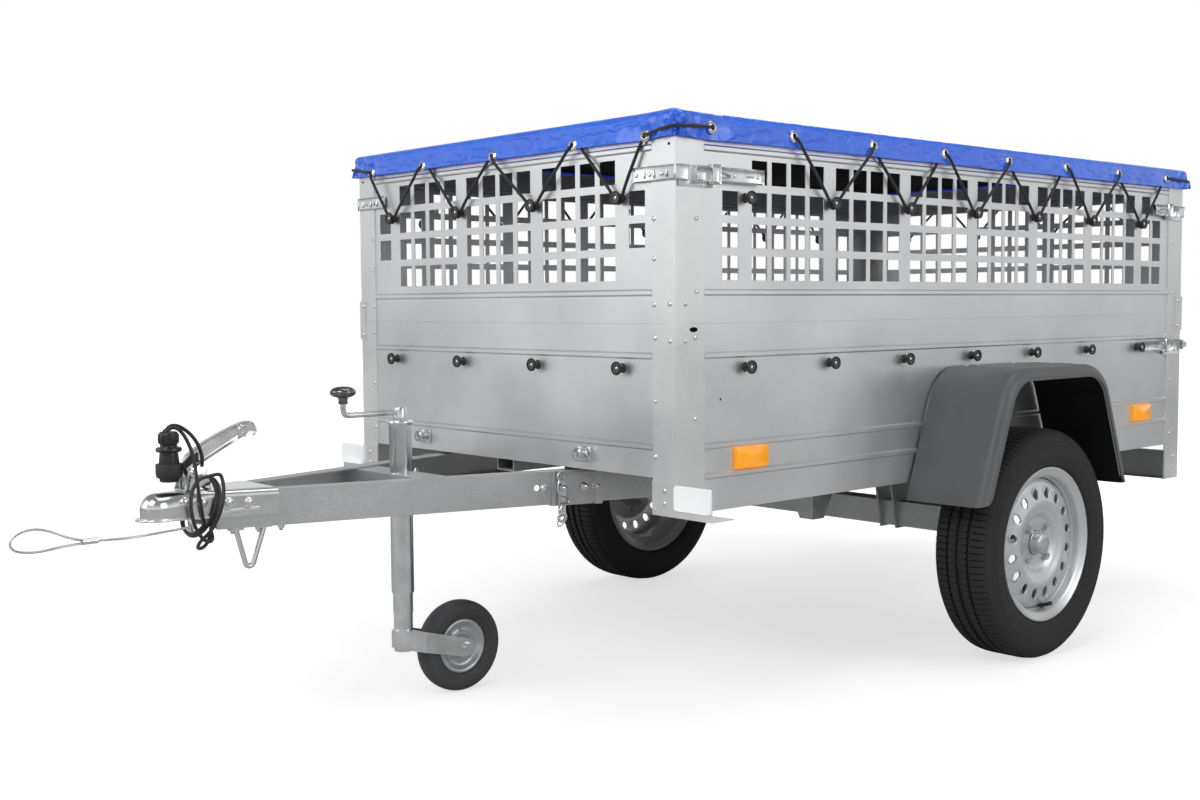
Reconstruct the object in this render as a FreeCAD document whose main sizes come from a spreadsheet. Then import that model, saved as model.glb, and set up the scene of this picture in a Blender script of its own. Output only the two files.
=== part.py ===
import FreeCAD, Part
import math
import os
import Sketcher

# Single-axle utility trailer with a galvanised load box, a mesh extension under a flat
# cover, a tilting V drawbar, a ball coupling and a jockey wheel. Millimetres, +X towards
# the coupling, +Y to the trailer's left, +Z up. The origin is on the ground, midway
# between the coupling's nose and the rearmost catch, on the centreline.

SIZES = [
    # load box
    ("box_length", 2058, "outside length of the load box"),
    ("box_width", 1124, "outside width of the load box"),
    ("tow_reach", 845, "box front to the coupling's nose"),
    ("rear_reach", 28, "box rear to the tailgate catch's back"),
    ("skirt_z", 432, "underside of the side skirts"),
    ("floor_z", 505, "underside of the floor board"),
    ("board_thick", 12, "floor board"),
    ("split_z", 807.5, "joint between the box and its extension"),
    ("top_z", 1212, "top of the extension"),
    ("sheet_thick", 2, "panel sheet"),
    ("post_thick", 3, "corner post sheet"),
    ("post_side", 80, "corner post flange on the side"),
    ("post_end", 65, "corner post flange on the front"),
    ("gate_flange", 42, "rear post flange beside the tailgate"),
    ("rear_post_z", 332, "foot of the rear posts"),
    ("tab_length", 20, "panel edge behind a post"),
    ("bead_depth", 4, "how far a pressed bead stands out"),
    ("bead_half", 7, "half height of a pressed bead"),
    ("bead_low_z", 503.6, "lowest side bead"),
    ("bead_mid_z", 563.5, "middle bead"),
    ("bead_high_z", 744, "upper bead"),
    ("bead_ext_z", 869, "bead of the extension under the windows"),
    ("bead_top_drop", 60, "bead above the windows, below the extension's top"),
    ("lip", 12, "folded lip along a panel's edge"),
    ("skirt_lip", 26, "folded lip under a side skirt"),
    ("seat_gap", 0.3, "gap of a piece that rests on another"),
    # mesh windows and lacing knobs
    ("row_z", 893.5, "lower edge of the lowest window row"),
    ("row_pitch", 64.5, "window row pitch"),
    ("window_high", 48.5, "window height"),
    ("window_wide", 47, "window width"),
    ("bar_least", 10, "least sheet between two windows"),
    ("post_bar", 20, "half of a wide bar that carries a knob"),
    ("knob_first", 202, "first side knob from the box front"),
    ("knob_last", 251, "last side knob from the box rear"),
    ("knob_edge", 154, "outer knob of an end from the box side"),
    ("side_knobs", 7, "knobs along a side"),
    ("end_knobs", 4, "knobs across an end"),
    ("knob_low_z", 718, "lower knob row"),
    ("knob_drop", 153.3, "upper knob row below the extension's top"),
    ("knob_reach", 28, "knob length outside the box"),
    ("knob_head", 11, "knob head radius"),
    ("knob_stem", 6, "knob stem radius"),
    ("knob_flare", 5, "length of a knob's flared foot and head"),
    ("knob_crown", 2, "bevel of a knob's head"),
    ("knob_neck", 8, "knob head and flare together"),
    # cover
    ("cover_rise", 7, "top of the cover above the extension"),
    ("cover_drop", 45.5, "the skirt's lower edge below the top of the extension"),
    ("cover_out", 11, "how far the cover's skirt stands off the box"),
    ("cover_thick", 4, "cover skirt"),
    ("cover_roof", 3, "cover over the load"),
    ("cover_band", 40, "doubled band along the cover's edge"),
    ("eyelet_drop", 22, "side eyelets below the extension's top"),
    ("eyelet_end_drop", 38, "end eyelets below the extension's top"),
    ("eyelet_side", 92, "first side eyelet from the box front"),
    ("eyelet_end", 72, "first front eyelet from the box side"),
    ("elastic_r", 3.5, "elastic cord radius"),
    # joiners, latches and markers
    ("joiner_low_z", 762, "lower end of a post joiner"),
    ("joiner_high", 96, "height of a post joiner"),
    ("joiner_side", 38, "joiner flange on the side"),
    ("joiner_end", 22, "joiner flange on the end"),
    ("latch_drop", 129, "underside of the upper latches, below the extension's top"),
    ("latch_low_z", 702, "underside of the tailgate latches"),
    ("latch_high", 34, "latch height"),
    ("latch_length", 243, "front and tailgate latch length from the corner"),
    ("latch_short", 180, "rear upper latch length from the corner"),
    ("latch_clear", 8, "gap between a lever and its corner"),
    ("latch_strap", 112, "latch strap across the end"),
    ("latch_base", 4, "latch base plate"),
    ("latch_rise", 11, "lever above its base plate"),
    ("latch_short_by", 60, "base plate's end behind the lever's tip"),
    ("latch_back", 26, "lever behind the base plate's rear end"),
    ("latch_grip", 40, "lever pivot from the base plate's rear end"),
    ("latch_pivot_r", 7, "lever pivot radius"),
    ("latch_edge", 4, "lever narrower than its base, each side"),
    ("strap_edge", 3, "strap narrower than the base, each side"),
    ("strap_sheet", 3, "latch strap"),
    ("strap_out", 7, "strap's fold outside the box side"),
    ("strap_fold", 34, "strap's fold along the side"),
    ("marker_out", 98, "white reflector's reach past the side"),
    ("marker_low_z", 445, "white reflector's lower edge"),
    ("marker_high", 49, "white reflector's height"),
    ("bracket_low_z", 432, "foot of the marker bracket"),
    ("bracket_high", 66, "height of the marker bracket"),
    ("marker_sheet", 2, "marker bracket"),
    ("marker_foot", 60, "length of the marker bracket's foot"),
    ("lens_thick", 6, "white reflector"),
    ("amber_thick", 8, "amber reflector"),
    ("amber_long", 97, "amber reflector's length"),
    ("amber_low_z", 512, "amber reflector's lower edge"),
    ("amber_high", 43, "amber reflector's height"),
    ("amber_front", 217, "front amber reflector's centre from the box front"),
    ("amber_rear", 1838, "rear amber reflector's centre from the box front"),
    # tailgate
    ("gate_thick", 22, "tailgate depth"),
    ("gate_gap", 5, "tailgate clearance at its sides"),
    ("gate_low_z", 512, "tailgate's lower edge"),
    ("hinge_back", 6, "tailgate hinge behind the box rear"),
    ("hinge_z", 497, "tailgate hinge height"),
    ("hinge_pin", 4, "tailgate hinge pin radius"),
    ("hinge_play", 0.05, "radial clearance on the tailgate pins"),
    ("knuckle_r", 8, "tailgate hinge knuckle radius"),
    ("knuckle_long", 60, "tailgate hinge knuckle length"),
    ("knuckle_out", 300, "outer hinges from the centreline"),
    ("catch_sheet", 4, "tailgate catch plate"),
    ("catch_in", 20, "catch plate's inner end from the gate's edge"),
    ("catch_out", 7, "catch plate's reach past the box side"),
    ("catch_foot", 18, "width of the catch plate's foot"),
    ("catch_tip", 12, "catch hook inside the box side"),
    ("catch_edge", 6, "catch hook narrower than its plate, each side"),
    ("leaf_rise", 12, "hinge leaf above the tailgate's lower edge"),
    ("lug_half", 3, "half thickness of a hinge lug"),
    ("lug_side", 9, "hinge lug from its knuckle"),
    ("lug_r", 5, "half height of a hinge lug"),
    # lamps
    ("bar_in", 55, "lamp bar ahead of the box rear"),
    ("bar_low_z", 333, "lamp bar's lower edge"),
    ("bar_high", 82, "lamp bar's height"),
    ("lamp_wide", 190, "rear lamp width"),
    ("lamp_high", 74, "rear lamp height"),
    ("lamp_deep", 30, "rear lamp depth"),
    ("lamp_in", 160, "rear lamp's centre from the side"),
    ("bar_flange", 22, "lamp bar flange"),
    ("bar_sheet", 2, "lamp bar sheet"),
    ("lamp_round", 9, "lamp corner radius"),
    ("triangle_thick", 8, "triangular reflector"),
    ("hanger_half", 20, "half width of a lamp bar hanger"),
    ("hanger_sheet", 4, "lamp bar hanger"),
    ("triangle_side", 150, "triangular reflector's side"),
    ("triangle_out", 210, "triangular reflector from the centreline"),
    ("buffer_r", 14, "rear buffer radius"),
    ("buffer_z", 347, "rear buffer height"),
    ("buffer_out", 13, "rear buffer length"),
    # axle and wheels
    ("axle_setback", 1061, "wheel axis behind the box front"),
    ("tyre_r", 273.5, "tyre outer radius"),
    ("tyre_wide", 155, "tyre section width"),
    ("wheel_out", 109, "tyre centre plane outside the box side"),
    ("rim_r", 183, "rim flange radius"),
    ("bead_seat_r", 164, "rim bead seat radius"),
    ("rim_half", 66, "half of the rim's overall width"),
    ("rim_sheet", 4, "rim and disc sheet"),
    ("disc_out", 30, "wheel disc's seat outside the centre plane"),
    ("vent_count", 16, "oval openings in the disc"),
    ("vent_circle", 121, "radius of the circle of disc openings"),
    ("vent_r", 12.5, "disc opening radius"),
    ("hub_r", 58, "hub flange radius"),
    ("hub_flange", 9, "hub flange thickness"),
    ("cap_r", 27, "dust cap radius"),
    ("cap_long", 30, "dust cap length"),
    ("stub_r", 15, "stub axle radius"),
    ("stub_play", 0.05, "radial clearance on the stub axle"),
    ("bolt_circle", 50, "radius of the wheel bolt circle"),
    ("bolt_r", 8.5, "wheel bolt head radius"),
    ("bolt_head", 11, "wheel bolt head height"),
    ("beam_ahead", 130, "axle beam ahead of the wheel axis"),
    ("beam_low_z", 300, "underside of the axle beam"),
    ("beam_size", 60, "axle beam section"),
    ("beam_inset", 12, "axle beam's end inside the box side"),
    ("mount_sheet", 5, "axle mount plate"),
    ("mount_edge", 6, "axle mount's foot past the beam"),
    ("mount_flare", 38, "axle mount's head past the beam"),
    ("mount_lap", 8, "axle mount's lap on the frame rail"),
    ("root_r", 32, "swing arm radius at the beam"),
    ("swing_tip_r", 28, "swing arm radius at the hub"),
    ("arm_thick", 26, "swing arm thickness"),
    ("mount_out", 400, "axle mounts and frame rails from the centreline"),
    # mudguards
    ("guard_wide", 205, "mudguard width outside the box side"),
    ("guard_low_z", 392, "mudguard's lower edge"),
    ("guard_top_z", 692, "mudguard's top"),
    ("guard_foot", 317, "mudguard's foot from the wheel axis"),
    ("guard_crown", 200, "mudguard's crown from the wheel axis"),
    ("guard_sheet", 4, "mudguard wall"),
    ("guard_lip", 24, "mudguard's outer lip"),
    ("guard_bend", 62, "mudguard's corner radius"),
    ("guard_round", 16, "mudguard's outer edge radius"),
    # underframe
    ("cross_back", 600, "middle cross member's front face behind the box front"),
    ("member_wide", 40, "frame member width"),
    ("member_high", 60, "frame member height"),
    ("member_sheet", 3, "frame member sheet"),
    ("hat_high", 30, "front stiffener height"),
    ("hat_half", 30, "half width of the front stiffener"),
    ("hat_sheet", 3, "front stiffener sheet"),
    # drawbar
    ("arm_angle", 15.35, "arm's angle to the centreline"),
    ("arm_tip", 710, "arm's tip ahead of the box front"),
    ("arm_tip_half", 50, "arm's outer face from the centreline at the tip"),
    ("arm_low_z", 427, "underside of the arms"),
    ("arm_high", 70, "arm height"),
    ("arm_flange", 38, "arm flange width"),
    ("arm_sheet", 3, "arm sheet"),
    ("pivot_back", 570, "tilt pivot behind the box front"),
    ("eye_r", 24, "pivot eye radius"),
    ("eye_half", 24, "half length of a pivot eye"),
    ("pin_r", 8, "tilt pin radius"),
    ("pin_play", 0.05, "radial clearance on the tilt pins"),
    ("cheek_gap", 1, "side clearance of a pivot eye"),
    ("cheek_sheet", 5, "pivot bracket sheet"),
    ("cheek_low_z", 345, "foot of the pivot bracket's gusset"),
    ("cheek_round", 30, "pivot bracket ahead of the pivot"),
    ("gusset_long", 95, "gusset along the frame"),
    ("gusset_waist", 62, "gusset at its waist"),
    ("gusset_foot", 40, "gusset at its foot"),
    ("gusset_wide", 30, "gusset's reach inside the bracket"),
    ("gusset_pad", 4, "gusset's head plate"),
    ("pin_proud", 8, "tilt pin outside its bracket, each end"),
    ("arm_hole_r", 6.5, "accessory hole in the arm"),
    ("arm_hole_x", 72, "accessory hole ahead of the box front"),
    ("arm_hole_z", 464, "accessory hole height"),
    ("cross_half", 34, "half length of the jack crossbar"),
    ("cross_sheet", 4, "jack crossbar sheet"),
    ("wrap_ahead", 44, "arm bracket ahead of the box front"),
    ("wrap_behind", 66, "arm bracket behind the box front"),
    ("wrap_sheet", 3, "arm bracket sheet"),
    ("wrap_fold", 20, "arm bracket's fold under the arm"),
    ("wrap_drop", 4, "arm bracket's upper edge below the arm's top"),
    ("wrap_rib", 14, "depth of the arm bracket's rib"),
    ("wrap_rib_long", 16, "length of the arm bracket's rib"),
    ("lock_y", 290, "tilt lock hook from the centreline"),
    ("lock_z", 536, "tilt lock hook height"),
    ("lock_plate", 22, "half width of the hook's plate"),
    ("lock_plate_low", 518, "lower edge of the hook's plate"),
    ("lock_plate_high", 552, "upper edge of the hook's plate"),
    ("lock_stem", 24, "hook length"),
    ("lock_stem_r", 6, "hook stem radius"),
    ("lock_head_r", 13, "hook head radius"),
    ("tie_ahead", 14, "tilt lock strap ahead of the box front"),
    ("tie_wide", 22, "tilt lock strap width"),
    ("tie_thick", 8, "tilt lock strap thickness"),
    ("tie_low", 398, "foot of the tilt lock strap"),
    ("tie_high", 488, "top of the tilt lock strap"),
    ("tie_bolt_z", 462, "tilt lock strap's bolt height"),
    # coupling
    ("ball_r", 25.3, "ball socket radius"),
    ("shell", 4, "coupling sheet"),
    ("lip_r", 38, "coupling lip radius"),
    ("tail_back", 247, "coupling tail behind the nose"),
    ("side_drop", 51, "depth of the coupling's sides"),
    ("lever_x", 100, "lever bracket behind the nose"),
    ("lever_half", 13, "half width of the lever"),
    ("cheek_y", 21, "inner face of the lever's cheeks from the centreline"),
    ("lever_sheet", 3, "lever bracket sheet"),
    ("boss_r", 11, "boss radius at the lever's end"),
    ("boss_hole_r", 5, "hole in the lever's boss"),
    ("boss_back", 112, "boss behind the lever's pivot line"),
    ("boss_high", 106, "boss above the coupling"),
    ("lever_pin_r", 5, "lever pin radius"),
    ("lug_reach", 12, "rope lug along the coupling"),
    ("lug_wide", 6, "half width of the rope lug"),
    # jack and jockey wheel
    ("jack_x", 263, "jack axis ahead of the box front"),
    ("tube_r", 24, "outer tube radius"),
    ("slide_r", 21, "outer tube bore radius"),
    ("slide_play", 0.05, "radial clearance in the outer tube"),
    ("tube_top_z", 606, "top of the outer tube"),
    ("tube_low_z", 238, "foot of the outer tube"),
    ("stem_top_z", 520, "top of the inner tube"),
    ("stem_low_z", 195, "foot of the inner tube"),
    ("swivel_r", 10, "swivel spigot radius"),
    ("swivel_play", 0.05, "radial clearance on the swivel spigot"),
    ("socket_low_z", 112, "foot of the fork's socket"),
    ("jockey_r", 100, "jockey wheel radius"),
    ("jockey_wide", 50, "jockey wheel width"),
    ("jockey_trail", 143, "jockey wheel axis behind the jack"),
    ("jockey_rim_r", 60, "jockey rim radius"),
    ("jockey_pin", 7, "jockey axle radius"),
    ("jockey_play", 0.05, "radial clearance on the jockey axle"),
    ("fork_sheet", 5, "fork strip"),
    ("crank_reach", 138, "crank knob ahead of the jack"),
    ("crank_r", 6, "crank rod radius"),
    ("crank_bend", 12, "crank bend radius"),
    ("head_r", 14, "crank head radius"),
    ("head_high", 27, "crank head height"),
    ("crank_rise", 16, "crank arm above the head's foot"),
    ("tube_cap", 4, "closed top of the outer tube"),
    ("stem_bore", 17, "inner tube bore radius"),
    ("socket_r", 20, "fork socket radius"),
    ("fork_play", 6, "fork clearance beside the wheel"),
    ("pin_head_r", 11, "jockey axle head radius"),
    ("pin_head", 8, "jockey axle head"),
    ("hook_rod", 5, "support hook rod radius"),
    ("hook_bend", 9, "support hook's inner bend"),
    ("hook_front", 672, "hook's front foot ahead of the box front"),
    ("hook_tip", 646, "hook's tip ahead of the box front"),
    ("hook_rear", 612, "hook's rear foot ahead of the box front"),
    ("hook_drop", 98, "hook's tip below the arm"),
    ("hook_in", 18, "hook inside the arm's outer face"),
    # plug, cables and safety rope
    ("plug_x", 66, "plug behind the nose"),
    ("plug_low_z", 520, "underside of the parked plug"),
    ("plug_r", 25, "plug collar radius"),
    ("cable_d", 7, "cable diameter"),
    ("rope_d", 5, "safety rope diameter"),
    ("rope_x", 84, "safety rope's root behind the nose"),
    ("rope_y", 46, "safety rope from the centreline"),
    ("rope_z", 437, "height of the safety rope's root"),
    ("ferrule_r", 5.6, "ferrule radius"),
    ("ferrule_long", 29, "ferrule length"),
    ("ferrule_ahead", 92, "ferrule ahead of the nose"),
    ("ferrule_z", 433.5, "ferrule height"),
    ("coil_back", 133, "coil's centre behind the nose"),
    ("coil_z", 468, "coil's centre height"),
    ("coil_wide", 22, "width of the bundle of turns"),
    ("coil_reach", 86, "coil's outer half width"),
    ("coil_rise", 72, "coil's outer half height"),
    ("coil_in_reach", 75, "coil's inner half width"),
    ("coil_in_rise", 60, "coil's inner half height"),
    ("coil_lean", 19.8, "coil's lean in degrees"),
]


class Size:
    """A length or angle that keeps its formula beside its value."""

    def __init__(self, text, value):
        self.text, self.value = text, float(value)

    def join(self, sign, other, value, swap=False):
        first, second = (other.text, self.text) if swap else (self.text, other.text)
        return Size("(" + first + sign + second + ")", value)

    def __add__(self, other):
        other = size_of(other)
        return self.join(" + ", other, self.value + other.value)

    def __radd__(self, other):
        return size_of(other) + self

    def __sub__(self, other):
        other = size_of(other)
        return self.join(" - ", other, self.value - other.value)

    def __rsub__(self, other):
        return size_of(other) - self

    def __mul__(self, other):
        other = size_of(other)
        return self.join(" * ", other, self.value * other.value)

    def __rmul__(self, other):
        return size_of(other) * self

    def __truediv__(self, other):
        other = size_of(other)
        return self.join(" / ", other, self.value / other.value)

    def __neg__(self):
        return Size("(0 - " + self.text + ")", -self.value)

    def __float__(self):
        return self.value

    def __int__(self):
        return int(self.value)


def size_of(number):
    """Return number as a Size."""
    return number if isinstance(number, Size) else Size(repr(float(number)), number)


def wave(name, angle):
    """Return the sine, cosine or tangent of a Size in degrees."""
    value = getattr(math, name)(math.radians(angle.value))
    return Size(name + "(" + angle.text + " * 1 deg)", value)


class Values:
    """The sheet's values by alias."""


doc = FreeCAD.newDocument("UtilityTrailer")
nodes = []


def fill_sheet():
    """Write the driving dimensions and return them as Sizes."""
    sheet = doc.addObject("Spreadsheet::Sheet", "Sizes")
    values = Values()
    for row, (alias, number, note) in enumerate(SIZES, start=1):
        sheet.set("A%d" % row, note)
        sheet.set("B%d" % row, str(number))
        sheet.setAlias("B%d" % row, alias)
        setattr(values, alias, Size("Sizes." + alias, number))
    doc.recompute()
    return values


v = fill_sheet()

# Planes that many pieces share.
HALF = v.box_width / 2
BOX_REAR = v.rear_reach - (v.tow_reach + v.box_length + v.rear_reach) / 2
BOX_FRONT = BOX_REAR + v.box_length
NOSE = BOX_FRONT + v.tow_reach
PANEL_OUT = HALF - v.post_thick
PANEL_IN = PANEL_OUT - v.sheet_thick
AXLE_X = BOX_FRONT - v.axle_setback
WHEEL_Y = HALF + v.wheel_out
BEAM_X = AXLE_X + v.beam_ahead
BEAM_Z = v.beam_low_z + v.beam_size / 2
PIVOT_X = BOX_FRONT - v.pivot_back
ARM_TOP = v.arm_low_z + v.arm_high
PIVOT_Z = v.arm_low_z + v.arm_high / 2
ARM_SLOPE = wave("tan", v.arm_angle)
ARM_TIP_X = BOX_FRONT + v.arm_tip
JACK_X = BOX_FRONT + v.jack_x
BALL_X = NOSE - v.lip_r
SHELL_R = v.ball_r + v.shell
HOUSING_TOP = ARM_TOP + v.seat_gap + v.shell
BALL_Z = HOUSING_TOP - SHELL_R
HOUSING_LOW = HOUSING_TOP - v.side_drop
GATE_HALF = HALF - v.gate_flange - v.gate_gap
HINGE_X = BOX_REAR - v.hinge_back
FRAME_LOW = v.floor_z - v.member_high
COVER_TOP = v.top_z + v.cover_rise
COVER_HEM = v.top_z - v.cover_drop
BEAD_TOP = v.top_z - v.bead_top_drop
KNOB_HIGH = v.top_z - v.knob_drop
EYELET_Z = v.top_z - v.eyelet_drop
EYELET_END_Z = v.top_z - v.eyelet_end_drop
LATCH_Z = v.top_z - v.latch_drop
KNOB_PITCH = (v.box_length - v.knob_first - v.knob_last) / (v.side_knobs - 1)
END_PITCH = (v.box_width - v.knob_edge * 2) / (v.end_knobs - 1)


# Small helpers that make one object each, bound to the sheet.

def bind(item, name, size):
    """Tie one property of item to a Size."""
    item.setExpression(name, size_of(size).text)


def move_to(item, x, y, z, axis=None, angle=0):
    """Place item at x, y, z, turned by angle about axis."""
    if axis is not None:
        turn = FreeCAD.Rotation(FreeCAD.Vector(*axis), float(angle))
        item.Placement = FreeCAD.Placement(FreeCAD.Vector(0, 0, 0), turn)
        bind(item, "Placement.Rotation.Angle", angle)
    bind(item, "Placement.Base.x", x)
    bind(item, "Placement.Base.y", y)
    bind(item, "Placement.Base.z", z)
    return item


def block(name, x, y, z):
    """A box between the low and high ends given for each axis."""
    item = doc.addObject("Part::Box", name)
    bind(item, "Length", size_of(x[1]) - x[0])
    bind(item, "Width", size_of(y[1]) - y[0])
    bind(item, "Height", size_of(z[1]) - z[0])
    return move_to(item, x[0], y[0], z[0])


AXES = {"X": ((0, 1, 0), 90), "Y": ((1, 0, 0), -90), "Z": (None, 0)}


def rod(name, radius, length, x, y, z, along="Z"):
    """A cylinder that starts at x, y, z and runs along an axis."""
    item = doc.addObject("Part::Cylinder", name)
    bind(item, "Radius", radius)
    bind(item, "Height", length)
    axis, angle = AXES[along]
    return move_to(item, x, y, z, axis, angle)


def sketch(body, role, points):
    """A closed outline of straight lines on one of the body's origin planes."""
    outline = body.newObject("Sketcher::SketchObject", body.Name + "Outline")
    plane = [part for part in body.Origin.OriginFeatures if part.Role == role][0]
    outline.AttachmentSupport = [(plane, "")]
    outline.MapMode = "FlatFace"
    corners = [FreeCAD.Vector(float(u), float(w), 0) for u, w in points]
    lines = [Part.LineSegment(a, b) for a, b in zip(corners, corners[1:] + corners[:1])]
    outline.addGeometry(lines)
    joins = [Sketcher.Constraint("Coincident", index, 2, (index + 1) % len(lines), 1)
             for index in range(len(lines))]
    outline.addConstraint(joins)
    for index, corner in enumerate(points):
        for kind, size in zip(("DistanceX", "DistanceY"), corner):
            rule = outline.addConstraint(
                Sketcher.Constraint(kind, -1, 1, index, 1, float(size)))
            bind(outline, "Constraints[%d]" % rule, size)
    return outline


PLANES = {"XY": ("XY_Plane", False), "XZ": ("XZ_Plane", True), "YZ": ("YZ_Plane", False)}


def prism(name, plane, points, depth, start=0):
    """A padded outline; start is where the pad begins along the plane's normal."""
    body = doc.addObject("PartDesign::Body", name)
    role, flip = PLANES[plane]
    pad = body.newObject("PartDesign::Pad", name + "Pad")
    pad.Profile = sketch(body, role, points)
    pad.Reversed = flip
    bind(pad, "Length", depth)
    offset = {"XY": (0, 0, start), "XZ": (0, start, 0), "YZ": (start, 0, 0)}[plane]
    return move_to(body, *offset)


def turned(name, points, x, y, z, along="Y"):
    """A revolved outline of (radius, distance along the axis) points."""
    body = doc.addObject("PartDesign::Body", name)
    role = "XY_Plane" if along == "Y" else "XZ_Plane"
    spin = body.newObject("PartDesign::Revolution", name + "Turn")
    outline = sketch(body, role, points)
    spin.Profile = outline
    spin.ReferenceAxis = (outline, ["V_Axis"])
    spin.Angle = 360
    if along == "X":
        return move_to(body, x, y, z, (0, 1, 0), 90)
    return move_to(body, x, y, z)


def fuse(name, *parts):
    """One solid from parts that touch or overlap."""
    item = doc.addObject("Part::MultiFuse", name)
    item.Shapes = list(parts)
    item.Refine = True
    return item


def cut(name, base, tool):
    """The base less the tool."""
    item = doc.addObject("Part::Cut", name)
    item.Base, item.Tool = base, tool
    return item


def common(name, *parts):
    """What the parts share."""
    item = doc.addObject("Part::MultiCommon", name)
    item.Shapes = list(parts)
    return item


def group(name, *parts):
    """Separate solids that share one object."""
    item = doc.addObject("Part::Compound", name)
    item.Links = list(parts)
    return item


def mirrored(name, source, normal=(0, 1, 0), middle=0):
    """The source mirrored in the plane through middle with the given normal."""
    item = doc.addObject("Part::Mirroring", name)
    item.Source = source
    item.Normal = FreeCAD.Vector(*normal)
    if normal[0]:
        bind(item, "Base.x", middle)
    return item


def rounded(name, base, radius, wanted):
    """The base with a fillet on each edge that wanted accepts."""
    doc.recompute()
    item = doc.addObject("Part::Fillet", name)
    item.Base = base
    picked = [index for index, edge in enumerate(base.Shape.Edges, start=1) if wanted(edge)]
    item.Edges = [(index, float(radius), float(radius)) for index in picked]
    return item


def fixed(name, shape):
    """A shape made with Part's own functions."""
    item = doc.addObject("Part::Feature", name)
    item.Shape = shape
    return item


def node(label, item):
    """Name a finished piece; the label is its file's name."""
    item.Label = label
    nodes.append(item)
    return item


def both_sides(name, left):
    """A piece and its mirror image on the trailer's other side."""
    return group(name, left, mirrored(name + "Right", left))


# Load box

def beaded(out, low, high, beads, lip_low, lip_high):
    """Outline of a pressed sheet: outward is +u, beads stand out, lips fold inwards."""
    face = [(out, low)]
    back = [(out - v.sheet_thick, low + v.sheet_thick)]
    for middle in beads:
        steps = ((-v.bead_half, 0), (-v.bead_half / 2, v.bead_depth),
                 (v.bead_half / 2, v.bead_depth), (v.bead_half, 0))
        face += [(out + rise, middle + step) for step, rise in steps]
        back += [(out + rise - v.sheet_thick, middle + step) for step, rise in steps]
    face.append((out, high))
    back.append((out - v.sheet_thick, high - v.sheet_thick))
    top = [(out - lip_high, high), (out - lip_high, high - v.sheet_thick)]
    foot = [(out - lip_low, low + v.sheet_thick), (out - lip_low, low)]
    return face + top + back[::-1] + foot


def side_sheet(name, low, high, beads, lip_low, post_side):
    """The left panel of the box or of its extension, with flat tabs behind the posts."""
    start, stop = BOX_REAR + post_side, BOX_FRONT - post_side
    outline = beaded(PANEL_OUT, low, high, beads, lip_low, v.lip)
    sheet = prism(name + "Sheet", "YZ", outline, stop - start, start)
    depth = (PANEL_IN, PANEL_OUT)
    front = block(name + "FrontTab", (stop, stop + v.tab_length), depth, (low, high))
    rear = block(name + "RearTab", (start - v.tab_length, start), depth, (low, high))
    return fuse(name + "Whole", sheet, front, rear)


def front_sheet(name, low, high, beads, flange):
    """The front panel of the box or of its extension."""
    out = BOX_FRONT - v.post_thick
    reach = HALF - flange
    outline = beaded(out, low, high, beads, v.lip, v.lip)
    sheet = prism(name + "Sheet", "XZ", outline, 2 * reach, -reach)
    depth = (out - v.sheet_thick, out)
    left = block(name + "LeftTab", depth, (reach, reach + v.tab_length), (low, high))
    right = block(name + "RightTab", depth, (-reach - v.tab_length, -reach), (low, high))
    return fuse(name + "Whole", sheet, left, right)


def corner(name, side, end, low, high, rear=False, thick=None, lift=0):
    """A left corner angle: one flange on the side, one on the front or rear."""
    thick = thick or v.post_thick
    edge = BOX_REAR - lift if rear else BOX_FRONT + lift
    inward = 1 if rear else -1
    y = HALF + lift
    outline = [(edge, y), (edge + inward * side, y), (edge + inward * side, y - thick),
               (edge + inward * thick, y - thick), (edge + inward * thick, y - end),
               (edge, y - end)]
    return prism(name, "XY", outline, size_of(high) - low, low)


def build_floor():
    reach = PANEL_IN - v.seat_gap
    start = BOX_REAR + v.gate_thick + v.gate_gap
    stop = BOX_FRONT - v.post_thick - v.sheet_thick - v.seat_gap
    board = block("FloorBoard", (start, stop), (-reach, reach),
                  (v.floor_z, v.floor_z + v.board_thick))
    node("load_floor", board)


def build_box_panels():
    beads = (v.bead_low_z, v.bead_mid_z, v.bead_high_z)
    left = side_sheet("Side", v.skirt_z, v.split_z, beads, v.skirt_lip, v.post_side)
    node("side_panel_left", left)
    node("side_panel_right", mirrored("SideRight", left))
    low = v.floor_z - v.sheet_thick
    node("front_panel", front_sheet("Front", low, v.split_z,
                                    (v.bead_mid_z, v.bead_high_z), v.post_end))


def build_posts():
    front = corner("PostFront", v.post_side, v.post_end, v.skirt_z, v.split_z)
    rear = corner("PostRear", v.post_side, v.gate_flange, v.rear_post_z, v.split_z, True)
    node("corner_posts", both_sides("Posts", group("PostPair", front, rear)))
    low = v.split_z + v.seat_gap
    front = corner("ExtFront", v.post_side, v.post_end, low, v.top_z)
    rear = corner("ExtRear", v.post_side, v.post_end, low, v.top_z, True)
    node("extension_posts", both_sides("ExtPosts", group("ExtPair", front, rear)))
    top = v.joiner_low_z + v.joiner_high
    front = corner("JoinFront", v.joiner_side, v.joiner_end, v.joiner_low_z, top,
                   False, v.post_thick, v.post_thick)
    rear = corner("JoinRear", v.joiner_side, v.joiner_end, v.joiner_low_z, top,
                  True, v.post_thick, v.post_thick)
    node("post_joiners", both_sides("Joiners", group("JoinPair", front, rear)))


# Mesh extension

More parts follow.
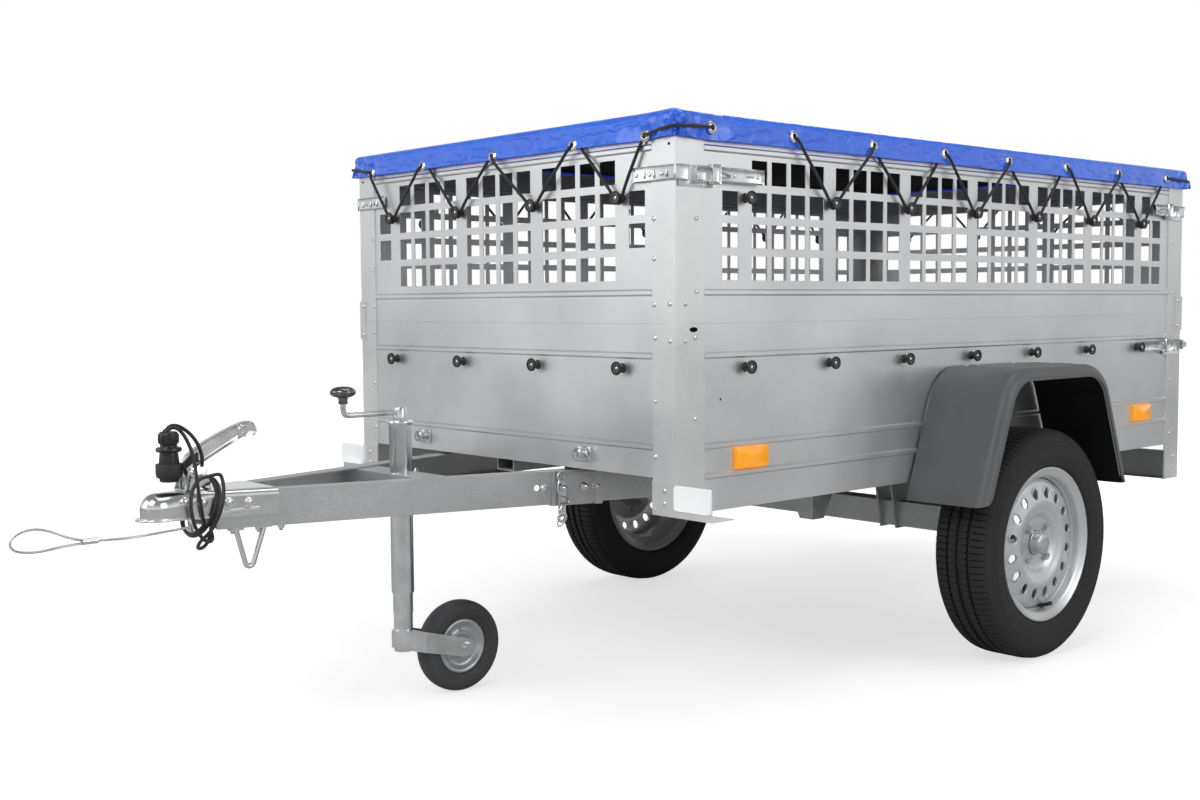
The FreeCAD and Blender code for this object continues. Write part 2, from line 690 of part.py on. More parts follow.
def window_columns(first, count, pitch, near_end, far_end):
    """Starts of the windows between knobs and beyond the last ones, from one edge."""
    first, count, pitch = float(first), int(count), float(pitch)
    wide, half_bar = float(v.window_wide), float(v.post_bar)
    least = float(v.bar_least)
    fit = int((pitch - 2 * half_bar + least) / (wide + least))
    step = wide + (pitch - 2 * half_bar - fit * wide) / max(fit - 1, 1)
    starts = [first + gap * pitch + half_bar + place * step
              for gap in range(count - 1) for place in range(fit)]
    start = first - half_bar - wide
    while start >= near_end - 1:
        starts.append(start)
        start -= step
    start = first + (count - 1) * pitch + half_bar
    while start + wide <= far_end + 1:
        starts.append(start)
        start += step
    return starts


def window_rows():
    """How many rows of windows fit under the upper bead."""
    room = float(BEAD_TOP - v.bead_half - v.row_z - v.window_high)
    return int(room / float(v.row_pitch)) + 1


def windows(starts, outer_rows, deep_low, deep_high, place):
    """Boxes for the windows; the outermost columns have only some of the rows."""
    edges = (min(starts), max(starts))
    cuts = []
    for start in starts:
        rows = range(window_rows())
        for row in (outer_rows if start in edges else rows):
            if row not in rows:
                continue
            low = float(v.row_z + row * v.row_pitch)
            cuts.append(place(start, float(v.window_wide), low, deep_low, deep_high))
    return Part.makeCompound(cuts)


def side_window(start, wide, low, deep_low, deep_high):
    corner_point = FreeCAD.Vector(float(BOX_FRONT) - start - wide, deep_low, low)
    return Part.makeBox(wide, deep_high - deep_low, float(v.window_high), corner_point)


def end_window(start, wide, low, deep_low, deep_high):
    corner_point = FreeCAD.Vector(deep_low, float(HALF) - start - wide, low)
    return Part.makeBox(deep_high - deep_low, wide, float(v.window_high), corner_point)


def build_mesh():
    low = v.split_z + v.seat_gap
    beads = (v.bead_ext_z, BEAD_TOP)
    near, far = float(v.post_side), float(v.box_length - v.post_side)
    columns = window_columns(v.knob_first, v.side_knobs, KNOB_PITCH, near, far)
    sheet = side_sheet("Mesh", low, v.top_z, beads, v.lip, v.post_side)
    holes = fixed("MeshHoles", windows(columns, (0, 1, 2), float(PANEL_IN) - 5,
                                       float(HALF) + 5, side_window))
    left = cut("MeshLeft", sheet, holes)
    node("mesh_panel_left", left)
    node("mesh_panel_right", mirrored("MeshRight", left))
    near, far = float(v.post_end), float(v.box_width - v.post_end)
    columns = window_columns(v.knob_edge, v.end_knobs, END_PITCH, near, far)
    sheet = front_sheet("MeshEnd", low, v.top_z, beads, v.post_end)
    holes = fixed("EndHoles", windows(columns, (1, 2), float(BOX_FRONT) - 10,
                                      float(BOX_FRONT) + 5, end_window))
    front = cut("MeshFront", sheet, holes)
    node("mesh_panel_front", front)
    node("mesh_panel_rear", mirrored("MeshRear", front, (1, 0, 0),
                                     (BOX_FRONT + BOX_REAR) / 2))


# Knobs, cover, latches and reflectors

def knob(turn, reach):
    """A lacing knob that stands on the panel, turned to face outwards."""
    outline = [(0, 0), (v.knob_head, 0), (v.knob_stem, v.knob_flare),
               (v.knob_stem, reach - v.knob_neck), (v.knob_head, reach - v.knob_flare),
               (v.knob_head - v.knob_crown, reach), (0, reach)]
    name = "Knob%d_%d" % (turn % 360, int(reach))
    master = turned(name, outline, 0, 0, 0)
    doc.recompute()
    shape = master.Shape.copy()
    shape.rotate(FreeCAD.Vector(0, 0, 0), FreeCAD.Vector(0, 0, 1), turn)
    return shape


def knob_rows(shape, places):
    """Copies of a knob at x, y, z places."""
    return [shape.translated(FreeCAD.Vector(*place)) for place in places]


def build_knobs():
    xs = [float(BOX_FRONT - v.knob_first - index * KNOB_PITCH)
          for index in range(int(v.side_knobs))]
    ys = [float(HALF - v.knob_edge - index * END_PITCH)
          for index in range(int(v.end_knobs))]
    heights = [float(v.knob_low_z), float(KNOB_HIGH)]
    out, front = float(PANEL_OUT), float(BOX_FRONT - v.post_thick)
    rear = float(BOX_REAR + v.post_thick)
    deep = v.knob_reach + v.post_thick
    knobs = knob_rows(knob(0, deep), [(x, out, z) for x in xs for z in heights])
    knobs += knob_rows(knob(180, deep), [(x, -out, z) for x in xs for z in heights])
    knobs += knob_rows(knob(-90, deep), [(front, y, z) for y in ys for z in heights])
    knobs += knob_rows(knob(90, deep), [(rear, y, float(KNOB_HIGH)) for y in ys])
    node("lace_knobs", fixed("Knobs", Part.makeCompound(knobs)))
    gate = knob_rows(knob(90, v.knob_reach),
                     [(float(BOX_REAR), y, float(v.knob_low_z)) for y in ys])
    node("tailgate_knobs", fixed("GateKnobs", Part.makeCompound(gate)))


def build_cover():
    """The cover's top, doubled along its edge, and the four strips of its skirt."""
    reach, seat = HALF + v.cover_out, v.top_z + v.seat_gap
    front, rear = BOX_FRONT + v.cover_out, BOX_REAR - v.cover_out
    roof = block("CoverRoof", (rear, front), (-reach, reach), (seat, COVER_TOP))
    band = v.cover_band
    raised = block("CoverRaised", (rear + band, front - band), (band - reach, reach - band),
                   (v.top_z - 1, COVER_TOP - v.cover_roof))
    node("tarpaulin", cut("Cover", roof, raised))
    heights = (COVER_HEM, v.top_z)
    strips = [block("SkirtLeft", (rear, front), (reach - v.cover_thick, reach), heights),
              block("SkirtRight", (rear, front), (-reach, v.cover_thick - reach), heights)]
    inner = reach - v.cover_thick - v.seat_gap
    strips.append(block("SkirtFront", (front - v.cover_thick, front), (-inner, inner), heights))
    strips.append(block("SkirtRear", (rear, rear + v.cover_thick), (-inner, inner), heights))
    node("cover_skirt", group("Skirt", *strips))


def latch_lever(name, low, length):
    """Base plate and lever on the left side, ahead of the front corner."""
    high = low + v.latch_high
    back, tip = BOX_FRONT - length, BOX_FRONT - v.latch_clear
    face = HALF + v.latch_base
    base = block(name + "Base", (back, tip - v.latch_short_by), (HALF, face), (low, high))
    lever = block(name + "Lever", (back + v.latch_back, tip), (face, face + v.latch_rise),
                  (low + v.latch_edge, high - v.latch_edge))
    half_edge = v.latch_edge / 2
    grip = rod(name + "Pivot", v.latch_pivot_r, v.latch_high - v.latch_edge,
               back + v.latch_grip, face + v.latch_rise / 2 - 0.5, low + half_edge)
    return fuse(name + "Side", base, lever, grip)


def upper_latch(name, length):
    """A latch of the extension with the strap that holds it round the corner."""
    side = latch_lever(name, LATCH_Z, length)
    heights = (LATCH_Z + v.strap_edge, LATCH_Z + v.latch_high - v.strap_edge)
    front, out = BOX_FRONT + v.strap_sheet, HALF + v.strap_out
    across = block(name + "Across", (BOX_FRONT, front), (HALF - v.latch_strap, out), heights)
    along = block(name + "Along", (BOX_FRONT - v.strap_fold, front), (HALF, out), heights)
    return fuse(name + "Whole", side, across, along)


def build_latches():
    middle = (BOX_FRONT + BOX_REAR) / 2
    front = upper_latch("FrontLatch", v.latch_length)
    rear = mirrored("RearLatch", upper_latch("BackLatch", v.latch_short), (1, 0, 0), middle)
    gate = mirrored("GateLatch", latch_lever("Gate", v.latch_low_z, v.latch_length),
                    (1, 0, 0), middle)
    node("corner_latches", both_sides("Latches", group("LatchSet", front, rear, gate)))


def build_markers():
    thick = v.marker_sheet
    front = BOX_FRONT + thick
    low, high = v.bracket_low_z, v.bracket_low_z + v.bracket_high
    flange = block("MarkerFlange", (BOX_FRONT, front), (HALF - v.post_end, HALF), (low, high))
    foot = block("MarkerFoot", (BOX_FRONT - v.marker_foot, front),
                 (HALF - v.post_end, HALF + v.marker_out), (low - thick, low))
    wing = block("MarkerWing", (BOX_FRONT, front), (HALF, HALF + v.marker_out),
                 (low, v.marker_low_z + v.marker_high))
    bracket = fuse("MarkerBracket", flange, foot, wing)
    node("marker_brackets", both_sides("Markers", bracket))
    lens = block("MarkerLens", (front, front + v.lens_thick), (HALF + 1, HALF + v.marker_out),
                 (v.marker_low_z, v.marker_low_z + v.marker_high))
    node("white_reflectors", both_sides("MarkerLenses", lens))
    ambers = []
    for name, back in (("AmberFront", v.amber_front), ("AmberRear", v.amber_rear)):
        start = BOX_FRONT - back - v.amber_long / 2
        ambers.append(block(name, (start, start + v.amber_long),
                            (PANEL_OUT, PANEL_OUT + v.amber_thick),
                            (v.amber_low_z, v.amber_low_z + v.amber_high)))
    node("side_reflectors", both_sides("Ambers", group("AmberPair", *ambers)))


# Tailgate and rear end

def build_tailgate():
    low, high = v.gate_low_z, v.split_z
    outline = [(-u, w) for u, w in
               beaded(-BOX_REAR, low, high, (v.bead_mid_z, v.bead_high_z),
                      v.gate_thick, v.gate_thick)]
    sheet = prism("GateSheet", "XZ", outline, 2 * GATE_HALF, -GATE_HALF)
    parts = [sheet]
    for side in (-1, 1):
        edge = side * GATE_HALF
        inner = edge - side * v.sheet_thick
        ends = (edge, inner) if side < 0 else (inner, edge)
        parts.append(block("GateEdge%d" % side, (BOX_REAR, BOX_REAR + v.gate_thick), ends,
                           (low, high)))
        near = side * (GATE_HALF - v.catch_in)
        far = side * (HALF + v.catch_out)
        ends = (near, far) if side > 0 else (far, near)
        plate_z = (v.latch_low_z + v.strap_edge, v.latch_low_z + v.latch_high - v.strap_edge)
        plate = (BOX_REAR - v.gate_gap - v.catch_sheet, BOX_REAR - v.gate_gap)
        parts.append(block("CatchPlate%d" % side, plate, ends, plate_z))
        wide = side * v.catch_foot
        foot = (near, near + wide) if side > 0 else (near + wide, near)
        parts.append(block("CatchFoot%d" % side, (BOX_REAR - v.gate_gap - 1, BOX_REAR + 1),
                           foot, plate_z))
        tip = side * (HALF - v.catch_tip)
        ends = (tip, far) if side > 0 else (far, tip)
        parts.append(block("CatchHook%d" % side, (BOX_REAR - v.rear_reach, plate[0] + 1),
                           ends, (plate_z[0] + v.catch_edge, plate_z[1] - v.catch_edge)))
    for place in (-v.knuckle_out, size_of(0), v.knuckle_out):
        start = place - v.knuckle_long / 2
        name = "Knuckle%d" % int(float(place))
        barrel = rod(name, v.knuckle_r, v.knuckle_long, HINGE_X, start, v.hinge_z, "Y")
        leaf = block(name + "Leaf", (HINGE_X, BOX_REAR + v.sheet_thick),
                     (start, start + v.knuckle_long), (v.hinge_z, low + v.leaf_rise))
        parts += [barrel, leaf]
    solid = fuse("GateSolid", *parts)
    bore = rod("GateBore", v.hinge_pin + v.hinge_play, v.box_width, HINGE_X, -HALF,
               v.hinge_z, "Y")
    node("tailgate_panel", cut("Gate", solid, bore))


def build_rear():
    start = BOX_REAR + v.bar_in
    reach = HALF - v.post_thick
    low, high = v.bar_low_z, v.bar_low_z + v.bar_high
    flange, wall = start + v.bar_flange, v.bar_sheet
    outline = [(start, low), (flange, low), (flange, low + wall), (start + wall, low + wall),
               (start + wall, high - wall), (flange, high - wall), (flange, high),
               (start, high)]
    node("lamp_bar", prism("LampBar", "XZ", outline, 2 * reach, -reach))
    middle = v.bar_low_z + v.bar_high / 2
    lamp_y = HALF - v.lamp_in
    lamp = block("Lamp", (start - v.lamp_deep, start),
                 (lamp_y - v.lamp_wide / 2, lamp_y + v.lamp_wide / 2),
                 (middle - v.lamp_high / 2, middle + v.lamp_high / 2))
    lamp = rounded("LampRound", lamp, v.lamp_round,
                   lambda edge: edge.CenterOfMass.x < float(start - v.lamp_deep) + 1)
    rise = v.triangle_side * (math.sqrt(3) / 2)
    tri_y = v.triangle_out
    outline = [(tri_y - v.triangle_side / 2, middle - rise / 2),
               (tri_y + v.triangle_side / 2, middle - rise / 2), (tri_y, middle + rise / 2)]
    triangle = prism("Triangle", "YZ", outline, v.triangle_thick, start - v.triangle_thick)
    node("rear_lamps", both_sides("Lamps", group("LampPair", lamp, triangle)))
    buffer = rod("Buffer", v.buffer_r, v.buffer_out, BOX_REAR - v.buffer_out,
                 HALF - v.gate_flange / 2, v.buffer_z, "X")
    node("rear_buffers", both_sides("Buffers", buffer))


# Underframe, axle and mudguards

def channel(name, plane, across, low, high, depth, start):
    """A C section; across runs from its web to the tips of its flanges."""
    web, tips = across
    wall = v.member_sheet if float(size_of(tips) - web) > 0 else -v.member_sheet
    outline = [(web, low), (tips, low), (tips, low + v.member_sheet),
               (web + wall, low + v.member_sheet), (web + wall, high - v.member_sheet),
               (tips, high - v.member_sheet), (tips, high), (web, high)]
    return prism(name, plane, outline, depth, start)


def build_underframe():
    high = v.floor_z
    front = BOX_FRONT - v.cross_back
    rear = BOX_REAR + v.bar_in + v.member_wide
    reach = PANEL_IN - v.seat_gap
    middle = channel("CrossMiddle", "XZ", (front, front - v.member_wide), FRAME_LOW, high,
                     2 * reach, -reach)
    back = channel("CrossRear", "XZ", (rear, rear - v.member_wide), FRAME_LOW, high,
                   2 * reach, -reach)
    rails = []
    for side in (-1, 1):
        web = side * (v.mount_out + v.member_wide / 2)
        tips = side * (v.mount_out - v.member_wide / 2)
        rails.append(channel("Rail%d" % side, "YZ", (web, tips), FRAME_LOW, high,
                             front - v.member_sheet - rear + v.member_sheet,
                             rear))
    low = high - v.hat_high
    half, inner = v.hat_half, v.hat_half - v.hat_sheet
    spine = [(-half, low), (half, low), (half, high), (inner, high),
             (inner, low + v.hat_sheet), (-inner, low + v.hat_sheet), (-inner, high),
             (-half, high)]
    stop = BOX_FRONT - v.post_thick - v.sheet_thick - v.lip
    hat = prism("Spine", "YZ", spine, stop - front, front)
    bar_back = BOX_REAR + v.bar_in + v.bar_sheet
    hangers = [block("BarHanger%d" % side,
                     (bar_back, bar_back + v.hanger_sheet),
                     (side * v.mount_out - v.hanger_half, side * v.mount_out + v.hanger_half),
                     (v.bar_low_z + v.bar_high, FRAME_LOW + v.bar_sheet))
               for side in (-1, 1)]
    pins = []
    for place in (-v.knuckle_out, size_of(0), v.knuckle_out):
        name = "HingePin%d" % int(float(place))
        length = v.knuckle_long + v.member_high / 2
        pins.append(rod(name, v.hinge_pin, length, HINGE_X, place - length / 2,
                        v.hinge_z, "Y"))
        for side in (-1, 1):
            lug = place + side * (v.knuckle_long / 2 + v.lug_side)
            pins.append(block(name + "Lug%d" % side, (HINGE_X - v.lug_r, rear),
                              (lug - v.lug_half, lug + v.lug_half),
                              (v.hinge_z - v.lug_r, v.hinge_z + v.lug_r)))
    node("underframe", fuse("Underframe", middle, back, hat, *rails, *hangers, *pins))


def build_axle():
    reach = HALF - v.beam_inset
    half = v.beam_size / 2
    beam = block("Beam", (BEAM_X - half, BEAM_X + half), (-reach, reach),
                 (v.beam_low_z, v.beam_low_z + v.beam_size))
    foot, flare, sheet = half + v.mount_edge, half + v.mount_flare, v.mount_sheet
    outline = [(BEAM_X - foot, v.beam_low_z - sheet), (BEAM_X + foot, v.beam_low_z - sheet),
               (BEAM_X + flare, FRAME_LOW + v.mount_lap),
               (BEAM_X - flare, FRAME_LOW + v.mount_lap)]
    pad = v.member_wide / 2 + 2
    parts = [beam]
    for side in (-1, 1):
        for edge in (-1, 1):
            place = side * v.mount_out + edge * (v.member_wide / 2 + v.seat_gap)
            if edge < 0:
                place = place - sheet
            parts.append(prism("Mount%d%d" % (side, edge), "XZ", outline, sheet, place))
        parts.append(block("MountPad%d" % side, (BEAM_X - flare, BEAM_X + flare),
                           (side * v.mount_out - pad, side * v.mount_out + pad),
                           (FRAME_LOW - sheet, FRAME_LOW)))
    node("axle_beam", fuse("Axle", *parts))


def build_swing_arms():
    start = HALF - v.beam_inset + v.seat_gap
    root, tip_r = v.root_r, v.swing_tip_r
    base = rod("ArmRoot", root, v.arm_thick, BEAM_X, start, BEAM_Z, "Y")
    tip = rod("ArmTip", tip_r, v.arm_thick, AXLE_X, start, v.tyre_r, "Y")
    slope = math.atan2(float(BEAM_Z - v.tyre_r), float(v.beam_ahead))
    across, along = math.sin(slope), math.cos(slope)
    outline = [(AXLE_X - tip_r * across, v.tyre_r + tip_r * along),
               (BEAM_X - root * across, BEAM_Z + root * along),
               (BEAM_X + root * across, BEAM_Z - root * along),
               (AXLE_X + tip_r * across, v.tyre_r - tip_r * along)]
    web = prism("ArmWeb", "XZ", outline, v.arm_thick, start)
    stub = rod("Stub", v.stub_r, WHEEL_Y + v.disc_out - start, AXLE_X, start, v.tyre_r, "Y")
    node("swing_arms", both_sides("SwingArms", fuse("SwingArm", base, tip, web, stub)))


def guard_outline(inset, foot_z):
    """The mudguard's side outline, moved in by inset all round."""
    foot, crown = v.guard_foot - inset, v.guard_crown - inset * 0.75
    return [(AXLE_X - foot, foot_z), (AXLE_X + foot, foot_z),
            (AXLE_X + crown, v.guard_top_z - inset), (AXLE_X - crown, v.guard_top_z - inset)]


def guard_block(name, inset, foot_z, y_low, y_high, edge_round):
    """A solid mudguard form with round crown corners and a round outer edge."""
    solid = prism(name, "XZ", guard_outline(inset, foot_z), size_of(y_high) - y_low, y_low)
    top = float(v.guard_top_z - inset)

    def crown_edge(edge):
        return abs(edge.CenterOfMass.z - top) < 1 and edge.BoundBox.XLength < 1
    bent = rounded(name + "Bent", solid, float(v.guard_bend) - float(inset), crown_edge)
    if not edge_round:
        return bent

    def outer_edge(edge):
        box = edge.BoundBox
        on_face = box.YMin > float(y_high) - 0.5
        return on_face and edge.CenterOfMass.z > float(foot_z) + 1
    return rounded(name + "Soft", bent, edge_round, outer_edge)


def build_mudguards():
    start = HALF + 1 + v.seat_gap
    stop = HALF + v.guard_wide
    outer = guard_block("GuardOuter", size_of(0), v.guard_low_z, start, stop, v.guard_round)
    inner = guard_block("GuardInner", v.guard_sheet, v.guard_low_z - 20, start - 5,
                        stop - v.guard_sheet, v.guard_round - v.guard_sheet)
    mouth = guard_block("GuardMouth", v.guard_lip, v.guard_low_z - 20, start, stop + 5, 0)
    left = cut("GuardLeft", cut("GuardShell", outer, inner), mouth)
    node("mudguard_left", left)
    node("mudguard_right", mirrored("GuardRight", left))


# Wheels

def tyre_outline():
    """Section of a road tyre: bead, sidewall, shoulder and tread."""
    half = v.tyre_wide / 2
    seat = v.bead_seat_r + v.seat_gap
    left = [(seat, -v.rim_half + 12), (v.rim_r + 1, -v.rim_half + 6),
            (v.rim_r + 8, -half + 8), (v.rim_r + 32, -half), (v.tyre_r - 34, -half + 3),
            (v.tyre_r - 14, -half + 10), (v.tyre_r - 4, -half + 22), (v.tyre_r, -half + 40)]
    right = [(radius, -place) for radius, place in reversed(left)]
    return left + right


def rim_outline():
    """Section of the rim barrel: flanges, bead seats and the well between them."""
    sheet = v.rim_sheet
    edge, seat, well = v.rim_half, v.bead_seat_r, v.bead_seat_r - 18
    outer = [(v.rim_r, -edge), (v.rim_r, 4 - edge), (seat, 12 - edge), (seat, 28 - edge),
             (well, 38 - edge), (well, edge - 60), (seat, edge - 44), (seat, edge - 12),
             (v.rim_r, edge - 4), (v.rim_r, edge)]
    inner = [(seat + 8 - sheet, edge), (seat - sheet, edge - 10), (seat - sheet, edge - 42),
             (well - sheet, edge - 58), (well - sheet, 36 - edge), (seat - sheet, 26 - edge),
             (seat - sheet, 10 - edge), (seat + 8 - sheet, -edge)]
    return outer + inner


def disc_outline():
    """Section of the dished wheel disc, from its hub hole to the rim's bead seat."""
    seat, rim, sheet = v.disc_out, v.bead_seat_r - v.rim_sheet, v.rim_sheet
    face = [(31, 0), (62, 0), (82, 12), (100, 17), (138, 8), (rim + 1, -2)]
    front = [(size_of(radius), seat + sheet + step) for radius, step in face]
    back = [(size_of(radius), seat + step) for radius, step in face]
    return front + back[::-1]


def build_rim(name, middle):
    barrel = turned(name + "Barrel", rim_outline(), AXLE_X, middle, v.tyre_r)
    disc = turned(name + "Disc", disc_outline(), AXLE_X, middle, v.tyre_r)
    doc.recompute()
    count = int(v.vent_count)
    vents = []
    for index in range(count):
        angle = 2 * math.pi * index / count
        x = float(AXLE_X) + float(v.vent_circle) * math.cos(angle)
        z = float(v.tyre_r) + float(v.vent_circle) * math.sin(angle)
        base = FreeCAD.Vector(x, float(middle), z)
        vents.append(Part.makeCylinder(float(v.vent_r), 80, base, FreeCAD.Vector(0, 1, 0)))
    open_disc = cut(name + "OpenDisc", disc, fixed(name + "Vents", Part.makeCompound(vents)))
    return fuse(name + "Rim", barrel, open_disc)


def bolt_ring(name, radius, length, start):
    """Four rods on the wheel bolt circle."""
    rods = []
    for index in range(4):
        angle = math.pi / 4 + index * math.pi / 2
        x = AXLE_X + v.bolt_circle * math.cos(angle)
        z = v.tyre_r + v.bolt_circle * math.sin(angle)
        rods.append(rod(name + str(index), radius, length, x, start, z, "Y"))
    return rods


def build_hub(seat):
    inner = v.stub_r + v.stub_play
    flange, cap = v.disc_out - v.hub_flange, v.disc_out + v.cap_long
    outline = [(inner, 8 - v.rim_half), (30, 8 - v.rim_half), (36, size_of(0)),
               (v.hub_r, flange), (v.hub_r, v.disc_out), (v.cap_r, v.disc_out),
               (v.cap_r, cap - 8), (v.cap_r - 8, cap), (0, cap), (0, v.disc_out + 2),
               (inner, v.disc_out + 2)]
    outline = [(size_of(radius), size_of(along)) for radius, along in outline]
    body = turned("HubBody", outline, AXLE_X, WHEEL_Y, v.tyre_r)
    shanks = bolt_ring("BoltShank", v.bolt_r - 2.3, 14, seat - 4)
    heads = bolt_ring("BoltHead", v.bolt_r, v.bolt_head, seat + v.rim_sheet + v.seat_gap)
    return fuse("HubSolid", body, *shanks, *heads)


def build_wheels():
    seat = WHEEL_Y + v.disc_out
    tyre = turned("TyreBody", tyre_outline(), AXLE_X, WHEEL_Y, v.tyre_r)
    holes = fuse("RimBoltHoles", *bolt_ring("BoltHole", v.bolt_r - 2, 40, seat - 5))
    rim = cut("RimBored", build_rim("Road", WHEEL_Y), holes)
    for label, left in (("tyre", tyre), ("rim", rim), ("hub", build_hub(seat))):
        node(label + "_left", left)
        node(label + "_right", mirrored(label.capitalize() + "Right", left))


# Drawbar

def arm_half_at(x):
    """The arm's outer face from the centreline at x."""
    return v.arm_tip_half + (ARM_TIP_X - x) * ARM_SLOPE


def build_arms():
    run = (v.arm_tip + v.pivot_back - 16) / wave("cos", v.arm_angle)
    low, high, wall = v.arm_low_z, ARM_TOP, v.arm_sheet
    outline = [(0, low), (0, high), (-v.arm_flange, high), (-v.arm_flange, high - wall),
               (-wall, high - wall), (-wall, low + wall), (-v.arm_flange, low + wall),
               (-v.arm_flange, low)]
    section = prism("ArmSection", "YZ", outline, run)
    start = PIVOT_X + 16
    move_to(section, start, arm_half_at(start), 0, (0, 0, -1), v.arm_angle)
    middle = arm_half_at(PIVOT_X) - v.eye_half - 1
    eye = rod("ArmEye", v.eye_r, 2 * v.eye_half, PIVOT_X, middle - v.eye_half, PIVOT_Z, "Y")
    plug = block("ArmPlug", (PIVOT_X, PIVOT_X + 60), (middle - 12, middle + 10),
                 (PIVOT_Z - 20, PIVOT_Z + 20))
    solid = fuse("ArmSolid", section, eye, plug)
    bore = rod("ArmBore", v.pin_r + v.pin_play, 3 * v.eye_half + 60, PIVOT_X,
               middle - v.eye_half - 40, PIVOT_Z, "Y")
    hole_x = BOX_FRONT + v.arm_hole_x
    hole = rod("ArmHole", v.arm_hole_r, 20, hole_x, arm_half_at(hole_x) - 10,
               v.arm_hole_z, "Y")
    hole.Placement = FreeCAD.Placement()
    turn = FreeCAD.Rotation(FreeCAD.Vector(0, 0, 1), -float(v.arm_angle)) \
        * FreeCAD.Rotation(FreeCAD.Vector(1, 0, 0), -90)
    hole.setExpression("Placement.Rotation.Angle", None)
    hole.Placement = FreeCAD.Placement(FreeCAD.Vector(0, 0, 0), turn)
    left = cut("ArmLeft", cut("ArmBored", solid, bore), hole)
    node("drawbar_arm_left", left)
    node("drawbar_arm_right", mirrored("ArmRight", left))
    return middle


def build_hinge_brackets(middle):
    inner = middle - v.eye_half - v.cheek_gap
    outer = middle + v.eye_half + v.cheek_gap
    back = BOX_FRONT - v.cross_back
    top, round_r = v.floor_z, v.cheek_round
    outline = [(back, FRAME_LOW), (PIVOT_X, PIVOT_Z - round_r),
               (PIVOT_X + round_r, PIVOT_Z - 10), (PIVOT_X + round_r, top), (back, top)]
    outline = [(size_of(a), size_of(b)) for a, b in outline]
    near = prism("CheekIn", "XZ", outline, v.cheek_sheet, inner - v.cheek_sheet)
    far = prism("CheekOut", "XZ", outline, v.cheek_sheet, outer)
    web_y = (inner - v.cheek_sheet, outer + v.cheek_sheet)
    inside = web_y[0] - v.gusset_wide
    web = [(inside, FRAME_LOW), (web_y[1], FRAME_LOW), (web_y[1], v.cheek_low_z),
           (web_y[1] - v.gusset_foot, v.cheek_low_z)]
    front = prism("GussetFront", "YZ", web, v.cheek_sheet, back - v.cheek_sheet)
    side = [(back, FRAME_LOW), (back - v.gusset_long, FRAME_LOW),
            (back - v.gusset_waist, v.cheek_low_z + v.gusset_foot),
            (back - v.gusset_foot, v.cheek_low_z), (back, v.cheek_low_z)]
    flank = prism("GussetSide", "XZ", side, v.cheek_sheet, web_y[1] - v.cheek_sheet)
    pad = block("GussetPad", (back - v.gusset_long, back), (inside, web_y[1]),
                (FRAME_LOW - v.gusset_pad, FRAME_LOW))
    proud = v.cheek_sheet + v.pin_proud
    pin = rod("TiltPin", v.pin_r, outer - inner + 2 * proud, PIVOT_X, inner - proud, PIVOT_Z,
              "Y")
    bracket = fuse("TiltBracket", near, far, front, flank, pad, pin)
    node("tilt_hinge_brackets", both_sides("TiltBrackets", bracket))


def build_crossbar():
    x_low, x_high = JACK_X - v.cross_half, JACK_X + v.cross_half
    wall, sheet = v.arm_sheet, v.cross_sheet
    reach_rear = arm_half_at(x_low) - wall - v.seat_gap
    reach_front = arm_half_at(x_high) - wall - v.seat_gap
    outline = [(x_low, -reach_rear), (x_high, -reach_front), (x_high, reach_front),
               (x_low, reach_rear)]
    high = ARM_TOP - wall - v.seat_gap
    plate = prism("CrossPlate", "XY", outline, sheet, high - sheet)
    low = v.arm_low_z + wall + v.seat_gap
    rear_skin = prism("CrossRearSkin", "XY",
                      [(x_low, -reach_rear), (x_low + sheet, sheet / 2 - reach_rear),
                       (x_low + sheet, reach_rear - sheet / 2), (x_low, reach_rear)],
                      high - low, low)
    front_skin = prism("CrossFrontSkin", "XY",
                       [(x_high - sheet, -reach_front), (x_high, -reach_front),
                        (x_high, reach_front), (x_high - sheet, reach_front)],
                       high - low, low)
    solid = fuse("CrossSolid", plate, rear_skin, front_skin)
    hole = rod("CrossHole", v.tube_r, 200, JACK_X, 0, v.arm_low_z - 50)
    node("drawbar_crossbar", cut("Crossbar", solid, hole))


def build_arm_brackets():
    stop, start = BOX_FRONT + v.wrap_ahead, BOX_FRONT - v.wrap_behind
    length = (stop - start) / wave("cos", v.arm_angle)
    sheet, gap = v.wrap_sheet, v.seat_gap
    low, high = v.arm_low_z - sheet, ARM_TOP - v.wrap_drop
    outline = [(gap, v.arm_low_z), (gap, high), (gap + sheet, high), (gap + sheet, low),
               (gap - v.wrap_fold, low), (gap - v.wrap_fold, v.arm_low_z)]
    wrap = prism("ArmWrap", "YZ", outline, length)
    move_to(wrap, start, arm_half_at(start), 0, (0, 0, -1), v.arm_angle)
    rib = gap + v.wrap_rib
    rib = prism("ArmWrapRib", "YZ", [(gap, low), (rib, low), (rib, high), (gap, high)],
                v.wrap_rib_long)
    move_to(rib, start, arm_half_at(start), 0, (0, 0, -1), v.arm_angle)
    node("arm_brackets", both_sides("ArmBrackets", fuse("ArmBracket", wrap, rib)))


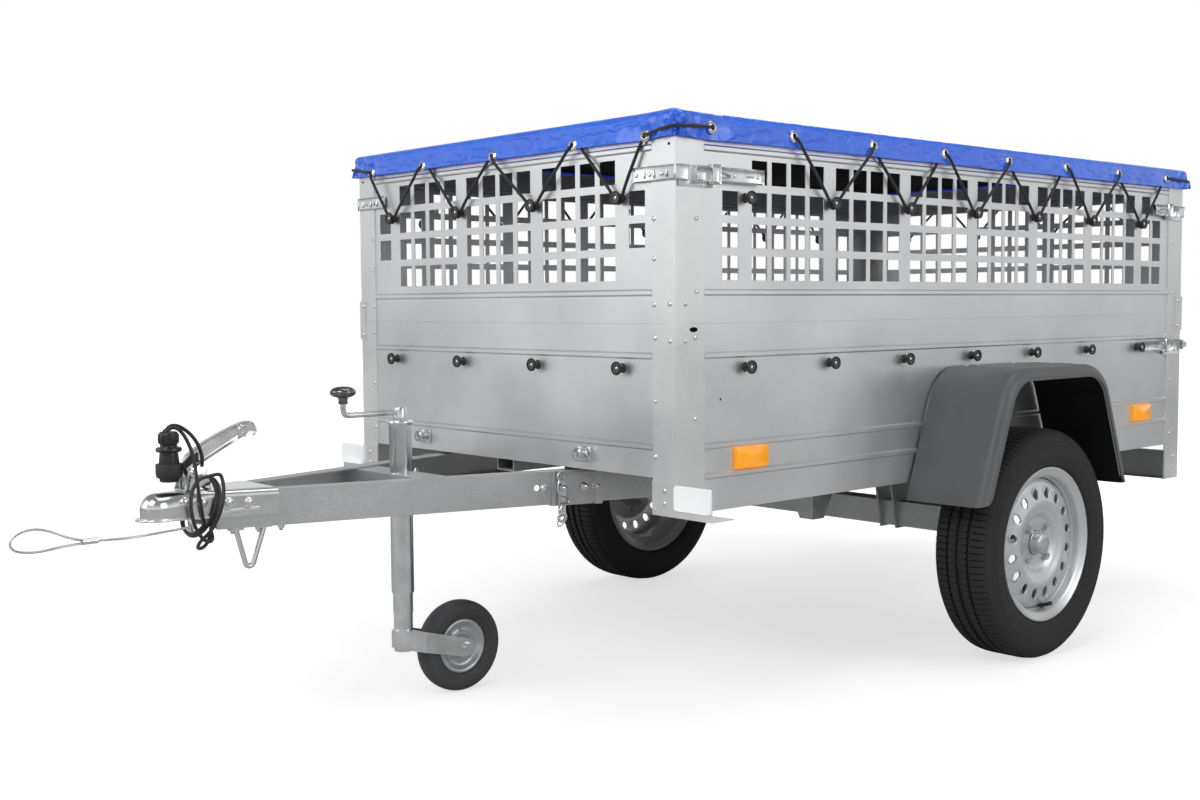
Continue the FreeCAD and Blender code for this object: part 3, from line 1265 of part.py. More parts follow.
def build_locks():
    """Hooks on the box front and the straps that tie the drawbar's arms to them."""
    y, z = v.lock_y, v.lock_z
    front = BOX_FRONT - v.post_thick
    plate = block("HookPlate", (front, front + 5), (y - v.lock_plate, y + v.lock_plate),
                  (v.lock_plate_low, v.lock_plate_high))
    stem = rod("HookStem", v.lock_stem_r, v.lock_stem, front, y, z, "X")
    head = rod("HookHead", v.lock_head_r, 6, front + v.lock_stem - 4, y, z, "X")
    node("tilt_lock_hooks", both_sides("Hooks", fuse("Hook", plate, stem, head)))
    x, thick = BOX_FRONT + v.tie_ahead, v.tie_thick
    middle = x + v.tie_wide / 2
    face = arm_half_at(x - v.wrap_sheet) + v.arm_sheet + 2 * v.seat_gap
    strap = block("LockStrap", (x, x + v.tie_wide), (face, face + thick),
                  (v.tie_low, v.tie_high))
    eye = rod("LockEye", v.lock_head_r, thick, middle, face, v.tie_high - 2, "Y")
    foot = rod("LockFoot", v.tie_wide / 2, thick, middle, face, v.tie_low + 2, "Y")
    bolt = rod("LockBolt", 9, 6, middle, face + thick - 1, v.tie_bolt_z, "Y")
    node("tilt_lock_straps", both_sides("Straps", fuse("Strap", strap, eye, foot, bolt)))


# Coupling

def build_coupling():
    tail = NOSE - v.tail_back
    low = HOUSING_LOW
    gap, shell = v.seat_gap, v.shell
    tip = ARM_TIP_X + 6

    def half_at(x, inset):
        return arm_half_at(x) + gap + shell - inset
    neck = BALL_X - 24

    def plan(inset, back):
        end = tail - back
        return [(end, -half_at(end, inset)), (tip, -half_at(tip, inset)),
                (neck, -(SHELL_R - inset)), (BALL_X, -(SHELL_R - inset)),
                (BALL_X, SHELL_R - inset), (neck, SHELL_R - inset),
                (tip, half_at(tip, inset)), (end, half_at(end, inset))]
    outer = prism("HousingOuter", "XY", plan(size_of(0), 0), v.side_drop, low)
    top = float(HOUSING_TOP)

    def top_edge(edge):
        box = edge.BoundBox
        return box.ZMin > top - 0.5 and box.YLength < 70
    outer = rounded("HousingRound", outer, 8, top_edge)
    dome = doc.addObject("Part::Sphere", "Dome")
    bind(dome, "Radius", SHELL_R)
    dome.Angle1 = 0
    move_to(dome, BALL_X, 0, BALL_Z)
    skirt = rod("DomeSkirt", SHELL_R, BALL_Z - low, BALL_X, 0, low)
    lip = rod("DomeLip", v.lip_r, shell, BALL_X, 0, low)
    lip_plan = [(tip, -half_at(tip, 0) - 5), (BALL_X - 10, -v.lip_r + 2),
                (BALL_X - 10, v.lip_r - 2), (tip, half_at(tip, 0) + 5)]
    side_lip = prism("SideLip", "XY", lip_plan, shell, low)
    lug_x = NOSE - v.rope_x
    lug = block("RopeLug", (lug_x - v.lug_reach, lug_x),
                (v.rope_y - v.lug_wide, v.rope_y + v.lug_wide), (v.rope_z - 7, low + 2))
    solid = fuse("HousingSolid", outer, dome, skirt, lip, side_lip, lug)
    throat = BALL_X - SHELL_R
    hollow = prism("HousingHollow", "XY", [
        (tail - 5, -half_at(tail - 5, shell)), (tip, -half_at(tip, shell)),
        (throat, -20), (throat, 20), (tip, half_at(tip, shell)),
        (tail - 5, half_at(tail - 5, shell))], v.side_drop - shell + 5, low - 5)
    socket = rod("SocketBore", v.ball_r, BALL_Z - low + 5, BALL_X, 0, low - 5)
    ball = doc.addObject("Part::Sphere", "SocketDome")
    bind(ball, "Radius", v.ball_r)
    move_to(ball, BALL_X, 0, BALL_Z)
    node("coupling_housing", cut("Housing", solid, fuse("HousingVoid", hollow, socket, ball)))


def build_lever():
    x = NOSE - v.lever_x
    base = HOUSING_TOP + v.seat_gap
    half, inner = v.lever_half, v.cheek_y
    sheet = v.lever_sheet
    outer = inner + sheet
    cheek = [(x - 38, base), (x + 16, base), (x + 9, base + 20), (x + 5, base + 44),
             (x - 30, base + 44), (x - 30, base + 26)]
    left = prism("LeverCheekLeft", "XZ", cheek, sheet, inner)
    right = prism("LeverCheekRight", "XZ", cheek, sheet, -outer)
    foot = block("LeverFoot", (x - 38, x + 16), (-outer, outer), (base, base + sheet))
    pin = rod("LeverPin", v.lever_pin_r, 2 * outer + 8, x - 2, -outer - 4, base + 34, "Y")
    latch = block("LeverLatch", (x - 12, x + 4), (4 - half, half - 4), (base, base + 34))
    arm = [(x + 6, base + 24), (x + 6, base + 50), (x - 2, base + 66),
           (x - 40, base + 90), (x - 100, base + 116), (x - 128, base + 124),
           (x - 140, base + 113), (x - 142, base + 99), (x - 132, base + 95),
           (x - 112, base + 94), (x - 12, base + 42), (x - 8, base + 24)]
    handle = prism("LeverArm", "XZ", arm, 2 * half, -half)
    boss_x, boss_z = x - v.boss_back, base + v.boss_high
    boss = rod("LeverBoss", v.boss_r, 2 * half + 4, boss_x, -half - 2, boss_z, "Y")
    solid = fuse("LeverSolid", left, right, foot, pin, latch, handle, boss)
    hole = rod("LeverHole", v.boss_hole_r, 4 * half, boss_x, -2 * half, boss_z, "Y")
    node("coupling_handle", cut("Lever", solid, hole))


def build_plug():
    x, low = NOSE - v.plug_x, v.plug_low_z
    outline = [(0, 0), (17, 0), (19, 12), (19, 55), (24, 60), (24, 64), (16, 66),
               (16, 71), (19, 73), (19, 92), (14, 95), (0, 95)]
    outline = [(size_of(a), size_of(b)) for a, b in outline]
    node("connector_plug", turned("Plug", outline, x, 0, low, "Z"))
    ring = [(19 + v.seat_gap, 8), (v.plug_r - 2, 8), (v.plug_r, 16), (v.plug_r, 34),
            (19 + v.seat_gap, 34)]
    cup = turned("HolderCup", [(size_of(a), size_of(b)) for a, b in ring], x, 0, low, "Z")
    near = v.lever_half + v.seat_gap
    arm = [(x - 12, low + 20), (x - 48, low + 40), (x - 50, low + 52), (x - 34, low + 48),
           (x - 12, low + 34)]
    arm = prism("HolderArm", "XZ", arm, v.cheek_y - near - v.seat_gap, near)
    clear = rod("HolderClear", 19.5, 40, x, 0, low)
    node("plug_holder", fuse("Holder", cup, cut("HolderArmCut", arm, clear)))


def build_support_hook():
    """A bent rod under the left arm's front end."""
    y = arm_half_at(BOX_FRONT + v.hook_tip) - v.hook_in
    top = v.arm_low_z
    points = [(BOX_FRONT + v.hook_front, top - 3), (BOX_FRONT + v.hook_tip, top - v.hook_drop),
              (BOX_FRONT + v.hook_rear, top - 3)]
    path = [FreeCAD.Vector(float(a), float(y), float(b)) for a, b in points]
    radius, bend = float(v.hook_rod), float(v.hook_bend)
    first, corner_point, last = path
    toward_first = (first - corner_point).normalize()
    toward_last = (last - corner_point).normalize()
    half_turn = toward_first.getAngle(toward_last) / 2
    back = bend / math.tan(half_turn)
    start, stop = corner_point + toward_first * back, corner_point + toward_last * back
    inward = (toward_first + toward_last).normalize()
    centre = corner_point + inward * (bend / math.sin(half_turn))
    mid = centre - inward * bend
    wire = Part.Wire([Part.LineSegment(first, start).toShape(),
                      Part.Arc(start, mid, stop).toShape(),
                      Part.LineSegment(stop, last).toShape()])
    circle = Part.Wire(Part.makeCircle(radius, first, (start - first).normalize()))
    bar = wire.makePipeShell([circle], True, False)
    feet = [Part.makeBox(26, 18, 5, FreeCAD.Vector(place.x - 13, place.y - 9,
                                                   float(top) - 5)) for place in (first, last)]
    shape = bar.fuse(feet).removeSplitter()
    node("support_hook", fixed("SupportHook", shape))


# Jack and jockey wheel

def build_jack():
    outer = rod("JackOuter", v.tube_r, v.tube_top_z - v.tube_low_z, JACK_X, 0, v.tube_low_z)
    bore = rod("JackBore", v.slide_r, v.tube_top_z - v.tube_low_z - v.tube_cap, JACK_X, 0,
               v.tube_low_z)
    node("jack_tube", cut("JackTube", outer, bore))
    head_z = v.tube_top_z + v.seat_gap
    head = rod("CrankHead", v.head_r, v.head_high, JACK_X, 0, head_z)
    arm_z, bend_r = head_z + v.crank_rise, v.crank_bend
    run = v.crank_reach - bend_r
    arm = rod("CrankArm", v.crank_r, run, JACK_X, 0, arm_z, "X")
    bend = doc.addObject("Part::Torus", "CrankBend")
    bind(bend, "Radius1", bend_r)
    bind(bend, "Radius2", v.crank_r)
    bend.Angle3 = 90
    move_to(bend, JACK_X + run, 0, arm_z + bend_r)
    bend.Placement = FreeCAD.Placement(
        bend.Placement.Base, FreeCAD.Rotation(FreeCAD.Vector(1, 0, 0), FreeCAD.Vector(0, 0, -1),
                                              FreeCAD.Vector(0, 1, 0), "XZY"))
    riser = rod("CrankRiser", v.crank_r, v.crank_rise, JACK_X + v.crank_reach, 0,
                arm_z + bend_r)
    outline = [(0, 0), (10, 0), (10, 10), (22, 16), (27, 24), (22, 33), (12, 37), (0, 37)]
    grip = turned("CrankGrip", [(size_of(a), size_of(b)) for a, b in outline],
                  JACK_X + v.crank_reach, 0, arm_z + 2 * bend_r, "Z")
    node("jack_crank", fuse("Crank", head, arm, bend, riser, grip))


def build_stem():
    stem = rod("Stem", v.slide_r - v.slide_play, v.stem_top_z - v.stem_low_z, JACK_X, 0,
               v.stem_low_z)
    hollow = rod("StemHollow", v.stem_bore, v.stem_top_z - v.stem_low_z - 20, JACK_X, 0,
                 v.stem_low_z + 30)
    spigot = rod("Spigot", v.swivel_r, v.stem_low_z - v.socket_low_z - 8, JACK_X, 0,
                 v.socket_low_z + 8)
    node("jack_stem", fuse("StemSolid", cut("StemTube", stem, hollow), spigot))


def build_fork():
    axis_z = v.jockey_r
    wheel_x = JACK_X - v.jockey_trail
    socket_r = v.socket_r
    inner = v.jockey_wide / 2 + v.fork_play
    outer = inner + v.fork_sheet
    hug = socket_r
    outline = [(JACK_X, hug + v.fork_sheet), (JACK_X + 8, hug + v.fork_sheet - 2),
               (JACK_X + hug + v.fork_sheet, 8), (JACK_X + hug + v.fork_sheet, -8),
               (JACK_X + 8, -hug - v.fork_sheet + 2), (JACK_X, -hug - v.fork_sheet),
               (JACK_X - 34, -outer), (wheel_x - 22, -outer), (wheel_x - 22, -inner),
               (JACK_X - 30, -inner), (JACK_X - 6, -hug + 2), (JACK_X - 6, hug - 2),
               (JACK_X - 30, inner), (wheel_x - 22, inner), (wheel_x - 22, outer),
               (JACK_X - 34, outer)]
    plan = prism("ForkPlan", "XY", [(size_of(a), size_of(b)) for a, b in outline], 140, 40)
    side = [(JACK_X + 30, axis_z + 22), (JACK_X + 30, axis_z + 58), (JACK_X - 10, axis_z + 58),
            (wheel_x - 4, axis_z + 19), (wheel_x - 18, axis_z + 12), (wheel_x - 22, axis_z),
            (wheel_x - 18, axis_z - 12), (wheel_x - 4, axis_z - 19), (wheel_x + 12, axis_z - 18)]
    side = prism("ForkSide", "XZ", [(size_of(a), size_of(b)) for a, b in side], 120, -60)
    strip = common("ForkStrip", plan, side)
    socket = rod("ForkSocket", socket_r, v.stem_low_z - v.socket_low_z - v.seat_gap,
                 JACK_X, 0, v.socket_low_z)
    solid = fuse("ForkSolid", strip, socket)
    bore = rod("ForkBore", v.swivel_r + v.swivel_play, 200, JACK_X, 0,
               v.socket_low_z + 8 - v.seat_gap)
    hollow = cut("ForkBored", solid, bore)
    tall = v.pin_head
    pin = rod("JockeyPin", v.jockey_pin, 2 * (outer + tall), wheel_x, -outer - tall, axis_z,
              "Y")
    heads = [rod("JockeyNut%d" % side_sign, v.pin_head_r, tall, wheel_x,
                 outer if side_sign > 0 else -outer - tall, axis_z, "Y")
             for side_sign in (-1, 1)]
    node("jockey_fork", fuse("Fork", hollow, pin, *heads))


def build_jockey_wheel():
    x = JACK_X - v.jockey_trail
    half = v.jockey_wide / 2
    rim = v.jockey_rim_r
    outline = [(rim, 8 - half), (rim + 12, 2 - half), (v.jockey_r - 14, -half),
               (v.jockey_r - 5, 5 - half), (v.jockey_r, 16 - half), (v.jockey_r, half - 16),
               (v.jockey_r - 5, half - 5), (v.jockey_r - 14, half), (rim + 12, half - 2),
               (rim, half - 8)]
    node("jockey_tyre", turned("JockeyTyre", [(size_of(a), size_of(b)) for a, b in outline],
                               x, 0, v.jockey_r))
    bore = v.jockey_pin + v.jockey_play
    hub = v.jockey_wide / 2 + 4
    outline = [(bore, -hub), (16, -hub), (18, -8), (44, 4 - 8), (50, 10 - half),
               (rim - 0.3, 6 - half), (rim - 0.3, half - 6), (50, half - 10), (44, 8 - 4),
               (18, 8), (16, hub), (bore, hub)]
    node("jockey_rim", turned("JockeyRim", [(size_of(a), size_of(b)) for a, b in outline],
                              x, 0, v.jockey_r))


# Cables and safety rope

def cord_wire(points):
    """Straight runs joined by tangent arcs as large as their runs allow."""
    path = [FreeCAD.Vector(*point) for point in points]
    edges, last, tightest = [], path[0], 1e9
    for before, here, after in zip(path, path[1:], path[2:]):
        back, ahead = before - here, after - here
        run = min(back.Length, ahead.Length)
        back, ahead = back.normalize(), ahead.normalize()
        half_turn = (math.pi - back.getAngle(ahead)) / 2
        reach = 0.45 * run
        radius = reach / math.tan(half_turn)
        tightest = min(tightest, radius)
        start, stop = here + back * reach, here + ahead * reach
        inward = (back + ahead).normalize()
        centre = here + inward * (radius / math.cos(half_turn))
        edges.append(Part.LineSegment(last, start).toShape())
        edges.append(Part.Arc(start, centre - inward * radius, stop).toShape())
        last = stop
    edges.append(Part.LineSegment(last, path[-1]).toShape())
    return Part.Wire(edges), tightest


def cord(label, points, diameter):
    """A cord's tube along its route; its volume is compared with section times length."""
    wire, tightest = cord_wire(points)
    first = wire.OrderedEdges[0]
    heading = first.tangentAt(first.FirstParameter)
    circle = Part.Wire(Part.makeCircle(float(diameter) / 2, FreeCAD.Vector(*points[0]), heading))
    shape = wire.makePipeShell([circle], True, False)
    ideal = math.pi * float(diameter) ** 2 / 4 * wire.Length
    print("%s length %.0f tightest arc %.1f volume ratio %.4f"
          % (label, wire.Length, tightest, shape.Volume / ideal))
    node(label, fixed(label.replace("_", " ").title().replace(" ", ""), shape))


def route(points):
    """Route points given from the coupling's nose, in the part's frame."""
    return [(float(NOSE) + x, y, z) for x, y, z in points]


def build_cables():
    cord("cable_front", route([
        (-62, 3.6, 614.9), (-66, 4, 620), (-74, 7, 623), (-84, 12, 617), (-92, 18, 602),
        (-98, 26, 581), (-100, 36, 556), (-98, 46, 531), (-97, 54, 506), (-98, 60, 481),
        (-101, 63, 456), (-109, 63.5, 438), (-118, 63.5, 428)]), v.cable_d)
    cord("cable_rear", route([
        (-62, -3.6, 614.9), (-66, -4, 621), (-75, -3, 626), (-87, 0, 624), (-99, 6, 615),
        (-110, 12, 602), (-119, 17, 584), (-124.5, 17.4, 563), (-123, 17, 540),
        (-121, 17, 521), (-120, 17.2, 505)]), v.cable_d)
    cord("cable_loop", route([
        (-137, 52, 522), (-116, 55, 529), (-95, 58, 526), (-79, 65, 508),
        (-73, 70, 484), (-75, 72, 458), (-83, 72, 434), (-96, 72, 415), (-111, 71, 408),
        (-122, 68, 414), (-124, 66, 426)]), v.cable_d)


def build_coil():
    """The bundle of turns round the coupling: an elliptical ring that leans back."""
    wide = float(v.coil_wide)
    middle = FreeCAD.Vector(float(NOSE - v.coil_back), 0, float(v.coil_z))
    rings = []
    for reach, rise in ((v.coil_reach, v.coil_rise), (v.coil_in_reach, v.coil_in_rise)):
        ellipse = Part.Ellipse(FreeCAD.Vector(0, 0, 0), float(reach), float(rise))
        face = Part.Face(Part.Wire(ellipse.toShape()))
        rings.append(face.extrude(FreeCAD.Vector(0, 0, wide)))
    coil = rings[0].cut(rings[1])
    coil.translate(FreeCAD.Vector(0, 0, -wide / 2))
    upright = FreeCAD.Rotation(FreeCAD.Vector(0, 1, 0), FreeCAD.Vector(0, 0, 1),
                               FreeCAD.Vector(1, 0, 0), "ZXY")
    lean = FreeCAD.Rotation(FreeCAD.Vector(0, 1, 0), -float(v.coil_lean))
    coil.Placement = FreeCAD.Placement(middle, lean * upright).multiply(coil.Placement)
    node("cable_coil", fixed("CableCoil", coil))


def build_rope():
    y = float(v.rope_y)
    cord("safety_rope", route([
        (-float(v.rope_x), y, float(v.rope_z)), (-44, y, 435.5), (-2, y, 432),
        (46, y, 430.5), (92, y, 433)]), v.rope_d)
    ferrule = rod("Ferrule", v.ferrule_r, v.ferrule_long, NOSE + v.ferrule_ahead, y,
                  v.ferrule_z, "X")
    node("rope_ferrule", ferrule)
    cord("rope_loop", route([
        (121, y, 436.1), (140, y, 442), (160, y, 451), (180, y, 460.5), (206, y, 466.5),
        (230, y, 462), (246, y, 450), (243, y, 434), (226, y, 427), (198, y, 424.5),
        (172, y, 427.5), (146, y, 430), (121, y, 430.9)]), v.rope_d)


# Elastic lacing

def lace(points):
    """One stretch of elastic cord through points."""
    wire, tightest = cord_wire(points)
    first = wire.OrderedEdges[0]
    heading = first.tangentAt(first.FirstParameter)
    ring = Part.makeCircle(float(v.elastic_r), FreeCAD.Vector(*points[0]), heading)
    return wire.makePipeShell([Part.Wire(ring)], True, False)


def lace_row(place, knobs, eyes, eye_z, under):
    """Stretches over one face: each goes down from the cover, under a knob and back up.

    place turns (along, outward, height) into a point; under lists the knobs whose
    stretch ends behind the cover's skirt.
    """
    out = float(v.cover_out + v.elastic_r + v.seat_gap)
    hem, low = float(COVER_HEM) + 4, float(KNOB_HIGH) - 9.9
    inside, bead_out = 2.6, 5.2
    fall = (hem - float(BEAD_TOP) - 3) / (hem - low)
    rows = []
    for index, along in knobs:
        left, right = eyes[index], eyes[index + 1]
        bottom = [(along - 8, 14, low), (along + 8, 14, low)]
        if index in under:
            left, right = left + (along - left) * 0.12, right - (right - along) * 0.12
            bead_z = hem - fall * (hem - low)
            down = [(left, inside, hem),
                    (left + fall * (along - 8 - left), bead_out, bead_z)]
            rise = [(right + fall * (along + 8 - right), bead_out, bead_z),
                    (right, inside, hem)]
        else:
            down, rise = [(left, out, eye_z)], [(right, out, eye_z)]
        path = down + bottom + rise
        rows.append(lace([place(*point) for point in path]))
    return rows


def build_lacing():
    front, rear, side = float(BOX_FRONT), float(BOX_REAR), float(HALF)
    knobs = [float(v.knob_first + index * KNOB_PITCH) for index in range(int(v.side_knobs))]
    half = float(KNOB_PITCH) / 2
    eyes = [float(v.eyelet_side)] + [knob_at + half for knob_at in knobs[:-1]]
    eyes.append(knobs[-1] + half)
    laced = [(index, knobs[index]) for index in range(1, int(v.side_knobs))]
    high = float(EYELET_Z)
    pieces = []
    for hand in (1, -1):
        def on_side(along, outward, height, hand=hand):
            return (front - along, hand * (side + outward), height)
        pieces += lace_row(on_side, laced, eyes, high, (2, 4, 6))
    knobs = [float(v.knob_edge + index * END_PITCH) for index in range(int(v.end_knobs))]
    half = float(END_PITCH) / 2
    eyes = [float(v.eyelet_end)] + [knob_at + half for knob_at in knobs[:-1]]
    eyes.append(float(v.box_width - v.eyelet_end))
    laced = list(enumerate(knobs))
    low = float(EYELET_END_Z)

    def on_front(along, outward, height):
        return (front + outward, side - along, height)

    def on_rear(along, outward, height):
        return (rear - outward, side - along, height)
    pieces += lace_row(on_front, laced, eyes, low, (0, 2))
    pieces += lace_row(on_rear, laced, eyes, low, (0, 2))
    out = float(v.cover_out + v.elastic_r + v.seat_gap)
    first, last = float(v.eyelet_side), float(v.box_length) - knobs_end()
    for hand in (1, -1):
        for end, way, back in ((front, 1, first), (rear, -1, last)):
            pieces.append(lace([
                (end + way * out, hand * (side - float(v.eyelet_end)), low),
                (end + way * (out + 0.6), hand * (side - 20), low + 6),
                (end + way * (out + 2), hand * (side + out - 4), low + 10),
                (end + way * (out - 4), hand * (side + out + 2), low + 12),
                (end - way * 20, hand * (side + out + 0.6), low + 14),
                (end - way * back, hand * (side + out), high)]))
    node("elastic_lacing", fixed("Lacing", Part.makeCompound(pieces)))


def knobs_end():
    """Distance of the last side eyelet from the box front."""
    return float(v.knob_first + (v.side_knobs - 0.5) * KNOB_PITCH)


def check_and_write():
    """Stop on any failed object or bad shape, then write one file a sub-part."""
    doc.recompute()
    for item in doc.Objects:
        bad = [state for state in item.State if state in ("Invalid", "Error")]
        if bad:
            raise RuntimeError(item.Name + " failed: " + ", ".join(bad))
    os.makedirs("parts", exist_ok=True)
    for item in nodes:
        shape = item.Shape
        if shape.isNull() or not shape.isValid() or not shape.Solids:
            raise RuntimeError(item.Label + " has no valid solid")
    for item in nodes:
        item.Shape.exportStep("parts/" + item.Label + ".step")
    print(len(nodes), "sub-parts written")


build_floor()
build_box_panels()
build_posts()
build_mesh()
build_knobs()
build_cover()
build_latches()
build_markers()
build_tailgate()
build_rear()
build_underframe()
build_axle()
build_swing_arms()
build_mudguards()
build_wheels()
build_hinge_brackets(build_arms())
build_crossbar()
build_arm_brackets()
build_locks()
build_coupling()
build_lever()
build_plug()
build_support_hook()
build_jack()
build_stem()
build_fork()
build_jockey_wheel()
build_cables()
build_coil()
build_rope()
build_lacing()
check_and_write()
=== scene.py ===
"""Visual model of a galvanised box trailer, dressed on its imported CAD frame.

Metres, +X towards the coupling, +Y to the trailer's left, +Z up, origin on the ground.
Outlines inside mm() and the routes of the leads are in millimetres.
Each class below is one sub-assembly. Its fields are sizes, its methods model the pieces
and give them their finish, and main() builds the classes in order.
"""
import logging
import math
from dataclasses import dataclass
from enum import Enum
from typing import Callable, Iterable, Sequence, Union

import bmesh
import bpy
from mathutils import Matrix, Vector, noise


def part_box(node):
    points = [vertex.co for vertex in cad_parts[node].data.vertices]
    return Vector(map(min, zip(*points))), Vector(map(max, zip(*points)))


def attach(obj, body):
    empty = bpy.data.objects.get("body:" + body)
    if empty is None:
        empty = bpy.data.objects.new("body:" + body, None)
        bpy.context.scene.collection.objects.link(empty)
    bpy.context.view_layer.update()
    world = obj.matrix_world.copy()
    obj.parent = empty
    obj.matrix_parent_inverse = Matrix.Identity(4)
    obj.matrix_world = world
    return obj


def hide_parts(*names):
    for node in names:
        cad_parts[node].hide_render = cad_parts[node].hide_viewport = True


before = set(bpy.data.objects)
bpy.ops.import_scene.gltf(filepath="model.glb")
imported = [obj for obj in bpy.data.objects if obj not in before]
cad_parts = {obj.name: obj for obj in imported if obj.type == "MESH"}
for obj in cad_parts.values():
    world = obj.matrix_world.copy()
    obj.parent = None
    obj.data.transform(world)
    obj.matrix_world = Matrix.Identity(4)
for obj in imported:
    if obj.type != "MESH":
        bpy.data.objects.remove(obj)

log = logging.getLogger("trailer")

Rgb = tuple[float, float, float]
Point = tuple[float, float, float]
Flat = tuple[float, float]
Pick = Callable[[Vector, Vector], bool]

ORIGIN: Point = (0, 0, 0)
AHEAD: Point = (1, 0, 0)
LEFT: Point = (0, 1, 0)
UP: Point = (0, 0, 1)

NOSE = 1.4655
BOX_FRONT = 0.6205
BOX_REAR = -1.4375
HALF = 0.562
PANEL = 0.559
FRONT_FACE = BOX_FRONT - 0.003
REAR_FACE = BOX_REAR + 0.003
AXLE_X = -0.4405
WHEEL_Y = 0.671
TYRE_R = 0.2735
JACK_X = 0.8835
JOCKEY_X = 0.7405
JOCKEY_R = 0.1
ARM_TAN = math.tan(math.radians(15.35))
ARM_TIP = 1.3305
MIDDLE = (BOX_FRONT + BOX_REAR) / 2
SIDE_FIRST, SIDE_PITCH = 0.202, 0.2675
END_FIRST, END_PITCH = 0.154, 0.272
KNOB_LOW, KNOB_HIGH = 0.718, 1.0587
NOISE_ROUGHNESS = 0.55


def mm(*points: Flat) -> list[Flat]:
    """Return pairs that are given in millimetres in metres."""
    return [(a / 1000, b / 1000) for a, b in points]


def arm_face(x: float) -> float:
    """Return the distance of the drawbar arm's outer face from the centreline at x."""
    return 0.05 + (ARM_TIP - x) * ARM_TAN


# Shader maths


class Wire:
    """One socket of a finish's node tree, on which sums are written as Python."""

    def __init__(self, tree: "Finish", socket: bpy.types.NodeSocket) -> None:
        """Keep the socket and the tree that it belongs to."""
        self.tree = tree
        self.socket = socket

    def _math(self, operation: str, *values: "Value") -> "Wire":
        """Return a Math node of the operation on values."""
        return self.tree.node("ShaderNodeMath", {"operation": operation},
                              dict(enumerate(values)))

    def __add__(self, other: "Value") -> "Wire":
        """Return the sum."""
        return self._math("ADD", self, other)

    __radd__ = __add__

    def __sub__(self, other: "Value") -> "Wire":
        """Return the difference."""
        return self._math("SUBTRACT", self, other)

    def __mul__(self, other: "Value") -> "Wire":
        """Return the product."""
        return self._math("MULTIPLY", self, other)

    __rmul__ = __mul__

    def __pow__(self, other: "Value") -> "Wire":
        """Return the power."""
        return self._math("POWER", self, other)

    def wave(self) -> "Wire":
        """Return the sine."""
        return self._math("SINE", self)

    def most(self, other: "Value") -> "Wire":
        """Return the larger of two values."""
        return self._math("MAXIMUM", self, other)

    def band(self, low: float, high: float, at_low: float = 0.0,
             at_high: float = 1.0) -> "Wire":
        """Map low..high to at_low..at_high, and hold the ends.

        Args:
            low: Value that gives at_low.
            high: Value that gives at_high.
            at_low: Result at and below low.
            at_high: Result at and above high.

        Returns:
            The mapped value.
        """
        return self.tree.node("ShaderNodeMapRange", {"clamp": True},
                              {0: self, 1: low, 2: high, 3: at_low, 4: at_high})


Value = Union[Wire, float, int, Sequence[float]]


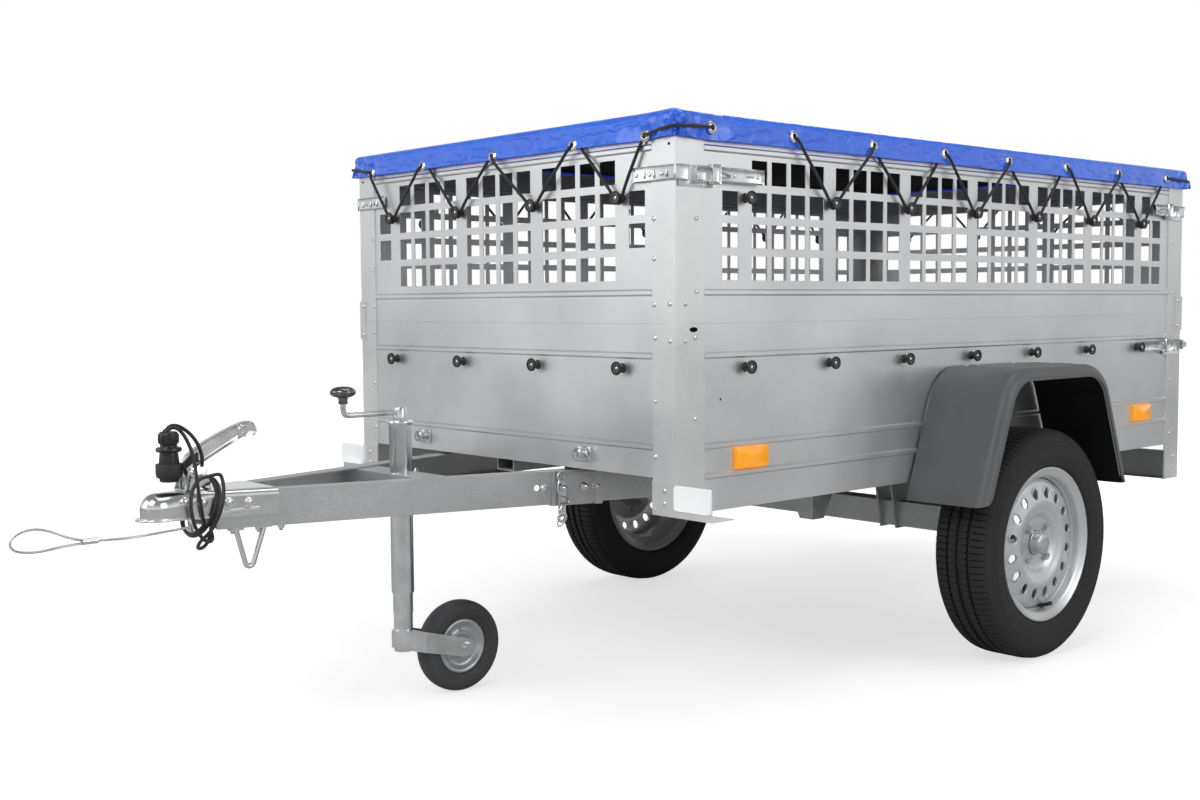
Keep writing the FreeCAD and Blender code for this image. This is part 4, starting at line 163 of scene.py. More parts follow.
class Finish:
    """A material made of nodes around one Principled shader."""

    def __init__(self, name: str, colour: Rgb, roughness: float, **fixed: Value) -> None:
        """Start a material.

        Args:
            name: Material name.
            colour: Base colour, linear.
            roughness: Roughness from 0 to 1.
            fixed: Other sockets by name, with an underscore for each space.
        """
        self.material = bpy.data.materials.new(name)
        self.material.use_nodes = True
        self.nodes = self.material.node_tree.nodes
        self.links = self.material.node_tree.links
        self.body = self.nodes["Principled BSDF"]
        self.colour, self.roughness = colour, roughness
        self.set("Base Color", colour)
        self.set("Roughness", roughness)
        for key, value in fixed.items():
            self.set(key.replace("_", " "), value)
        self.material.diffuse_color = (*colour, 1.0)

    def plug(self, socket: bpy.types.NodeSocket, value: Value) -> None:
        """Link a wire to a socket, or write a plain value on it.

        Args:
            socket: Input of a node.
            value: Wire to link, or number or colour to write.
        """
        if isinstance(value, Wire):
            self.links.new(value.socket, socket)
        elif isinstance(value, (tuple, list)) and len(value) == 3 and socket.type == "RGBA":
            socket.default_value = (*value, 1.0)
        else:
            socket.default_value = value

    def set(self, name: str, value: Value) -> None:
        """Give one socket of the Principled shader its value or wire."""
        self.plug(self.body.inputs[name], value)

    def node(self, kind: str, settings: dict | None = None,
             inputs: dict | None = None, output: int | str = 0) -> Wire:
        """Add a node.

        Args:
            kind: Node type.
            settings: Attributes that are set before the sockets; "stops" fills a ramp.
            inputs: Values or wires by socket name or index.
            output: Which socket is returned.

        Returns:
            The chosen output.
        """
        made = self.nodes.new(kind)
        for key, value in (settings or {}).items():
            if key == "stops":
                ramp = made.color_ramp.elements
                while len(ramp) < len(value):
                    ramp.new(0.5)
                for stop, (place, shade) in zip(ramp, value):
                    stop.position = place
                    stop.color = (*shade, 1.0)
            else:
                setattr(made, key, value)
        for key, value in (inputs or {}).items():
            self.plug(made.inputs[key], value)
        return Wire(self, made.outputs[output])

    def place(self, scale: Point = (1, 1, 1)) -> Wire:
        """Return Object coordinates, stretched by a scale."""
        spot = self.node("ShaderNodeTexCoord", output="Object")
        return self.node("ShaderNodeMapping", {}, {"Vector": spot, "Scale": scale})

    def axis(self, index: int, vector: Wire | None = None) -> Wire:
        """Return one coordinate of a vector, or of the Object coordinates."""
        vector = vector or self.node("ShaderNodeTexCoord", output="Object")
        return self.node("ShaderNodeSeparateXYZ", {}, {0: vector}, index)

    def noise(self, scale: float, detail: float = 3.0, stretch: Point = (1, 1, 1)) -> Wire:
        """Return noise from 0 to 1 on Object coordinates, at features of 1/scale metres."""
        return self.node("ShaderNodeTexNoise", {}, {"Vector": self.place(
            stretch), "Scale": scale, "Detail": detail, "Roughness": NOISE_ROUGHNESS})

    def cells(self, scale: float, feature: str = "F1", output: str = "Distance") -> Wire:
        """Return a Voronoi pattern on Object coordinates."""
        return self.node("ShaderNodeTexVoronoi", {"feature": feature},
                         {"Vector": self.place(), "Scale": scale}, output)

    def blend(self, factor: Value, first: Value, second: Value) -> Wire:
        """Mix two colours by a factor."""
        return self.node("ShaderNodeMix", {"data_type": "RGBA"},
                         {0: factor, 6: first, 7: second}, 2)

    def bump(self, height: Wire, depth: float, strength: float = 1.0) -> None:
        """Raise the surface by a height of 0 to 1 times depth metres."""
        self.set("Normal", self.node("ShaderNodeBump", {}, {
            "Height": height, "Distance": depth, "Strength": strength}))

    def layered_bump(self, layers: Sequence[tuple[Wire, float]]) -> None:
        """Raise the surface by several heights, each times its own depth in metres.

        Args:
            layers: Heights from 0 to 1, each with its depth in metres.
        """
        total = layers[0][0] * (layers[0][1] * 1000)
        for height, depth in layers[1:]:
            total = total + height * (depth * 1000)
        self.bump(total, 0.001)

    def tones(self, pattern: Wire, low: float, high: float, dark: float,
              light: float) -> None:
        """Vary the base colour over a pattern.

        Args:
            pattern: Pattern that the colour follows.
            low: Value of the pattern that gives the dark tone.
            high: Value of the pattern that gives the light tone.
            dark: Factor of the colour at low.
            light: Factor of the colour at high.
        """
        self.set("Base Color", self.blend(pattern.band(low, high), tint(self.colour, dark),
                                          tint(self.colour, light)))

    def sheen(self, pattern: Wire, low: float, high: float, less: float,
              more: float) -> None:
        """Vary the roughness over a pattern.

        Args:
            pattern: Pattern that the roughness follows.
            low: Value of the pattern that gives the smoothest spot.
            high: Value of the pattern that gives the roughest spot.
            less: How much smoother than the finish it is at low.
            more: How much rougher than the finish it is at high.
        """
        self.set("Roughness", pattern.band(low, high, self.roughness - less,
                                           self.roughness + more))


def tint(colour: Rgb, factor: float) -> Rgb:
    """Return a colour made lighter or darker."""
    return tuple(min(1.0, part * factor) for part in colour)


class Grain(Enum):
    """Way that a rolled sheet's fine lines run."""

    ALONG = (3.0, 60.0, 60.0)
    UPRIGHT = (60.0, 60.0, 3.0)


@dataclass(frozen=True)
class ZincSheet:
    """Rolled galvanised sheet: soft clouds, fine speckle, faint rolling lines."""

    name: str
    colour: Rgb = (0.60, 0.615, 0.625)
    roughness: float = 0.36
    metallic: float = 0.9
    grain: Grain = Grain.ALONG
    clouds: float = 0.10
    speckle: float = 0.05

    def build(self) -> bpy.types.Material:
        """Make the material.

        Returns:
            The material.
        """
        coat = Finish(self.name, self.colour, self.roughness, Metallic=self.metallic)
        cloud = coat.noise(3.2, 4.0)
        speck = coat.noise(900.0, 2.0)
        lines = coat.noise(9.0, 3.0, self.grain.value)
        tone = (cloud - 0.5) * (2 * self.clouds) + (speck - 0.5) * (2 * self.speckle) \
            + (lines - 0.5) * 0.05 + 0.5
        coat.tones(tone, 0.3, 0.7, 0.78, 1.16)
        coat.sheen(cloud, 0.3, 0.7, 0.06, 0.08)
        coat.layered_bump([(speck, 0.00003), (lines, 0.00005)])
        return coat.material


@dataclass(frozen=True)
class DippedZinc:
    """Hot-dipped steel: crystals of zinc, runs and dull patches."""

    name: str
    colour: Rgb = (0.50, 0.515, 0.52)
    roughness: float = 0.46
    metallic: float = 0.85
    crystal: float = 55.0
    contrast: float = 0.16

    def build(self) -> bpy.types.Material:
        """Make the material.

        Returns:
            The material.
        """
        coat = Finish(self.name, self.colour, self.roughness, Metallic=self.metallic)
        flake = coat.axis(0, coat.cells(self.crystal, output="Color"))
        cloud = coat.noise(6.0, 4.0)
        speck = coat.noise(700.0, 2.0)
        tone = flake * self.contrast + (cloud - 0.5) * 0.5 + (speck - 0.5) * 0.12 + 0.42
        coat.tones(tone, 0.15, 0.85, 0.68, 1.22)
        coat.sheen(flake, 0.0, 1.0, 0.06, 0.09)
        coat.layered_bump([(cloud, 0.0003), (speck, 0.00003)])
        return coat.material


@dataclass(frozen=True)
class Plating:
    """Bright zinc or chrome on a small fitting, with faint ripples and rub marks."""

    name: str
    colour: Rgb = (0.74, 0.75, 0.76)
    roughness: float = 0.24
    ripple: float = 0.0002
    ripple_scale: float = 40.0
    marks: float = 0.10

    def build(self) -> bpy.types.Material:
        """Make the material.

        Returns:
            The material.
        """
        coat = Finish(self.name, self.colour, self.roughness, Metallic=1.0)
        wave = coat.noise(self.ripple_scale, 3.0)
        fine = coat.noise(400.0, 2.0)
        coat.tones(wave, 0.3, 0.75, 0.82, 1.08)
        coat.sheen(fine * 0.6 + wave * 0.4, 0.35, 0.65, self.marks / 2, self.marks)
        coat.layered_bump([(wave, self.ripple), (fine, 0.00002)])
        return coat.material


@dataclass(frozen=True)
class CoatedCloth:
    """PVC-coated cover cloth: fine weave under a glossy skin, soft creases, a faint painted glow.
    """

    name: str
    colour: Rgb = (0.012, 0.10, 0.66)
    roughness: float = 0.24
    thread: float = 0.0011

    def build(self) -> bpy.types.Material:
        """Make the material.

        Returns:
            The material.
        """
        # The emission is painted light: the cloth gives off a faint blue glow though it is no
        # lamp.
        cloth = Finish(self.name, self.colour, self.roughness, Coat_Weight=0.8,
                       Coat_Roughness=0.10, Specular_IOR_Level=0.55,
                       Emission_Color=(0.0, 0.07, 1.0), Emission_Strength=0.10)
        step = 2 * math.pi / self.thread
        spot = cloth.place()
        weave = (cloth.axis(0, spot) * step).wave() * (cloth.axis(1, spot) * step).wave() \
            + (cloth.axis(2, spot) * step).wave() * 0.5
        crease = cloth.noise(13.0, 4.0, (1.0, 1.0, 1.6))
        broad = cloth.noise(3.0, 2.0)
        swell = cloth.noise(9.0, 2.0, (1.0, 1.0, 2.4))
        ridge = ((swell - 0.5) ** 2.0).band(0.0, 0.007, 1.0, 0.0)
        cloth.tones(broad, 0.3, 0.7, 0.86, 1.12)
        cloth.sheen(crease, 0.3, 0.7, 0.08, 0.12)
        cloth.layered_bump([(weave, 0.00004), (crease, 0.0060), (ridge, 0.0022)])
        return cloth.material


@dataclass(frozen=True)
class Rubber:
    """Matt black rubber or plastic with a fine grain and a little dust."""

    name: str
    colour: Rgb = (0.022, 0.022, 0.023)
    roughness: float = 0.5
    grain: float = 900.0
    depth: float = 0.00006
    dust: float = 0.25
    specular: float = 0.5

    def build(self) -> bpy.types.Material:
        """Make the material.

        Returns:
            The material.
        """
        skin = Finish(self.name, self.colour, self.roughness,
                      Specular_IOR_Level=self.specular)
        fine = skin.noise(self.grain, 2.0)
        broad = skin.noise(14.0, 4.0)
        skin.tones(broad, 0.35, 0.75, 1.0, 1 + self.dust * 2)
        skin.sheen(broad, 0.3, 0.7, 0.05, 0.1)
        skin.bump(fine, self.depth)
        return skin.material


@dataclass(frozen=True)
class Braid:
    """Woven elastic cord: crossed threads around a rubber core."""

    name: str
    colour: Rgb = (0.018, 0.018, 0.02)

    def build(self) -> bpy.types.Material:
        """Make the material.

        Returns:
            The material.
        """
        skin = Finish(self.name, self.colour, 0.78, Sheen_Weight=0.25)
        spot = skin.place()
        slope = skin.axis(0, spot) + skin.axis(1, spot)
        cross = ((slope + skin.axis(2, spot)) * 2600.0).wave() \
            * ((slope - skin.axis(2, spot)) * 2600.0).wave()
        skin.tones(cross, -0.4, 0.8, 0.5, 2.2)
        skin.bump(cross, 0.0002)
        return skin.material


@dataclass(frozen=True)
class Lacquer:
    """Sprayed paint with a light orange peel and, if wanted, metal flakes."""

    name: str
    colour: Rgb
    roughness: float = 0.3
    metallic: float = 0.0
    coat: float = 0.3

    def build(self) -> bpy.types.Material:
        """Make the material.

        Returns:
            The material.
        """
        paint = Finish(self.name, self.colour, self.roughness, Metallic=self.metallic,
                       Coat_Weight=self.coat, Coat_Roughness=0.15)
        peel = paint.noise(320.0, 2.0)
        dirt = paint.noise(11.0, 5.0)
        flake = paint.cells(2500.0)
        paint.tones(dirt * 0.7 + flake * 0.3, 0.25, 0.7, 0.88, 1.07)
        paint.sheen(dirt, 0.3, 0.7, 0.04, 0.08)
        paint.bump(peel, 0.00004)
        return paint.material


@dataclass(frozen=True)
class GrainedPlastic:
    """Thermoformed sheet with a leather-like grain."""

    name: str
    colour: Rgb = (0.125, 0.128, 0.134)
    roughness: float = 0.42
    grain: float = 650.0

    def build(self) -> bpy.types.Material:
        """Make the material.

        Returns:
            The material.
        """
        skin = Finish(self.name, self.colour, self.roughness, Specular_IOR_Level=0.5)
        pebble = skin.cells(self.grain)
        broad = skin.noise(7.0, 4.0)
        skin.tones(broad, 0.3, 0.7, 0.9, 1.18)
        skin.sheen(broad, 0.3, 0.7, 0.04, 0.08)
        skin.layered_bump([(pebble, 0.00012), (broad, 0.0004)])
        return skin.material


@dataclass(frozen=True)
class Prisms:
    """Reflector lens: a honeycomb of small prisms under a clear face, with a painted glow."""

    name: str
    colour: Rgb
    cell: float = 420.0
    # Strength of a painted glow: the lens gives off light of its own colour though no lamp is lit.
    glow: float = 0.0
    contrast: float = 0.35

    def build(self) -> bpy.types.Material:
        """Make the material.

        Returns:
            The material.
        """
        # The emission is painted light: the lens glows by glow times its colour.
        lens = Finish(self.name, self.colour, 0.16, Coat_Weight=0.8, Coat_Roughness=0.04,
                      Emission_Color=self.colour, Emission_Strength=self.glow)
        comb = lens.cells(self.cell, "DISTANCE_TO_EDGE")
        facet = lens.axis(0, lens.cells(self.cell, output="Color"))
        edge = comb.band(0.0, 0.12)
        mixed = edge * (1 - self.contrast) + facet * self.contrast
        lens.set("Base Color", lens.blend(mixed, tint(self.colour, 0.55),
                                          tint(self.colour, 1.1)))
        lens.bump(comb, 0.0006, 0.5)
        return lens.material


@dataclass(frozen=True)
class Plywood:
    """Film-faced board with a fine pressed grid."""

    name: str
    colour: Rgb = (0.10, 0.055, 0.032)

    def build(self) -> bpy.types.Material:
        """Make the material.

        Returns:
            The material.
        """
        board = Finish(self.name, self.colour, 0.42)
        streak = board.noise(7.0, 6.0, (1.0, 9.0, 9.0))
        spot = board.place()
        grid = (board.axis(0, spot) * 2100.0).wave().most(
            (board.axis(1, spot) * 2100.0).wave())
        board.tones(streak, 0.3, 0.7, 0.7, 1.5)
        board.sheen(streak, 0.3, 0.7, 0.06, 0.10)
        board.layered_bump([(grid, 0.0001), (streak, 0.0001)])
        return board.material


class Shade(Enum):
    """The finishes that the trailer uses, by the name of the part they lie on."""

    PANEL = ZincSheet("panel_sheet", (0.83, 0.84, 0.85), 0.36, 0.88, Grain.ALONG, 0.20, 0.12)
    POST = ZincSheet("post_sheet", (0.86, 0.87, 0.88), 0.40, 0.80, Grain.UPRIGHT, 0.30, 0.22)
    FRAME = DippedZinc("dipped_frame")
    BRACKET = DippedZinc("dipped_bracket", (0.62, 0.63, 0.64), 0.38, 0.9, 90.0, 0.12)
    DRAWBAR = DippedZinc("dipped_drawbar", (0.60, 0.61, 0.615), 0.40, 0.88, 260.0, 0.14)
    ZINC = Plating("bright_zinc_plate", (0.80, 0.81, 0.82), 0.20, 0.00005, 30.0, 0.08)
    TUBE = Plating("bright_tube", (0.78, 0.79, 0.80), 0.18, 0.00006, 25.0, 0.06)
    CHROME = Plating("polished_coupling", (0.88, 0.885, 0.89), 0.17, 0.00010, 30.0, 0.06)
    BOLT = Plating("bolt_zinc", (0.84, 0.84, 0.83), 0.24, 0.00008, 120.0, 0.10)
    ROPE = Plating("rope_wire", (0.74, 0.75, 0.76), 0.34, 0.0001, 300.0, 0.1)
    KNOB_STEEL = Plating("dark_chrome_knob", (0.20, 0.20, 0.21), 0.14, 0.0001, 30.0, 0.05)
    COVER = CoatedCloth("blue_cover_cloth", (0.012, 0.17, 1.0))
    ELASTIC = Braid("black_elastic_braid")
    CABLE = Rubber("cable_sheath", (0.020, 0.020, 0.022), 0.38, 1200.0, 0.00002, 0.2)
    BUFFER = Rubber("buffer_rubber")
    PLASTIC = Rubber("black_moulding", (0.020, 0.020, 0.022), 0.26, 700.0, 0.00008, 0.2)
    KNOB = Rubber("knob_plastic", (0.022, 0.022, 0.023), 0.35, 700.0, 0.00004, 0.2)
    TYRE = Rubber("tyre_rubber", (0.033, 0.033, 0.034), 0.60, 500.0, 0.0001, 0.45, 0.4)
    SMALL_TYRE = Rubber("small_tyre_rubber", (0.062, 0.063, 0.066), 0.55, 500.0, 0.0001, 0.3)
    RIM = Lacquer("silver_lacquer", (0.72, 0.73, 0.745), 0.30, 0.55, 0.25)
    HUB = Plating("hub_zinc", (0.66, 0.67, 0.68), 0.3, 0.0002, 120.0, 0.12)
    BLACK = Lacquer("black_powder_coat", (0.022, 0.022, 0.023), 0.45, 0.0, 0.0)
    GUARD = GrainedPlastic("grey_guard")
    # Near-black painted shade: sheets inside the mudguards and under the cover's top, on grey
    # plastic and blue cloth.
    LINING = Rubber("guard_inside", (0.012, 0.012, 0.013), 0.75, 500.0, 0.0001, 0.3, 0.2)
    # The rims' lighter grey is a painted highlight along the mudguard's lip.
    GUARD_EDGE = GrainedPlastic("guard_edge", (0.26, 0.265, 0.27), 0.3, 900.0)
    SMALL_RIM = Lacquer("grey_wheel_disc", (0.62, 0.63, 0.64), 0.28, 0.5, 0.2)
    # The fourth value of each prism finish is its painted glow, light that the unlit lenses give
    # off.
    WHITE = Prisms("white_prisms", (0.90, 0.92, 0.93), 300.0, 0.40, 0.22)
    AMBER = Prisms("amber_prisms", (1.0, 0.36, 0.0), 260.0, 0.50, 0.2)
    RED = Prisms("red_prisms", (0.60, 0.008, 0.008), 260.0, 0.12, 0.3)
    BOARD = Plywood("faced_board")
    EYELET = Plating("eyelet_nickel", (0.78, 0.79, 0.80), 0.26, 0.0001, 90.0, 0.06)
    # Near-black painted shade that stands for holes and slots which are not cut.
    DARK = Rubber("dark_hole", (0.004, 0.004, 0.004), 0.8, 400.0, 0.00002, 0.1, 0.1)
    # A grey ring on each black knob's face: a painted highlight of its rim.
    GREY_RING = Rubber("knob_ring", (0.14, 0.143, 0.148), 0.4, 700.0, 0.00003, 0.2)

    @property
    def material(self) -> bpy.types.Material:
        """Return the finish's material, made when it is first asked for."""
        return bpy.data.materials.get(self.value.name) or self.value.build()


NODE_SHADES: dict[Shade, tuple[str, ...]] = {
    Shade.PANEL: ("side_panel_left", "side_panel_right", "front_panel", "mesh_panel_left",
                  "mesh_panel_right", "mesh_panel_front", "mesh_panel_rear",
                  "tailgate_panel"),
    Shade.POST: ("corner_posts", "extension_posts", "post_joiners", "marker_brackets"),
    Shade.FRAME: ("underframe", "axle_beam", "lamp_bar", "tilt_hinge_brackets"),
    Shade.DRAWBAR: ("drawbar_arm_left", "drawbar_arm_right", "drawbar_crossbar"),
    Shade.BRACKET: ("arm_brackets",),
    Shade.ZINC: ("corner_latches", "tilt_lock_hooks", "tilt_lock_straps", "support_hook",
                 "jockey_fork", "rope_ferrule", "jack_stem", "jack_crank"),
    Shade.TUBE: ("jack_tube",),
    Shade.CHROME: ("coupling_housing", "coupling_handle"),
    Shade.ROPE: ("safety_rope", "rope_loop"),
    Shade.COVER: ("tarpaulin", "cover_skirt"),
    Shade.ELASTIC: ("elastic_lacing",),
    Shade.CABLE: ("cable_front", "cable_rear", "cable_coil", "cable_loop"),
    Shade.BUFFER: ("rear_buffers",),
    Shade.PLASTIC: ("connector_plug", "plug_holder"),
    Shade.KNOB: ("lace_knobs", "tailgate_knobs"),
    Shade.TYRE: ("tyre_left", "tyre_right"),
    Shade.SMALL_TYRE: ("jockey_tyre",),
    Shade.SMALL_RIM: ("jockey_rim",),
    Shade.RIM: ("rim_left", "rim_right"),
    Shade.HUB: ("hub_left", "hub_right"),
    Shade.BLACK: ("swing_arms",),
    Shade.GUARD: ("mudguard_left", "mudguard_right"),
    Shade.WHITE: ("white_reflectors",),
    Shade.AMBER: ("side_reflectors",),
    Shade.RED: ("rear_lamps",),
    Shade.BOARD: ("load_floor",),
}


def dress_frame() -> None:
    """Give every CAD node the finish of its real part."""
    for shade, names in NODE_SHADES.items():
        for name in names:
            item = bpy.data.objects.get(name)
            if item is None:
                continue
            item.data.materials.clear()
            item.data.materials.append(shade.material)
        log.info("%s on %d nodes", shade.value.name, len(names))


# Modelling


ACROSS = Matrix.Scale(-1, 4, LEFT)


class Bench:
    """Modelling steps done as by hand, each with Blender's own operators."""

    @staticmethod
    def hold(*items: bpy.types.Object) -> None:
        """Select only these objects, with the first one active.

        Args:
            items: Objects to select.
        """
        if bpy.context.mode != "OBJECT":
            bpy.ops.object.mode_set(mode="OBJECT")
        bpy.ops.object.select_all(action="DESELECT")
        for item in items:
            item.select_set(True)
        if items:
            bpy.context.view_layer.objects.active = items[0]

    @staticmethod
    def made(name: str) -> bpy.types.Object:
        """Name the object that an operator has just added.

        Args:
            name: Its name.

        Returns:
            The object.
        """
        item = bpy.context.view_layer.objects.active
        item.name = name
        item.data.name = name
        return item

    @classmethod
    def settle(cls, item: bpy.types.Object) -> bpy.types.Object:
        """Write the object's place, turn and scale into its mesh.

        Args:
            item: Object to work on.

        Returns:
            The same object.
        """
        cls.hold(item)
        bpy.ops.object.transform_apply(location=True, rotation=True, scale=True)
        return item

    @classmethod
    def box(cls, name: str, low: Point, high: Point) -> bpy.types.Object:
        """Add a block between two corners.

        Args:
            name: Object name.
            low: Lowest corner.
            high: Highest corner.

        Returns:
            The block.
        """
        cls.hold()
        middle = [(a + b) / 2 for a, b in zip(low, high)]
        bpy.ops.mesh.primitive_cube_add(size=1, location=middle)
        item = cls.made(name)
        item.scale = [b - a for a, b in zip(low, high)]
        return cls.settle(item)

    @classmethod
    def rod(cls, name: str, radius: float, start: Point, end: Point,
            sides: int = 24) -> bpy.types.Object:
        """Add a round bar between two points.

        Args:
            name: Object name.
            radius: Radius of the bar.
            start: Middle of one end.
            end: Middle of the other end.
            sides: Faces round it.

        Returns:
            The bar.
        """
        run = Vector(end) - Vector(start)
        cls.hold()
        bpy.ops.mesh.primitive_cylinder_add(
            vertices=sides, radius=radius, depth=run.length,
            location=(Vector(start) + Vector(end)) / 2,
            rotation=run.to_track_quat("Z", "Y").to_euler())
        return cls.settle(cls.made(name))

    @classmethod
    def chain(cls, name: str, points: Sequence[Point]) -> bpy.types.Object:
        """Draw a line of edges by extruding one point along the others.

        Args:
            name: Object name.
            points: Places from one end to the other.

        Returns:
            The line, still in edit mode.
        """
        cls.hold()
        bpy.ops.mesh.primitive_plane_add(size=0.01, location=ORIGIN)
        item = cls.made(name)
        bpy.ops.object.mode_set(mode="EDIT")
        bpy.ops.mesh.select_mode(type="VERT")
        bpy.ops.mesh.select_all(action="SELECT")
        bpy.ops.mesh.merge(type="CENTER")
        bpy.ops.transform.translate(value=points[0])
        for before, after in zip(points, points[1:]):
            step = Vector(after) - Vector(before)
            bpy.ops.mesh.extrude_region_move(TRANSFORM_OT_translate={"value": step})
        return item

    @classmethod
    def prism(cls, name: str, outline: Sequence[Point], depth: Point) -> bpy.types.Object:
        """Draw an outline, fill it and pull it out along depth.

        Args:
            name: Object name.
            outline: Corners in order.
            depth: Way and distance of the pull.

        Returns:
            The closed block.
        """
        item = cls.chain(name, outline)
        bpy.ops.mesh.select_all(action="SELECT")
        bpy.ops.mesh.edge_face_add()
        bpy.ops.mesh.extrude_region_move(TRANSFORM_OT_translate={"value": depth})
        return cls.close(item)

    @classmethod
    def lathe(cls, name: str, outline: Sequence[Flat], sides: int, centre: Point = ORIGIN,
              along: Point = UP) -> bpy.types.Object:
        """Turn an outline of radius and height pairs about an axis.

        Args:
            name: Object name.
            outline: Radius and distance along the axis, from one end to the other.
            sides: Steps of a full turn.
            centre: Point on the axis where the distance is 0.
            along: Direction of the axis.

        Returns:
            The closed shell.
        """
        axis = Vector(along).normalized()
        side = axis.orthogonal().normalized()
        points = [Vector(centre) + side * r + axis * h for r, h in outline]
        item = cls.chain(name, points)
        bpy.ops.mesh.select_all(action="SELECT")
        bpy.ops.mesh.spin(steps=sides, angle=2 * math.pi, center=centre, axis=axis)
        return cls.close(item)

    @classmethod
    def close(cls, item: bpy.types.Object) -> bpy.types.Object:
        """Merge doubled points, turn the faces outwards and leave edit mode.

        Args:
            item: Object to work on.

        Returns:
            The same object.
        """
        cls.edit(item)
        bpy.ops.mesh.select_mode(type="VERT")
        bpy.ops.mesh.select_all(action="SELECT")
        bpy.ops.mesh.remove_doubles(threshold=1e-6)
        bpy.ops.mesh.normals_make_consistent(inside=False)
        bpy.ops.object.mode_set(mode="OBJECT")
        return item

    @classmethod
    def edit(cls, item: bpy.types.Object) -> None:
        """Open an object in edit mode.

        Args:
            item: Object to work on.
        """
        if bpy.context.mode != "OBJECT":
            bpy.ops.object.mode_set(mode="OBJECT")
        cls.hold(item)
        bpy.ops.object.mode_set(mode="EDIT")

    @classmethod
    def pick(cls, item: bpy.types.Object, kind: str, wanted: Pick) -> int:
        """Select the faces or the edges that pass a test, in edit mode.

        Args:
            item: Object to work on.
            kind: FACE or EDGE.
            wanted: Test of a face's centre and normal, or of an edge's two ends.

        Returns:
            How many are selected.
        """
        cls.edit(item)
        bpy.ops.mesh.select_mode(type=kind)
        bpy.ops.mesh.select_all(action="DESELECT")
        mesh = bmesh.from_edit_mesh(item.data)
        if kind == "FACE":
            found = [part for part in mesh.faces
                     if wanted(part.calc_center_median(), part.normal)]
        else:
            found = [part for part in mesh.edges
                     if wanted(part.verts[0].co, part.verts[1].co)]
        for part in found:
            part.select_set(True)
        bmesh.update_edit_mesh(item.data)
        return len(found)

    @classmethod
    def inset(cls, item: bpy.types.Object, wanted: Pick, rim: float, depth: float) -> None:
        """Inset the picked faces by rim and push them in by depth.

        Args:
            item: Object to work on.
            wanted: Test of a face's centre and normal.
            rim: Width that is left round each face.
            depth: How far the face goes in.
        """
        if cls.pick(item, "FACE", wanted):
            bpy.ops.mesh.inset(thickness=rim, depth=-depth, use_even_offset=True)
        bpy.ops.object.mode_set(mode="OBJECT")

    @classmethod
    def modify(cls, item: bpy.types.Object, kind: str, **settings: object) -> bpy.types.Object:
        """Add a modifier with settings and apply it.

        Args:
            item: Object to work on.
            kind: Type of modifier.
            settings: Its settings by name.

        Returns:
            The same object.
        """
        cls.hold(item)
        bpy.ops.object.modifier_add(type=kind)
        change = item.modifiers[-1]
        for key, value in settings.items():
            setattr(change, key, value)
        bpy.ops.object.modifier_apply(modifier=change.name)
        return item

    @classmethod
    def soften(cls, item: bpy.types.Object, width: float, segments: int = 2,
               angle: float = 35.0) -> bpy.types.Object:
        """Round the sharp edges of a piece.

        Args:
            item: Object to work on.
            width: Width of the rounding.
            segments: Steps of the rounding.
            angle: Edges sharper than this many degrees are rounded.

        Returns:
            The same object.
        """
        return cls.modify(item, "BEVEL", width=width, segments=segments,
                          limit_method="ANGLE", angle_limit=math.radians(angle),
                          use_clamp_overlap=True)

    @classmethod
    def smooth(cls, item: bpy.types.Object, angle: float = 40.0) -> bpy.types.Object:
        """Shade a piece smooth, with its sharp edges kept.

        Args:
            item: Object to work on.
            angle: Edges sharper than this many degrees stay sharp.

        Returns:
            The same object.
        """
        cls.hold(item)
        bpy.ops.object.shade_smooth_by_angle(angle=math.radians(angle))
        return item

    @staticmethod
    def curve(name: str, path: Sequence[Point], radius: float, sides: int, order: int,
              steps: int) -> bpy.types.Object:
        """Draw a line of round section along points.

        Args:
            name: Object name.
            path: Points that the line follows.
            radius: Radius of the section, or 0 for a bare line.
            sides: Bevel resolution of the section.
            order: How smoothly it runs near the points, or 0 for straight through them.
            steps: Points between two of the path's.

        Returns:
            The curve.
        """
        curve = bpy.data.curves.new(name, "CURVE")
        curve.dimensions = "3D"
        spline = curve.splines.new("NURBS" if order else "POLY")
        spline.points.add(len(path) - 1)
        for knot, place in zip(spline.points, path):
            knot.co = (*place, 1.0)
        if order:
            spline.order_u = min(order, len(path))
            spline.use_endpoint_u = True
            spline.resolution_u = steps
        curve.bevel_depth = radius
        curve.bevel_resolution = sides if radius else 0
        curve.use_fill_caps = bool(radius)
        item = bpy.data.objects.new(name, curve)
        bpy.context.scene.collection.objects.link(item)
        return item

    @classmethod
    def wire(cls, name: str, path: Sequence[Point], radius: float, sides: int = 2,
             order: int = 4) -> bpy.types.Object:
        """Bend a round wire along points.

        Args:
            name: Object name.
            path: Points that the wire follows.
            radius: Radius of the wire.
            sides: Bevel resolution of its section.
            order: How smoothly it runs near the points, or 0 for straight through them.

        Returns:
            The wire as a mesh with closed ends.
        """
        item = cls.curve(name, path, radius, sides, order, 5)
        cls.hold(item)
        bpy.ops.object.convert(target="MESH")
        return item

    @classmethod
    def cloth(cls, name: str, columns: int, rows: int,
              drape: Callable[[float, float], Point]) -> bpy.types.Object:
        """Lay a flat grid and drape each of its points.

        Args:
            name: Object name.
            columns: Squares along the sheet.
            rows: Squares across the sheet.
            drape: Turns a place of -0.5 to 0.5 along and across into a point.

        Returns:
            The draped sheet, one layer thick.
        """
        cls.hold()
        bpy.ops.mesh.primitive_grid_add(x_subdivisions=columns, y_subdivisions=rows, size=1)
        item = cls.made(name)
        for corner in item.data.vertices:
            corner.co = drape(corner.co.x, corner.co.y)
        item.data.update()
        return item

    @classmethod
    def join(cls, name: str, items: Sequence[bpy.types.Object]) -> bpy.types.Object:
        """Join several objects into one.

        Args:
            name: Object name.
            items: Objects, of which the first takes in the others.

        Returns:
            The joined object.
        """
        cls.hold(*items)
        if len(items) > 1:
            bpy.ops.object.join()
        items[0].name = name
        items[0].data.name = name
        return items[0]

